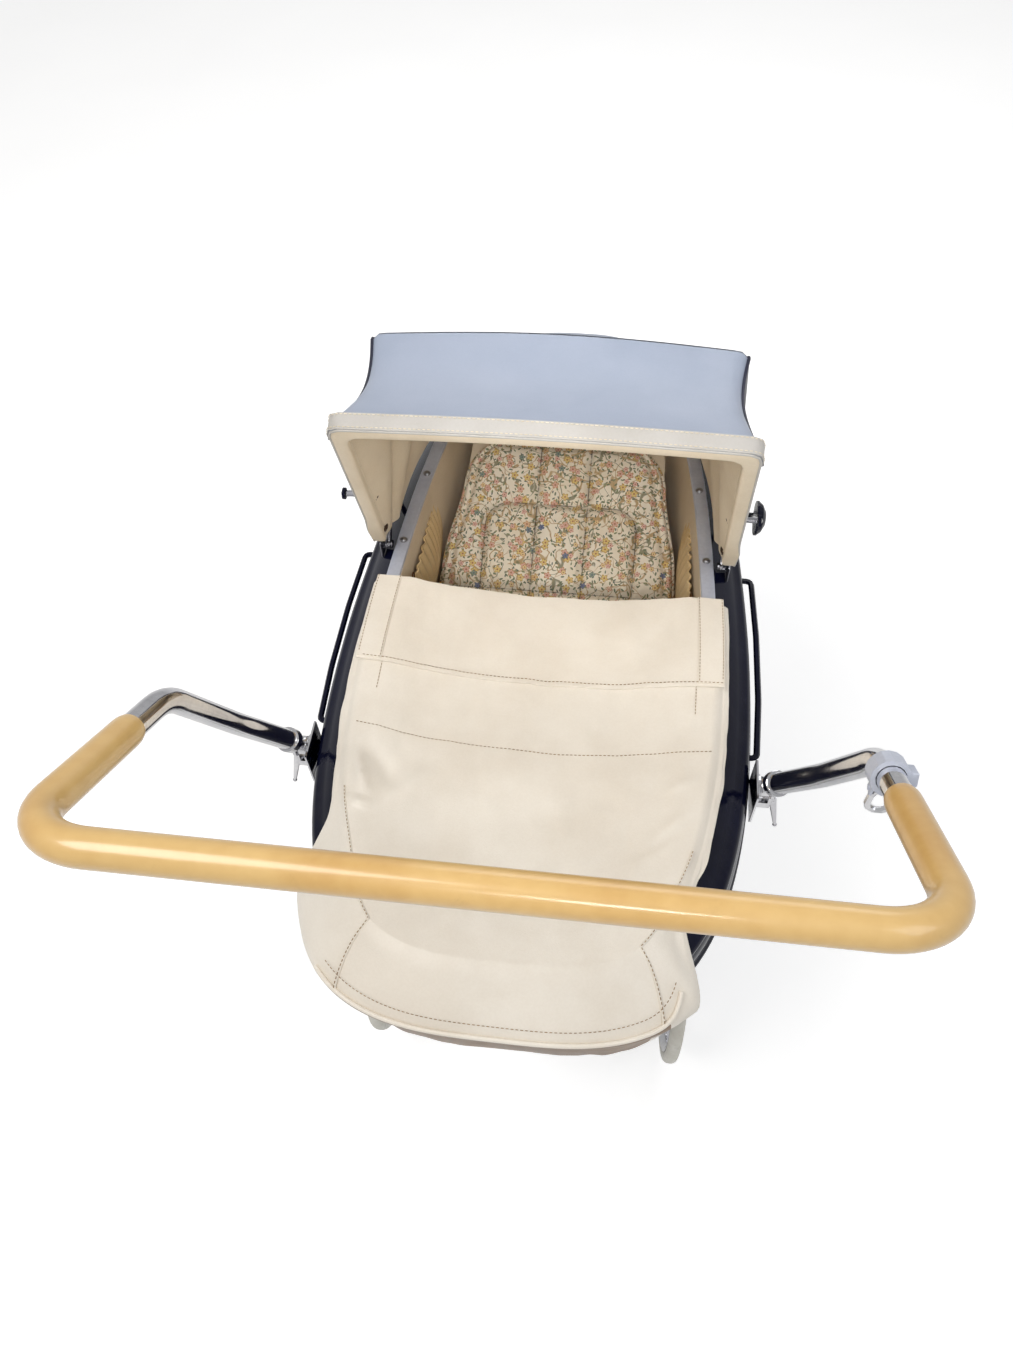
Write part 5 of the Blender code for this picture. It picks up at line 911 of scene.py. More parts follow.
CREASES = (
    ((-0.172, -0.205), (-0.150, -0.262), 0.006, 0.0060),
    ((-0.166, -0.190), (-0.120, -0.250), 0.009, -0.0040),
    ((-0.176, -0.262), (-0.142, -0.270), 0.004, 0.0040),
    ((-0.150, -0.275), (-0.090, -0.215), 0.012, 0.0030),
    ((0.175, -0.230), (0.095, -0.330), 0.010, 0.0035),
    ((0.178, -0.245), (0.110, -0.300), 0.006, -0.0025),
    ((0.182, -0.200), (0.135, -0.225), 0.005, 0.0020),
    ((0.020, -0.160), (0.055, -0.320), 0.020, 0.0018),
    ((-0.060, -0.170), (-0.075, -0.300), 0.018, 0.0016),
    ((-0.040, 0.020), (-0.050, -0.080), 0.012, 0.0020),
    ((0.085, 0.020), (0.100, -0.075), 0.010, 0.0018),
    ((0.140, 0.015), (0.120, -0.060), 0.008, -0.0014),
)


BOX_FROM = -0.26          # the apron's foot end is sewn to a squarer plan than the body's from here
BOX_POWER = 3.7
FOOT_POWER = 3.0


def boxed(spot):
    """A point of the apron's foot end moved out to the sewn box's squarer plan."""
    ahead = BOX_FROM - spot.y
    if ahead <= 0:
        return spot
    wide = abs(hull_point(rim_angle(BOX_FROM, 1), 0.0).x)
    long = BOX_FROM - hull_point(-math.pi / 2, 0.0).y
    turn = math.atan2(ahead, abs(spot.x))
    def reach(power):
        return ((math.cos(turn) / wide) ** power + (math.sin(turn) / long) ** power) ** (-1 / power)
    grow = reach(BOX_POWER) / reach(FOOT_POWER)
    return Vector((spot.x * grow, BOX_FROM - ahead * grow, spot.z))


def apron_top(along, share, lift=0.0):
    """A point of the apron's top: along from its upper hem to the foot, share from right to left."""
    side = apron_edge(APRON_START + (APRON_CORNER - APRON_START) * along)
    head = apron_edge(APRON_START)
    corner = apron_edge(APRON_CORNER)
    foot = apron_edge(APRON_CORNER + (-math.pi - 2 * APRON_CORNER) * share)
    across = 2 * share - 1

    def level(spot):
        return Vector((spot.x * -across, spot.y, spot.z))

    spot = (level(head) * (1 - along) + foot * along + level(side)
            - level(corner) * along - level(head) * (1 - along))
    inside = max(0.0, 1 - (across / 0.84) ** 2)
    near_foot = 1 - smooth((along - 0.62) / 0.2)
    sag = APRON_SAG * (1 - along) ** 1.6 + 0.004 * math.sin(math.pi * along)
    wave = 0.0035 * max(0.0, math.sin(7 * across + 16 * spot.y)) * math.sin(math.pi * along)
    spot.z -= inside * near_foot * (sag + wave)
    spot.z += 0.0022 * (1 - near_foot) * min(1.0, 4 * (1 - abs(across))) * smooth(5 - 5 * along)
    calm = min(1.0, 6 * (1 - abs(across))) * min(1.0, 9 * (1 - along))
    spot.z += calm * (0.0024 * ripple(spot.x, spot.y, 0.05, 0.10)
                      + 0.0006 * ripple(spot.x, spot.y, 0.012, 0.03, 5.0))
    spot.z += min(1.0, 10 * (1 - abs(across))) * 1.3 * sum(ridge(spot.x, spot.y, *crease)
                                                                  for crease in CREASES)
    spot.z += lift
    return boxed(spot)


def apron_along(y):
    """How far along the apron its side edge passes y."""
    return (rim_angle(y, 1) - APRON_START) / (APRON_CORNER - APRON_START)


def apron_line(y, lift, first=0.0, last=1.0, count=60):
    along = apron_along(y)
    return [apron_top(along, first + (last - first) * step / (count - 1), lift)
            for step in range(count)]


def apron_piece():
    rows, columns = 84, 76
    top = [[apron_top(row / (rows - 1), column / (columns - 1)) for column in range(columns)]
           for row in range(rows)]
    side_angles = [APRON_START + (APRON_CORNER - APRON_START) * row / (rows - 1) for row in range(rows)]
    foot_angles = [APRON_CORNER + (-math.pi - 2 * APRON_CORNER) * column / (columns - 1)
                   for column in range(columns)]
    edge = [(side_angles[row], row * columns) for row in range(rows - 1)]
    edge += [(foot_angles[column], (rows - 1) * columns + column) for column in range(columns - 1)]
    edge += [(-math.pi - side_angles[row], row * columns + columns - 1)
             for row in range(rows - 1, -1, -1)]
    points = [point for line in top for point in line]
    faces = grid_faces(rows, columns)
    above = [index for _, index in edge]
    tucked = []
    for share in [0.02, 0.05, 0.09] + [0.09 + 0.91 * step / 20 for step in range(1, 21)]:
        start = len(points)
        for angle, _ in edge:
            spot = drape_point(angle, share)
            low = smooth((share - 0.2) / 0.4)
            spot += spot_outward(angle) * (low * 0.0022 * (1 + ripple(angle * 0.3, share, 0.05, 0.9, 4.0)))
            points.append(spot)
        below = list(range(start, start + len(edge)))
        for here in range(len(edge) - 1):
            if share * APRON_DROP > FOOT_HEM + 0.008 and 4 < here - rows < columns - 7:
                tucked.append(tuple((points[above[here]] + points[below[here + 1]]) / 2))
            faces.append((above[here], above[here + 1], below[here + 1], below[here]))
        above = below
    cover = mesh_object("apron_cover", points, faces, ["apron", "tuck_painted_shade"])
    near = kdtree.KDTree(len(tucked))
    for number, spot in enumerate(tucked):
        near.insert(spot, number)
    near.balance()
    # Faces of the skirt below its hem take the apron's cloth in painted shade.
    for face in cover.data.polygons:
        if near.find(face.center)[2] < 0.0004:
            face.material_index = 1
    wall = cover.modifiers.new("wall", "SOLIDIFY")
    wall.thickness = APRON_THICK
    wall.offset = 0.0
    baked(cover)
    tidy_mesh(cover, 65.0)
    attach(cover, "root")
    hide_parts("apron")
    return cover


def drape_drop(angle):
    """Depth of the skirt as it hangs: a turned edge at the sides, and the full skirt past the corners."""
    spot = hull_point(angle, 0.0)
    start, run = (SKIRT_FROM_LEFT, SKIRT_RUN_LEFT) if spot.x < 0 else (SKIRT_FROM_RIGHT, SKIRT_RUN_RIGHT)
    grown = (start - spot.y) / run
    return APRON_TURN_DOWN + (APRON_DROP - APRON_TURN_DOWN) * smooth(grown) ** 1.4


def drape_point(angle, share):
    """A point of the skirt: sloping out to its stitched hem, then tucked down along the hull."""
    drop = drape_drop(angle)
    depth = drop * share
    full = smooth((drop - 0.03) / 0.08)
    ease = smooth(depth / 0.03)
    out = BAND_OVERHANG * (1 - ease) + APRON_STANDOFF + (BEAD_HEIGHT - 0.0015) * ease
    proud = min(1.0, depth / FOOT_HEM) ** 0.6 * FOOT_PROUD * (1 - smooth((depth - FOOT_HEM) / 0.07))
    out += full * proud * abs(spot_outward(angle).y)
    if depth <= BULGE_DEPTH:
        return boxed(hull_point(angle, depth, out))
    wide = hull_point(angle, BULGE_DEPTH, out + 0.001)
    hugging = hull_point(angle, depth, out)
    spot = wide.lerp(hugging, 0.30)
    spot.z = hugging.z
    return boxed(spot)


def spot_outward(angle):
    half_width, half_length = body_half_sizes(BULGE_DEPTH)
    _, outward = superellipse(angle, half_width, half_length)
    return Vector((outward.x, outward.y, 0.0))


FLAP_EDGE = -0.095
FLAP_LIFT = 0.0021
WING = 0.020             # share of its width that the flap reaches past the rim on each side
SECOND_SEAM = -0.173
SKIRT_FROM_LEFT = -0.250     # where the skirt starts to drop on each side
SKIRT_FROM_RIGHT = -0.335
SKIRT_RUN_LEFT = 0.120       # length over which it reaches its full depth
SKIRT_RUN_RIGHT = 0.055
FOOT_HEM = 0.034             # depth of the stitched hem across the foot end
FOOT_PROUD = 0.026
SEAM_INSET = 0.035
SEAM_DRIFT = 0.070
SIDE_BINDING = (0.055, 0.945)


def apron_flap():
    """The turned-back band over the apron's upper end, with its lower hem a little proud."""
    last = apron_along(FLAP_EDGE)
    rows = []
    for row in range(34):
        along = last * row / 33
        hem = smooth((row - 28) / 4)
        rows.append([apron_top(along, -WING + (1 + 2 * WING) * column / 75, FLAP_LIFT + 0.0004 * hem)
                     for column in range(76)])
    flap = cloth("apron_flap", rows, 0.0016, ["apron"])
    as_sheet(rows)
    return flap


def apron_bindings():
    """The narrow sewn facings down both sides of the flap."""
    made = []
    for first, last, side in ((-WING * 0.9, SIDE_BINDING[0], "right"),
                              (SIDE_BINDING[1], 1 + WING * 0.9, "left")):
        end = apron_along(FLAP_EDGE + 0.003)
        rows = [[apron_top(end * row / 33, first + (last - first) * column / 9, FLAP_LIFT + 0.0016)
                 for column in range(10)] for row in range(34)]
        made.append(cloth("apron_facing_" + side, rows, 0.0009, ["apron"]))
        as_sheet(rows)
    return made


def apron_stitching():
    lift = FLAP_LIFT + 0.0024
    lines = []
    for share in SIDE_BINDING:
        inner = share - math.copysign(0.004, share - 0.5)
        end = apron_along(FLAP_EDGE + 0.002)
        lines.append([apron_top(end * step / 40, share - math.copysign(0.004, 0.5 - share), lift)
                      for step in range(41)])
        tail = apron_along(FLAP_EDGE - 0.036)
        lines.append([apron_top(end + (tail - end) * step / 12, inner, 0.0016) for step in range(13)])
    lines.append(apron_line(FLAP_EDGE + 0.0045, FLAP_LIFT + 0.0022, -WING * 0.8, 1 + WING * 0.8))
    for share in (-WING * 0.75, 1 + WING * 0.75):
        end = apron_along(FLAP_EDGE + 0.004)
        lines.append([apron_top(end * step / 40, share, lift) for step in range(41)])
    lines.append(apron_line(SECOND_SEAM, 0.0014, 0.004, 0.996))
    for mirror in (1, -1):
        lines.append(corner_seam(mirror, 0.0013))
    lines.append(foot_hem_line(FOOT_HEM - 0.009))
    return stitches("apron_stitching", lines)


def corner_seam(mirror, out, count=90):
    """The sewn edge of the box: along the top from the side to the foot, then down to the hem."""
    start = SKIRT_FROM_LEFT if mirror < 0 else SKIRT_FROM_RIGHT + 0.05
    first = apron_along(start)
    line = []
    for step in range(count):
        along = first + (1 - first) * step / (count - 1)
        inset = SEAM_INSET * smooth((along - first) / (1 - first) * 1.4)
        line.append(apron_top(along, inset if mirror > 0 else 1 - inset, 0.0010 + out))
    for step in range(1, 31):
        share = SEAM_INSET + SEAM_DRIFT * step / 30
        share = share if mirror > 0 else 1 - share
        angle = APRON_CORNER + (-math.pi - 2 * APRON_CORNER) * share
        spot = drape_point(angle, step / 30 * (FOOT_HEM + 0.004) / APRON_DROP)
        line.append(spot + spot_outward(angle) * (0.0024 + out) + Vector((0, 0, out)))
    return line


def apron_length():
    """The length of the apron's middle line from its upper hem to the foot of the rim."""
    line = [apron_top(step / 80, 0.5) for step in range(81)]
    return sum((after - here).length for here, after in zip(line, line[1:]))


def foot_hem_line(depth, out=0.0032):
    line = []
    for step in range(90):
        angle = APRON_CORNER + (-math.pi - 2 * APRON_CORNER) * step / 89
        spot = drape_point(angle, depth / APRON_DROP)
        line.append(spot + spot_outward(angle) * (out + 0.0022) + Vector((0, 0, 0.0012)))
    return line


def apron_welts():
    """The raised sewn edges: down both corners of the box and round its hem."""
    made = []
    for mirror, side in ((1, "right"), (-1, "left")):
        made.append(tube("apron_welt_" + side, corner_seam(mirror, 0.0), 0.0014, "apron", sides=8))
    made.append(tube("apron_welt_hem", foot_hem_line(FOOT_HEM + 0.004, 0.0), 0.0022, "apron", sides=8))
    return made


# Quilt on the backrest


FACING_THICK = 0.0022
QUILT_OVERHANG = 0.014
QUILT_RISE = 0.007      # the stuffed cloth stands this much prouder than its solid
QUILT_ROWS, QUILT_COLUMNS = 70, 74


def pad_limit(up, high):
    """Half the pad's width: it reaches past its board, almost to the lining."""
    return quilt_limit(up, high) + QUILT_OVERHANG * (1 - 0.85 * smooth((up - 0.15) / 0.10))


def seam_depth(across, up, limit, high):
    """How near a point of the pad is to a sewn line: 1 on it, 0 away from it."""
    lines = [abs(across - spot) for spot in SEWN_UP[1:3]]
    lines.append(abs(panel_edge(across, up)))
    lines.append(abs(up - SEWN_ACROSS[0]))
    border = min(limit - abs(across), high - up) - 0.011
    lines.append(abs(border))
    return math.exp(-(min(lines) / 0.0036) ** 2)


def panel_edge(across, up):
    """How far a point is outside the raised inner panel with its rounded top corners."""
    half, top, corner = SEWN_UP[3], SEWN_ACROSS[1], PANEL_CORNER
    off_x, off_y = abs(across) - (half - corner), up - (top - corner)
    if off_x > 0 and off_y > 0:
        return math.hypot(off_x, off_y) - corner
    return max(off_x, off_y) - corner


def quilt_shape():
    """Top and under points of the pad, with where each lies on the cloth and whether it is sewn."""
    origin, along, face = backrest_frame()
    low = 0.014 + QUILT_MARGIN + 0.006
    high = BACKREST_LENGTH - QUILT_MARGIN
    base = BACKREST_THICK / 2 + SEAT * 2 + FACING_THICK
    top, under = [], []
    for row in range(QUILT_ROWS):
        up = low + (high - low) * row / (QUILT_ROWS - 1)
        limit = pad_limit(up, high)
        for column in range(QUILT_COLUMNS):
            across = limit * (2 * column / (QUILT_COLUMNS - 1) - 1)
            inside = max(0.0, min(limit - abs(across), high - up, up - low))
            share = min(1.0, inside / 0.016)
            crown = math.sqrt(1 - (1 - share) ** 2)
            sewn = seam_depth(across, up, limit, high)
            raised = smooth(-panel_edge(across, up) / 0.006)
            puff = (QUILT_THICK * (0.24 + 0.52 * crown) + QUILT_RISE * crown + 0.0030 * raised
                    - 0.0100 * sewn * crown
                    + 0.0009 * crown * ripple(across, up, 0.013, 0.016, 9.0))
            top.append((Vector((across, 0, 0)) + origin + along * up + face * (base + puff),
                        across, up, sewn))
            under.append((Vector((across * 0.975, 0, 0)) + origin + along * up + face * base,
                          across, up, 1.0))
    return top, under


def on_quilt(across, up, lift=0.0):
    """A point on the pad's upper face."""
    origin, along, face = backrest_frame()
    low = 0.014 + QUILT_MARGIN + 0.006
    high = BACKREST_LENGTH - QUILT_MARGIN
    limit = pad_limit(up, high)
    inside = max(0.0, min(limit - abs(across), high - up, up - low))
    crown = math.sqrt(1 - (1 - min(1.0, inside / 0.016)) ** 2)
    raised = smooth(-panel_edge(across, up) / 0.006)
    sewn = seam_depth(across, up, limit, high)
    puff = (QUILT_THICK * (0.24 + 0.52 * crown) + QUILT_RISE * crown + 0.0030 * raised
            - 0.0100 * sewn * crown)
    rise = BACKREST_THICK / 2 + SEAT * 2 + FACING_THICK + puff + lift
    return origin + Vector((across, 0, 0)) + along * up + face * rise


def quilt_trim():
    """The sewing in the pad's channels and the piping round its edge."""
    low = 0.014 + QUILT_MARGIN + 0.006
    high = BACKREST_LENGTH - QUILT_MARGIN
    top = SEWN_ACROSS[1]
    lines = [[on_quilt(spot, low + (high - 0.014 - low) * step / 90, 0.0004) for step in range(91)]
             for spot in SEWN_UP[1:3]]
    for side in (-1, 1):
        edge = SEWN_UP[3] * side
        line = [on_quilt(edge, low + (top - 0.030 - low) * step / 60, 0.0004) for step in range(61)]
        for step in range(1, 9):
            turn = math.radians(90 * step / 8)
            line.append(on_quilt(edge - side * 0.030 * (1 - math.cos(turn)),
                                 top - 0.030 * (1 - math.sin(turn)), 0.0004))
        line += [on_quilt((edge - side * 0.030) * (1 - step / 30), top, 0.0004) for step in range(1, 31)]
        lines.append(line)
    lines.append([on_quilt(SEWN_UP[3] * (2 * step / 80 - 1) * 1.36, SEWN_ACROSS[0], 0.0004)
                  for step in range(81)])
    stitches("quilt_stitching", lines, "thread", "backrest", "quilted_cotton", pitch=0.0034,
             radius=0.00034)
    origin, along, face = backrest_frame()
    edge = []
    for step in range(61):
        up = low + (high - HEAD_ROUND - low) * step / 60
        edge.append((pad_limit(up, high), up))
    for step in range(1, 25):
        turn = math.radians(90 * step / 24)
        up = high - HEAD_ROUND * (1 - math.sin(turn))
        edge.append((pad_limit(up, high), up))
    edge += [(edge[-1][0] * (1 - step / 12), high) for step in range(1, 13)]
    edge += [(-across, up) for across, up in reversed(edge[:-1])]
    rise = BACKREST_THICK / 2 + SEAT * 2 + FACING_THICK + QUILT_THICK * 0.20
    path = [origin + Vector((across, 0, 0)) + along * up + face * rise for across, up in edge]
    pipe = tube("quilt_piping", resampled(path, 220), 0.0024, "quilt", sides=10, body=None)
    laid = pipe.data.uv_layers.new(name="cloth")
    for loop in pipe.data.loops:
        spot = pipe.data.vertices[loop.vertex_index].co
        laid.data[loop.index].uv = (spot.x + 0.5, (spot - origin).dot(along) + (spot - origin).dot(face))
    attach(pipe, "backrest")


def backrest_facing():
    """The cream-covered face board that shows round the pad."""
    origin, along, face = backrest_frame()
    rows = []
    for step in range(24):
        up = 0.016 + (BACKREST_LENGTH - 0.001 - 0.016) * step / 23
        half = backrest_half(up) - 0.003
        rise = BACKREST_THICK / 2 + SEAT + FACING_THICK / 2
        rows.append([origin + Vector((half * (2 * column / 23 - 1), 0, 0)) + along * up + face * rise
                     for column in range(24)])
    facing = cloth("backrest_facing", rows, FACING_THICK - SEAT, ["hood_inside"], None, "backrest")
    as_sheet(rows)


def quilt():
    top, under = quilt_shape()
    rows, columns = QUILT_ROWS, QUILT_COLUMNS
    count = rows * columns
    points = [spot[0] for spot in top + under]
    faces = grid_faces(rows, columns)
    faces += [tuple(count + index for index in reversed(face)) for face in grid_faces(rows, columns)]
    rim = [column for column in range(columns)]
    rim += [row * columns + columns - 1 for row in range(1, rows)]
    rim += [(rows - 1) * columns + column for column in range(columns - 2, -1, -1)]
    rim += [row * columns for row in range(rows - 2, 0, -1)]
    for here, after in zip(rim, rim[1:] + rim[:1]):
        faces.append((here, count + here, count + after, after))
    mesh = bpy.data.meshes.new("quilt")
    mesh.from_pydata([tuple(point) for point in points], [], faces)
    mesh.materials.append(FINISH["quilt"])
    form = bmesh.new()
    form.from_mesh(mesh)
    bmesh.ops.recalc_face_normals(form, faces=form.faces[:])
    form.to_mesh(mesh)
    form.free()
    pad = bpy.data.objects.new("quilt", mesh)
    bpy.context.scene.collection.objects.link(pad)
    laid = mesh.uv_layers.new(name="cloth")
    flat_place = [(spot[1] + 0.5, spot[2]) for spot in top] + [(spot[1] + 0.5, spot[2]) for spot in under]
    for loop in mesh.loops:
        laid.data[loop.index].uv = flat_place[loop.vertex_index]
    inflate(pad, [spot[3] for spot in top + under], 0.0052)
    for face in mesh.polygons:
        face.use_smooth = True
    soft = pad.modifiers.new("smoother", "SUBSURF")
    soft.levels = soft.render_levels = 1
    baked(pad)
    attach(pad, "backrest")
    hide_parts("quilt_pad")
    return pad


def inflate(pad, sewn, cap):
    """Blows a closed pad up against its sewn lines with Cloth; no point moves further than cap."""
    start = np.array([vertex.co for vertex in pad.data.vertices])
    pins = pad.vertex_groups.new(name="sewn")
    for index, weight in enumerate(sewn):
        if weight > 0.02:
            pins.add([index], min(1.0, weight * 1.1), "REPLACE")
    blow = pad.modifiers.new("blow", "CLOTH")
    settings = blow.settings
    settings.quality = 6
    settings.mass = 0.25
    settings.tension_stiffness = settings.compression_stiffness = 12
    settings.shear_stiffness = 6
    settings.bending_stiffness = 0.4
    settings.vertex_group_mass = "sewn"
    settings.use_pressure = True
    settings.uniform_pressure_force = 4
    settings.effector_weights.gravity = 0
    blow.collision_settings.use_collision = False
    scene = bpy.context.scene
    for step in range(1, 21):
        scene.frame_set(step)
    shown = pad.evaluated_get(bpy.context.evaluated_depsgraph_get()).to_mesh()
    moved = np.array([vertex.co for vertex in shown.vertices]) - start
    pad.modifiers.clear()
    scene.frame_set(1)
    length = np.linalg.norm(moved, axis=1, keepdims=True)
    moved *= np.minimum(1.0, cap / np.maximum(length, 1e-9))
    pad.data.vertices.foreach_set("co", (start + moved).ravel())
    pad.data.update()


# Hood


LINING_LIFT = -0.0062
HOOD_ACROSS = 97
TOP_FIRST, TOP_LAST = 27, 69         # columns of the seams along the corners of the top
CLOTH_CORNER = 0.012                 # corner radius of the outer cloths
HOOD_REACH_LINED = 0.032


def bow_line(index, lift=0.0, turn=0.0, shift=0.0, foot=HOOD_FOOT):
    """A bow's line from its right foot over the top to its left foot, on even points."""
    half = HOOD_TOP_HALF_WIDTH[index] + lift
    top = HOOD_RADII[index] + lift
    foot_x = HOOD_ARM_LAYERS[index] + lift
    corner = CLOTH_CORNER if lift > 0 else HOOD_CORNER + lift
    lean = (foot_x - half) / top
    crown = 0.008 if lift > 0 and index == 1 else 0.006
    right = []
    for step in range(9):
        reach = foot + (top - corner - foot) * step / 8
        x = foot_x - lean * reach
        if lift > 0.0 and reach < HOOD_ARM_REACH + 0.02:
            x = max(x, HOOD_ARM_LAYERS[index] + BOW_WIRE + HOOD_CLOTH / 2 + 0.0006)
        right.append((x, reach))
    side_x = foot_x - lean * (top - corner)
    for step in range(1, 7):
        turned = math.radians(90 * step / 6)
        right.append((side_x - corner * (1 - math.cos(turned)), top - corner * (1 - math.sin(turned))))
    for step in range(1, 7):
        share = step / 6
        right.append(((side_x - corner) * (1 - share), top + crown * math.sin(math.pi / 2 * share)))
    line = [bow_point(index, x, reach, turn, shift) for x, reach in right]
    line += [Vector((-spot.x, spot.y, spot.z)) for spot in reversed(line[:-1])]
    return resampled(line, HOOD_ACROSS)


def hem_line():
    """The hood's rear hem round the head of the body, on even points."""
    first = rim_angle(HOOD_PIVOT[0] + HOOD_FOOT, 1)
    out = BAND_OVERHANG + SEAT * 5 + HOOD_CLOTH / 2
    right = []
    for step in range(25):
        share = step / 24
        spot = hull_point(first + (math.pi / 2 - first) * share, 0.0, out)
        near = 1 - smooth(share / 0.35)
        spot.x += near * (HOOD_ARM_LAYERS[0] + HOOD_CLOTH_LIFT - spot.x)
        spot.z += 0.004
        right.append(spot)
    line = right + [Vector((-spot.x, spot.y, spot.z)) for spot in reversed(right[:-1])]
    return resampled(line, HOOD_ACROSS)


def stretched(first, second, rows, sag=HOOD_SAG, seed=0.0, push=0.0):
    """Rows of cloth between two lines: drawn in between them and a little uneven."""
    inner = Vector((0.0, HOOD_PIVOT[0] + 0.05, HOOD_PIVOT[1] + 0.06))
    grid = []
    for row in range(rows + 1):
        share = row / rows
        line = []
        for column, (start, end) in enumerate(zip(first, second)):
            spot = start.lerp(end, share)
            reach = min(1.0, (start - end).length / 0.12)
            draw = sag * math.sin(math.pi * share) * reach
            draw += 0.0012 * reach * math.sin(math.pi * share) * ripple(column * 0.02, share, 0.30, 0.6, seed)
            line.append(spot + (inner - spot).normalized() * (draw + push))
        grid.append(line)
    return grid


# Column ranges of the parts of a hood cloth: foot, side and top, then side and foot again
HOOD_PARTS = (("foot_right", 0, 11), ("side_right", 11, TOP_FIRST), ("top", TOP_FIRST, TOP_LAST),
              ("side_left", TOP_LAST, 85), ("foot_left", 85, 96))


def row_normals(rows):
    """The outward normal of a grid of points at each point."""
    grid = np.array([[tuple(spot) for spot in row] for row in rows])
    down = np.gradient(grid, axis=0)
    across = np.gradient(grid, axis=1)
    normals = np.cross(down, across)
    normals /= np.maximum(np.linalg.norm(normals, axis=2, keepdims=True), 1e-12)
    heart = np.array([0.0, HOOD_PIVOT[0] + 0.03, HOOD_PIVOT[1] + 0.10])
    if np.sum(normals * (grid - heart)) < 0:
        normals = -normals
    return grid, normals


def hood_part(name, grid, normals, thick, finish):
    """One part of a hood cloth as a closed thin shell, shaded as one with its neighbours."""
    rows, columns = grid.shape[:2]
    outer = (grid + normals * thick / 2).reshape(-1, 3)
    inner = (grid - normals * thick / 2).reshape(-1, 3)
    count = rows * columns
    faces = grid_faces(rows, columns)
    faces += [tuple(count + index for index in reversed(face)) for face in grid_faces(rows, columns)]
    rim = list(range(columns)) + [row * columns + columns - 1 for row in range(1, rows)]
    rim += [(rows - 1) * columns + column for column in range(columns - 2, -1, -1)]
    rim += [row * columns for row in range(rows - 2, 0, -1)]
    faces += [(after, here, count + here, count + after) for here, after in zip(rim, rim[1:] + rim[:1])]
    mesh = bpy.data.meshes.new(name)
    mesh.from_pydata([tuple(point) for point in np.concatenate([outer, inner])], [], faces)
    mesh.materials.append(FINISH[finish])
    made = bpy.data.objects.new(name, mesh)
    bpy.context.scene.collection.objects.link(made)
    flat_normals = normals.reshape(-1, 3)
    first = mesh.polygons[0]
    if Vector(flat_normals[first.vertices[0]]).dot(first.normal) < 0:
        mesh.flip_normals()
    mesh.polygons.foreach_set("use_smooth", [True] * len(mesh.polygons))
    both = np.concatenate([flat_normals, -flat_normals])
    mesh.normals_split_custom_set_from_vertices([tuple(normal) for normal in both])
    return made


def hood_cloth(name, rows, thick, finishes, node=None):
    """A cloth between two bows, in parts; gives them and the length down its middle."""
    grid, normals = row_normals(rows)
    made = []
    for part, first, last in HOOD_PARTS:
        finish = finishes[0] if part == "top" else finishes[1]
        piece = hood_part(name + "_" + part, grid[:, first:last + 1], normals[:, first:last + 1],
                          thick, finish)
        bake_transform(piece)
        as_sheet(grid[:, first:last + 1])
        made.append(piece)
    if node:
        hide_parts(node)
    length = sum(np.linalg.norm(grid[row + 1, 48] - grid[row, 48]) for row in range(len(rows) - 1))
    return made, float(length)


def hood_outer():
    """The three outer cloths, from the front hem to the rear hem on the rim band."""
    lift = HOOD_CLOTH_LIFT
    hem = [bow_line(0, lift, 0.0, ahead) for ahead in (0.0066, 0.0044, 0.0022)]
    front = hem + stretched(bow_line(0, lift), bow_line(1, lift, 0.0, HOOD_SEAM), 20, seed=1.0)
    middle = stretched(bow_line(1, lift, 0.0, -HOOD_SEAM), bow_line(2, lift, 0.0, HOOD_SEAM), 18, seed=2.0)
    rear = stretched(bow_line(2, lift, 0.0, -HOOD_SEAM), hem_line(), 26, seed=3.0)
    made = {}
    for place, rows, a, b in (("front", front, "hood_front", "hood_middle"),
                              ("middle", middle, "hood_middle", "hood_rear"),
                              ("rear", rear, "hood_rear", "root")):
        name = "hood_cloth_" + place
        made[name], _ = hood_cloth(name, rows, HOOD_CLOTH, ("hood_top", "hood_side"),
                                   "hood_panel_" + place)
    return made, (front, middle, rear)


def hood_lining():
    """The cream lining that hangs inside the bows."""
    lift = LINING_LIFT
    foot = HOOD_REACH_LINED
    lines = [bow_line(index, lift, 0.0, 0.0, foot) for index in range(3)]
    head = hem_line()
    inner_head = [Vector((spot.x * 0.945, HOOD_PIVOT[0] + (spot.y - HOOD_PIVOT[0]) * 0.965, spot.z + 0.004))
                  for spot in head]
    spans = ((lines[0], lines[1], 16, "hood_front", "hood_middle"),
             (lines[1], lines[2], 14, "hood_middle", "hood_rear"),
             (lines[2], inner_head, 20, "hood_rear", "root"))
    for name, (first, second, count, a, b) in zip(("front", "middle", "rear"), spans):
        rows = stretched(first, second, count, seed=7.0, push=0.0)
        if name == "front":
            edge = ((HOOD_CLOTH_LIFT - 0.0012, 0.0062), (HOOD_CLOTH_LIFT - 0.0020, 0.0074), (0.0024, 0.0080),
                    (-0.0010, 0.0082), (lift + 0.0024, 0.0080), (lift + 0.0006, 0.0074), (lift, 0.0058))
            rows = [bow_line(0, out, 0.0, ahead, foot) for out, ahead in edge] + rows
        hood_cloth("hood_inner_" + name, rows, 0.0010, ("hood_inside", "hood_inside"))


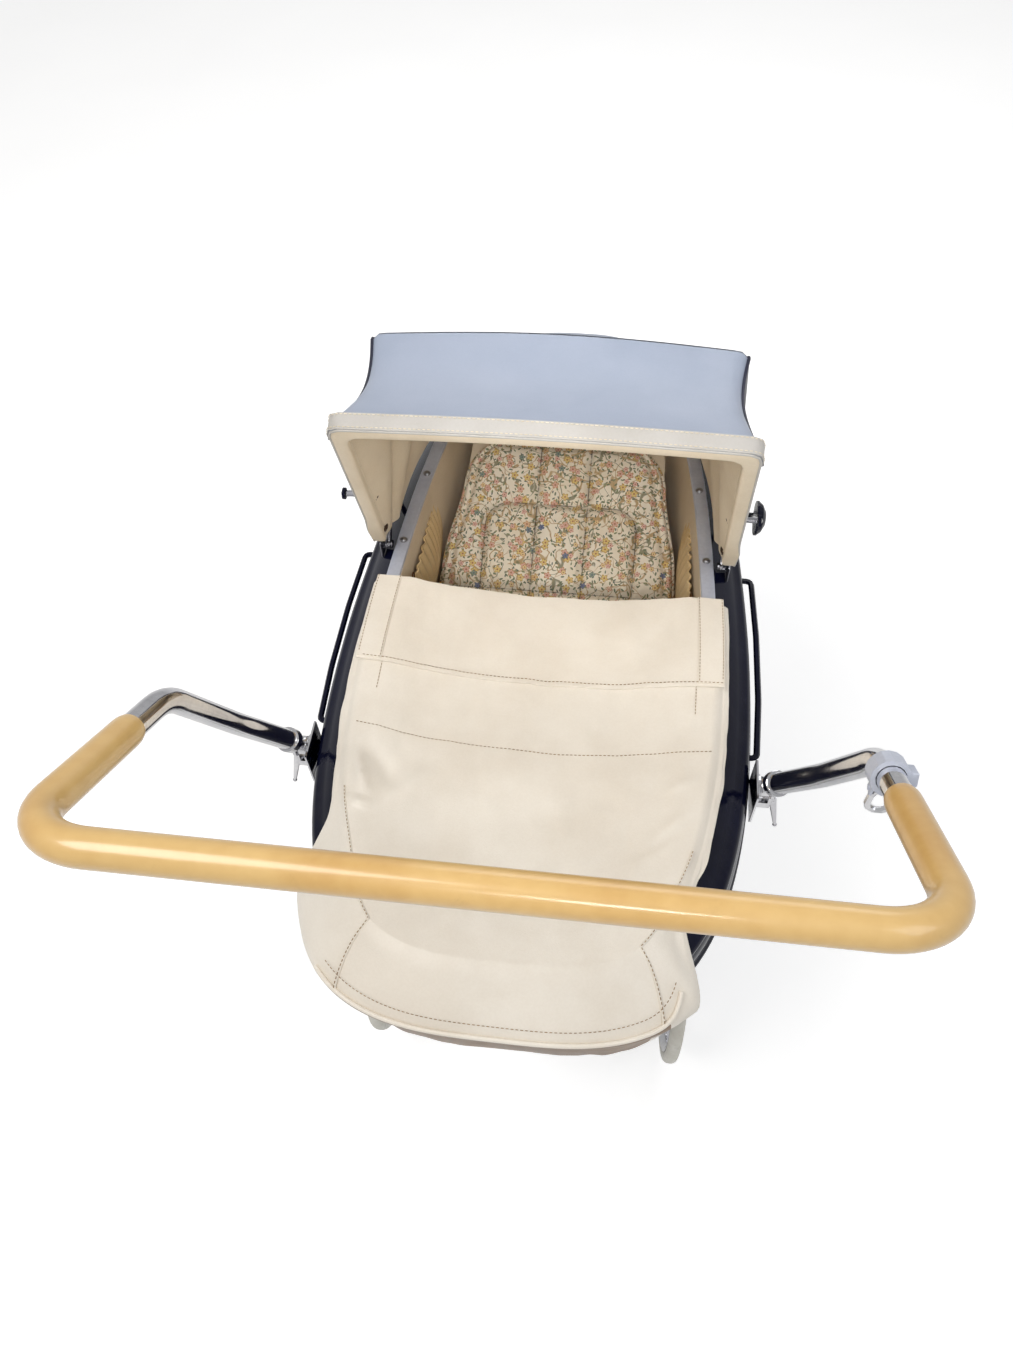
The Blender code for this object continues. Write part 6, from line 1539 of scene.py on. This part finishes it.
def snap(name, at, towards, body):
    """A dark press stud: a low dome on a ring."""
    points = []
    facing = Vector(towards).to_track_quat("Z", "Y").to_matrix()
    profile = ((0.0018, 0.0030), (0.0038, 0.0023), (0.0046, 0.0012), (0.0058, 0.0013), (0.0066, 0.0006),
               (0.0066, -0.0006))
    for radius, rise in profile:
        for step in range(16):
            turn = math.pi * step / 8
            points.append(Vector(at) + facing @ Vector((radius * math.cos(turn), radius * math.sin(turn),
                                                        rise)))
    faces = grid_faces(len(profile), 16, around=True)
    faces += [tuple(reversed(range(16))), tuple(range(len(points) - 16, len(points)))]
    made = mesh_object(name, points, faces, ["dark_metal"])
    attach(made, body)


def hood_edges(panels):
    """The rolled front hem with its piping, and the piped seams along the top's corners."""
    lift = HOOD_CLOTH_LIFT
    hem = bow_line(0, lift - 0.0006, 0.0, 0.0070)
    tube("hood_piping_front", hem, 0.0013, "hood_band", sides=10, body="hood_front")
    band = [bow_line(0, lift + 0.0012, 0.0, ahead)[TOP_FIRST:TOP_LAST + 1]
            for ahead in (0.0066, 0.003, -0.001, -0.005, -0.009)]
    facing = cloth("hood_band", band, 0.0009, ["hood_band"], None, "hood_front")
    as_sheet(band)
    lines = [bow_line(0, lift + 0.0021, 0.0, ahead)[TOP_FIRST:TOP_LAST + 1] for ahead in (0.0046, -0.0074)]
    inner = [bow_line(0, LINING_LIFT - 0.0009, 0.0, 0.001, 0.045)]
    stitches("hood_stitching", lines + inner, "pale_thread", "hood_front", "pale_hood_cloth")
    for side in (-1, 1):
        for reach, number in ((0.130, 1), (0.050, 2)):
            half = HOOD_ARM_LAYERS[0] + LINING_LIFT - 0.0009
            half -= (HOOD_ARM_LAYERS[0] - HOOD_TOP_HALF_WIDTH[0]) / HOOD_RADII[0] * reach
            snap("hood_snap_%d_%s" % (number, "right" if side > 0 else "left"),
                 bow_point(0, side * half, reach, -4.0), (-side, 0.0, 0.0), "hood_front")
    bodies = (("hood_front", "hood_middle"), ("hood_middle", "hood_rear"), ("hood_rear", "root"))
    for rows, (a, b), name in zip(panels, bodies, ("front", "middle", "rear")):
        for column, side in ((TOP_FIRST, "right"), (TOP_LAST, "left")):
            path = [row[column] + Vector((math.copysign(0.0010, row[column].x), 0, 0.0010)) for row in rows]
            seam = tube("hood_seam_%s_%s" % (name, side), path, 0.0017, "hood_side", sides=8, body=None)
            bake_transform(seam)


# Camera, light and floor


PHOTO = (1013, 1350)
FOCAL_PIXELS = 1019.0
CAMERA_AT = Vector((0.07, -0.705, 1.59))
CAMERA_YAW, CAMERA_PITCH, CAMERA_ROLL = (math.radians(angle) for angle in (9.56, -55.2, -3.19))
KEY_WATTS, FILL_WATTS, BACK_WATTS, QUILT_WATTS = 37, 14, 14, 50
QUILT_CONE = 24.0        # degrees of the lamp that reaches in under the hood
SKY_LIGHT = 0.50         # on the pram and in its reflections; the camera sees plain white
FLOOR_GLOW = 0.35        # seen by the camera alone
FLOOR_REACH = 9.0


def camera():
    forward = Vector((-math.sin(CAMERA_YAW) * math.cos(CAMERA_PITCH),
                      math.cos(CAMERA_YAW) * math.cos(CAMERA_PITCH), math.sin(CAMERA_PITCH)))
    level = Vector((math.cos(CAMERA_YAW), math.sin(CAMERA_YAW), 0))
    upright = level.cross(forward)
    right = level * math.cos(CAMERA_ROLL) + upright * math.sin(CAMERA_ROLL)
    up = upright * math.cos(CAMERA_ROLL) - level * math.sin(CAMERA_ROLL)
    data = bpy.data.cameras.new("camera")
    data.sensor_fit = "AUTO"
    data.sensor_width = 36.0
    data.lens = FOCAL_PIXELS / max(PHOTO) * data.sensor_width
    data.clip_start = 0.02
    made = bpy.data.objects.new("camera", data)
    turn = Matrix((right, up, -forward)).transposed()
    made.matrix_world = Matrix.Translation(CAMERA_AT) @ turn.to_4x4()
    bpy.context.scene.collection.objects.link(made)
    bpy.context.scene.camera = made


def world():
    made = bpy.data.worlds.new("studio")
    made.use_nodes = True
    net = Net(made.node_tree)
    rays = net.add("ShaderNodeLightPath").outputs
    seen = net.math("MAXIMUM", rays["Is Camera Ray"], rays["Is Transmission Ray"])
    shine = net.math("MULTIPLY", rays["Is Glossy Ray"], SKY_LIGHT)
    strength = net.math("MAXIMUM", net.math("MAXIMUM", seen, shine), SKY_LIGHT)
    back = made.node_tree.nodes["Background"]
    back.inputs["Color"].default_value = (1.0, 1.0, 1.0, 1.0)
    net.feed(back.inputs["Strength"], strength)
    bpy.context.scene.world = made


def lamp(name, kind, at, towards, power, colour, **looks):
    """A lamp that looks from one place towards another; looks are its own settings."""
    data = bpy.data.lights.new(name, kind)
    data.energy = power
    data.color = colour
    for setting, value in looks.items():
        setattr(data, setting, value)
    made = bpy.data.objects.new(name, data)
    made.location = at
    made.rotation_euler = (Vector(towards) - Vector(at)).to_track_quat("-Z", "Y").to_euler()
    bpy.context.scene.collection.objects.link(made)


def softbox(name, at, towards, size, power, colour=(1.0, 1.0, 1.0)):
    lamp(name, "AREA", at, towards, power, colour, shape="RECTANGLE", size=size[0], size_y=size[1])


def floor():
    made, net, shader = material("pale_floor", Roughness=0.9)
    where = net.add("ShaderNodeTexCoord").outputs["Object"]
    tone = net.mix(net.noise(where, 3.0, 3.0), shade(250, 250, 250), shade(244, 244, 244))
    net.feed(shader.inputs["Base Color"], tone)
    shader.inputs["Emission Color"].default_value = (1.0, 1.0, 1.0, 1.0)
    seen = net.add("ShaderNodeLightPath").outputs["Is Camera Ray"]
    net.feed(shader.inputs["Emission Strength"], net.math("MULTIPLY", seen, FLOOR_GLOW))
    mesh = bpy.data.meshes.new("floor")
    corners = [(x * FLOOR_REACH, y * FLOOR_REACH, 0) for x, y in ((-1, -1), (1, -1), (1, 1), (-1, 1))]
    mesh.from_pydata(corners, [], [(0, 1, 2, 3)])
    mesh.materials.append(made)
    obj = bpy.data.objects.new("floor", mesh)
    bpy.context.scene.collection.objects.link(obj)


def stage():
    camera()
    world()
    floor()
    softbox("key", (-1.1, -0.9, 3.0), (0, 0.0, 0.6), (1.3, 1.3), KEY_WATTS, (1.0, 0.97, 0.93))
    softbox("fill", (1.7, -1.0, 2.6), (0, 0.1, 0.6), (1.4, 1.4), FILL_WATTS, (0.95, 0.97, 1.0))
    lamp("inside", "SPOT", (0.10, -0.95, 1.75), (0.0, 0.27, 0.70), QUILT_WATTS, (1.0, 0.98, 0.95),
         spot_size=math.radians(QUILT_CONE), spot_blend=0.9, shadow_soft_size=0.22)
    softbox("back", (0.4, 2.4, 2.4), (0, 0, 0.7), (1.8, 1.2), BACK_WATTS)
    bpy.context.scene.view_settings.view_transform = "Standard"


# Finer shells of the hull, its band and the grip


def fine_hull():
    angles = plan_angles(160)
    depths = [0.0, 0.006, 0.012, 0.020, 0.027]
    for centre in BEAD_DEPTHS:
        depths += [centre + BEAD_HALF * step for step in (-1.0, -0.72, -0.4, 0.0, 0.4, 0.72, 1.0)]
    depths += [0.052, 0.059, 0.066, 0.092, 0.104, 0.116, 0.130, 0.145, 0.160, 0.180, 0.200, 0.222, 0.240,
               0.255, 0.268, 0.278, 0.286, HULL_DEPTH]
    points = []
    for depth in sorted(depths):
        near = min(abs(depth - centre) for centre in BEAD_DEPTHS) / BEAD_HALF
        bead = BEAD_HEIGHT * math.sqrt(max(0.0, 1 - near ** 2))
        points += [hull_point(angle, depth, bead) for angle in angles]
    for shrink in (0.85, 0.6, 0.35, 0.12):
        for angle in angles:
            spot, _ = superellipse(angle, KEEL_HALF_WIDTH * shrink, KEEL_HALF_LENGTH * shrink)
            share = spot.y / KEEL_HALF_LENGTH
            height = RIM_Z + RIM_SHEER * share ** 2 - HULL_DEPTH * (1 - HULL_ROCKER * share ** 4)
            points.append(Vector((spot.x * head_taper(spot.y + BODY_Y), spot.y + BODY_Y, height)))
    rows = len(points) // len(angles)
    faces = grid_faces(rows, len(angles), around=True)
    faces.append(tuple(range((rows - 1) * len(angles), rows * len(angles))))
    shell = mesh_object("body_shell", points, faces, ["navy"])
    wall = shell.modifiers.new("wall", "SOLIDIFY")
    wall.thickness = HULL_WALL * 0.9
    wall.offset = -1.0
    baked(shell)
    tidy_mesh(shell, 60.0)
    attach(shell, "root")
    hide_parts("body_hull")


def fine_band():
    angles = plan_angles(160)
    inner = BAND_OVERHANG - BAND_WIDTH
    section = []
    for out, rise, start in ((BAND_OVERHANG, BAND_THICK, 0), (inner, BAND_THICK, 90)):
        turn_in = -1 if start == 0 else 1
        for step in range(4):
            turn = math.radians(start + 30 * step)
            section.append((out + turn_in * 0.0014 + 0.0014 * math.cos(turn),
                            rise - 0.0014 + 0.0014 * math.sin(turn)))
    section += [(inner, SEAT), (BAND_OVERHANG, SEAT)]
    points = []
    for out, rise in section:
        points += [hull_point(angle, 0.0, out) + Vector((0, 0, rise)) for angle in angles]
    faces = grid_faces(len(section), len(angles), around=True)
    last = (len(section) - 1) * len(angles)
    count = len(angles)
    faces += [(last + index, last + (index + 1) % count, (index + 1) % count, index)
              for index in range(count)]
    band = mesh_object("rim_strip", points, faces, ["satin"], None, 40.0)
    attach(band, "root")
    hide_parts("rim_band")
    for y in STUD_PLACES:
        for side in (-1, 1):
            angle = rim_angle(y, side)
            middle = hull_point(angle, 0.0, BAND_OVERHANG - BAND_WIDTH / 2) + Vector((0, 0, BAND_THICK))
            stud_cap("rim_stud_%d_%s" % (round(y * 1000), "right" if side > 0 else "left"), middle)


def stud_cap(name, middle):
    """A domed press stud with a rolled foot."""
    profile = ((0.0, 0.0026), (0.0016, 0.0024), (0.0028, 0.0018), (0.0034, 0.0010), (0.0036, 0.0006),
               (0.0043, 0.0007), (0.0046, 0.0003), (0.0046, -0.0004))
    points, faces = [], []
    for radius, rise in profile[1:]:
        for step in range(16):
            turn = 2 * math.pi * step / 16
            points.append(middle + Vector((radius * math.cos(turn), radius * math.sin(turn), rise)))
    faces = grid_faces(len(profile) - 1, 16, around=True)
    faces.append(tuple(reversed(range(16))))
    faces.append(tuple(range(len(points) - 16, len(points))))
    made = mesh_object(name, points, faces, ["steel"])
    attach(made, "root")


def fine_handle():
    """The plated tube from hinge to hinge, with its eyes, necks and collars."""
    pivot, bend = Vector(HANDLE_PIVOT), Vector(HANDLE_BEND)
    root = pivot + (bend - pivot).normalized() * HANDLE_NECK
    middle = pivot.lerp(bend, 0.50) + Vector((0.007, 0.0, 0.0))
    half = [root, middle, bend, Vector(HANDLE_CORNER)]
    corners = half + [Vector((-spot.x, spot.y, spot.z)) for spot in reversed(half)]
    radii = (HANDLE_SWAN, HANDLE_BEND_RADIUS, HANDLE_CORNER_RADIUS)
    path = resampled(rounded_path(corners, radii + tuple(reversed(radii)), steps=24), 300)
    bar = tube("handle_bar", path, HANDLE_TUBE, "chrome", 28, "handle")
    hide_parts("handle_tube")
    half_eye, eye = HINGE_EYE
    for side, name in ((-1, "left"), (1, "right")):
        at = Vector((side * pivot.x, pivot.y, pivot.z))
        foot = Vector((side * root.x, root.y, root.z))
        ahead = (Vector((side * middle.x, middle.y, middle.z)) - foot).normalized()
        eye_path = [at + Vector((place * half_eye, 0.0, 0.0)) for place in (-1.0, -0.86, 0.86, 1.0)]
        tube("handle_eye_" + name, eye_path, [eye * 0.92, eye, eye, eye * 0.92], "chrome", 28,
             "handle")
        neck = [at.lerp(foot, share) for share in (0.15, 0.5, 0.85, 1.0)]
        tube("handle_neck_" + name, neck, [half_eye, half_eye, half_eye * 1.2, HANDLE_TUBE],
             "chrome", 20, "handle")
        collar = [foot + ahead * place for place in (-0.001, 0.0, 0.009, 0.010)]
        rim = HANDLE_TUBE + 0.0022
        tube("handle_collar_" + name, collar, [rim - 0.0012, rim, rim, rim - 0.0012], "chrome",
             28, "handle")


def fine_grip():
    bend, corner = Vector(HANDLE_BEND), Vector(HANDLE_CORNER)
    half = [bend.lerp(corner, GRIP_START), corner]
    corners = half + [Vector((-spot.x, spot.y, spot.z)) for spot in reversed(half)]
    path = rounded_path(corners, (HANDLE_CORNER_RADIUS,) * 2, steps=14)
    path = resampled(path, 160)
    radii = []
    for index in range(len(path)):
        edge = min(index, len(path) - 1 - index)
        radii.append(HANDLE_GRIP * (0.90 if edge == 0 else 0.985 if edge == 1 else 1.0))
    grip = tube("grip_sleeve", path, radii, "ivory", sides=28, body="handle")
    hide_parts("handle_grip")


# Mattress and pockets


def fine_mattress():
    """A flat pad over the floor board, crowned."""
    low, high = node_box("mattress")
    half_x, half_y = (high.x - low.x) / 2, (high.y - low.y) / 2
    middle = (low + high) / 2
    rows, around = 9, 96
    points = []
    for layer in (0, 1):
        for row in range(rows):
            shrink = 1 - (row / rows) if layer else (row + 1) / rows
            crown = math.sqrt(max(0.0, 1 - (1 - min(1.0, (1 - shrink) / 0.12)) ** 2))
            rise = (half_z(low, high) - 0.002) * (0.45 + 0.55 * crown)
            for step in range(around):
                turn = 2 * math.pi * step / around
                x = half_x * shrink * math.copysign(abs(math.cos(turn)) ** 0.62, math.cos(turn))
                y = half_y * shrink * math.copysign(abs(math.sin(turn)) ** 0.62, math.sin(turn))
                dimple = 0.0012 * ripple(x, y, 0.05, 0.07, 3.0 + layer)
                points.append(middle + Vector((x, y, (rise + dimple) * (1 if not layer else -1))))
    faces = grid_faces(2 * rows, around, around=True)
    faces += [tuple(reversed(range(around))), tuple(range(len(points) - around, len(points)))]
    pad = mesh_object("mattress_pad", points, faces, ["lining"])
    tidy_mesh(pad, 70.0)
    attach(pad, "root")
    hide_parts("mattress")


def half_z(low, high):
    return (high.z - low.z) / 2


def node_box(node):
    """The low and high corner of a node of the frame."""
    obj = bpy.data.objects[node]
    corners = [obj.matrix_world @ Vector(corner) for corner in obj.bound_box]
    return (Vector([min(spot[axis] for spot in corners) for axis in range(3)]),
            Vector([max(spot[axis] for spot in corners) for axis in range(3)]))


def fine_pocket(side, name):
    """A gathered pocket on the lining: pleats run down from its drawn upper hem."""
    low, high = node_box("pocket_" + name)
    inner = low.x if side > 0 else high.x
    outer = high.x if side > 0 else low.x
    thick = abs(outer - inner)
    rows = []
    for row in range(30):
        share = row / 29
        belly = math.sin(math.pi * min(1.0, share * 1.15 + 0.05)) ** 0.7
        line = []
        for column in range(180):
            along = column / 179
            end = math.sin(math.pi * along) ** 0.35 if 0 < along < 1 else 0.0
            pleat = 0.5 + 0.5 * math.sin(along * 2 * math.pi * 13 + 1.6 * math.sin(share * 2 + along * 9))
            out = thick * (0.10 + 0.50 * belly * end + 0.12 * pleat * (1 - 0.65 * share) * end)
            y = low.y + (high.y - low.y) * along
            z = high.z - (high.z - low.z) * (share * (1 - 0.10 * (2 * along - 1) ** 4)) - 0.004
            line.append(Vector((outer - side * min(out, thick * 0.97), y, z)))
        rows.append(line)
    made = cloth("pocket_cloth_" + name, rows, 0.0009, ["pocket"], None, "root")
    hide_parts("pocket_" + name)
    hem = tube("pocket_hem_" + name, rows[0], 0.0014, "pocket", sides=8)
    ring = []
    for step in range(25):
        turn = 2 * math.pi * step / 24
        off = (-side * 0.0014, 0.0060 * math.cos(turn), 0.0080 + 0.0075 * math.sin(turn))
        ring.append(rows[0][8] + Vector(off))
    tube("pocket_clip_" + name, ring, 0.0008, "tan_wire", sides=8)
    return made, hem, rows


# Wheels


WHEEL_RADIUS, WHEEL_TRACK, WHEEL_Y = 0.175, 0.202, (-0.158, 0.292)
TYRE_DEEP, TYRE_HALF_WIDTH, RIM_DEEP = 0.0170, 0.0090, 0.0075
TYRE_POWER = 0.8         # its section is squarer than a circle
TYRE_STEPS, WHEEL_STEPS = 20, 96
HUB_RADIUS, HUB_HALF, AXLE_BORE = 0.0135, 0.0190, 0.0062
SPOKES, SPOKE_RADIUS, SPOKE_LEAN = 14, 0.0012, 0.0100


def ring(points, faces, section, count, closed):
    """A turned part about the X axis, added to a mesh; its section is (radius, x)."""
    start = len(points)
    for radius, x in section:
        for step in range(count):
            turn = 2 * math.pi * (step + 0.5) / count
            points.append(Vector((x, radius * math.cos(turn), radius * math.sin(turn))))
    for row in range(len(section) if closed else len(section) - 1):
        after = (row + 1) % len(section)
        for step in range(count):
            beyond = (step + 1) % count
            faces.append((start + row * count + step, start + row * count + beyond,
                          start + after * count + beyond, start + after * count + step))


def spoke(points, faces, first, last, radius, sides=8):
    """A straight round spoke with a thicker nipple at its rim end, added to a mesh."""
    run = last - first
    turn = run.to_track_quat("Z", "Y").to_matrix()
    start = len(points)
    stations = ((0.0, 1.0), (0.90, 1.0), (0.91, 1.9), (1.0, 1.9))
    for share, grow in stations:
        for side in range(sides):
            angle = 2 * math.pi * side / sides
            off = Vector((math.cos(angle), math.sin(angle), 0)) * radius * grow
            points.append(first + run * share + turn @ off)
    faces.extend(tuple(start + index for index in face)
                 for face in grid_faces(len(stations), sides, around=True))
    faces.append(tuple(range(start, start + sides)))
    last_ring = start + (len(stations) - 1) * sides
    faces.append(tuple(reversed(range(last_ring, last_ring + sides))))


def fine_wheel(name, centre, side):
    outer, inner = WHEEL_RADIUS, WHEEL_RADIUS - TYRE_DEEP
    middle, half = (outer + inner) / 2, TYRE_DEEP / 2
    section = []
    for step in range(TYRE_STEPS):
        turn = 2 * math.pi * step / TYRE_STEPS
        across = math.copysign(abs(math.sin(turn)) ** TYRE_POWER, math.sin(turn))
        deep = math.copysign(abs(math.cos(turn)) ** TYRE_POWER, math.cos(turn))
        section.append((middle + half * deep, TYRE_HALF_WIDTH * across))
    points, faces = [], []
    ring(points, faces, section, WHEEL_STEPS, True)
    tyre = mesh_object("tyre_ring_" + name, points, faces, ["rubber"], None, 60.0)
    seat = inner - SEAT
    points, faces = [], []
    rim = [(seat + 0.0022, 0.0078), (seat + 0.0026, 0.0086), (seat + 0.0020, TYRE_HALF_WIDTH),
           (seat - 0.0010, 0.0080), (seat - RIM_DEEP, 0.0045), (seat - RIM_DEEP - 0.0008, 0.0030)]
    rim += [(radius, -x) for radius, x in reversed(rim)] + [(seat, -0.0060), (seat, 0.0060)]
    ring(points, faces, rim, WHEEL_STEPS, True)
    barrel = [(AXLE_BORE, HUB_HALF), (0.0096, HUB_HALF), (0.0100, HUB_HALF - 0.0005), (0.0104, 0.0140),
              (HUB_RADIUS - 0.0004, 0.0125), (HUB_RADIUS, 0.0118), (HUB_RADIUS, 0.0092),
              (HUB_RADIUS - 0.0004, 0.0085), (0.0104, 0.0068), (0.0100, 0.0)]
    barrel += [(radius, -x) for radius, x in reversed(barrel[:-1])]
    ring(points, faces, barrel, 32, True)
    cap = [(0.0004, HUB_HALF + 0.0080), (0.0030, HUB_HALF + 0.0077), (0.0060, HUB_HALF + 0.0066),
           (0.0082, HUB_HALF + 0.0046), (0.0092, HUB_HALF + 0.0022), (0.0096, HUB_HALF + 0.0002),
           (0.0004, HUB_HALF + 0.0002)]
    ring(points, faces, cap, 28, True)
    for index in range(SPOKES):
        turn = 2 * math.pi * (index + 0.5) / SPOKES
        out = Vector((0, math.cos(turn), math.sin(turn)))
        lean = Vector((SPOKE_LEAN if index % 2 else -SPOKE_LEAN, 0, 0))
        spoke(points, faces, out * (HUB_RADIUS - 0.002) + lean, out * (seat - RIM_DEEP + 0.001), SPOKE_RADIUS)
    wheel = mesh_object("wheel_ring_" + name, points, faces, ["chrome"], None, 40.0)
    for piece, node, slot in ((tyre, "tyre_", "white_rubber"), (wheel, "wheel_", "chrome_plate")):
        turned = Matrix.Translation(centre) @ Matrix.Rotation(0.0 if side > 0 else math.pi, 4, "Z")
        piece.data.transform(turned)
        tidy_mesh(piece, 45.0)
        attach(piece, "wheel_" + name)
        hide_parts(node + name)


def fine_wheels():
    for y, end in zip(WHEEL_Y, ("handle_end", "hood_end")):
        for side, hand in ((1, "right"), (-1, "left")):
            fine_wheel(end + "_" + hand, Vector((side * WHEEL_TRACK, y, WHEEL_RADIUS)), side)


# The pram


def dress_pram():
    cover = apron_piece()
    long = apron_length() + APRON_DROP
    apron_flap()
    apron_bindings()
    welts = apron_welts()
    threads = apron_stitching()
    # No pattern of the real apron is known.
    quilt()
    quilt_trim()
    backrest_facing()
    fine_mattress()
    for side, name in ((1, "right"), (-1, "left")):
        pocket, hem, rows = fine_pocket(side, name)
        as_sheet(rows)
    fine_hull()
    fine_band()
    fine_handle()
    fine_grip()
    fine_wheels()
    _, panels = hood_outer()
    hood_lining()
    hood_edges(panels)


dress_pram()
stage()
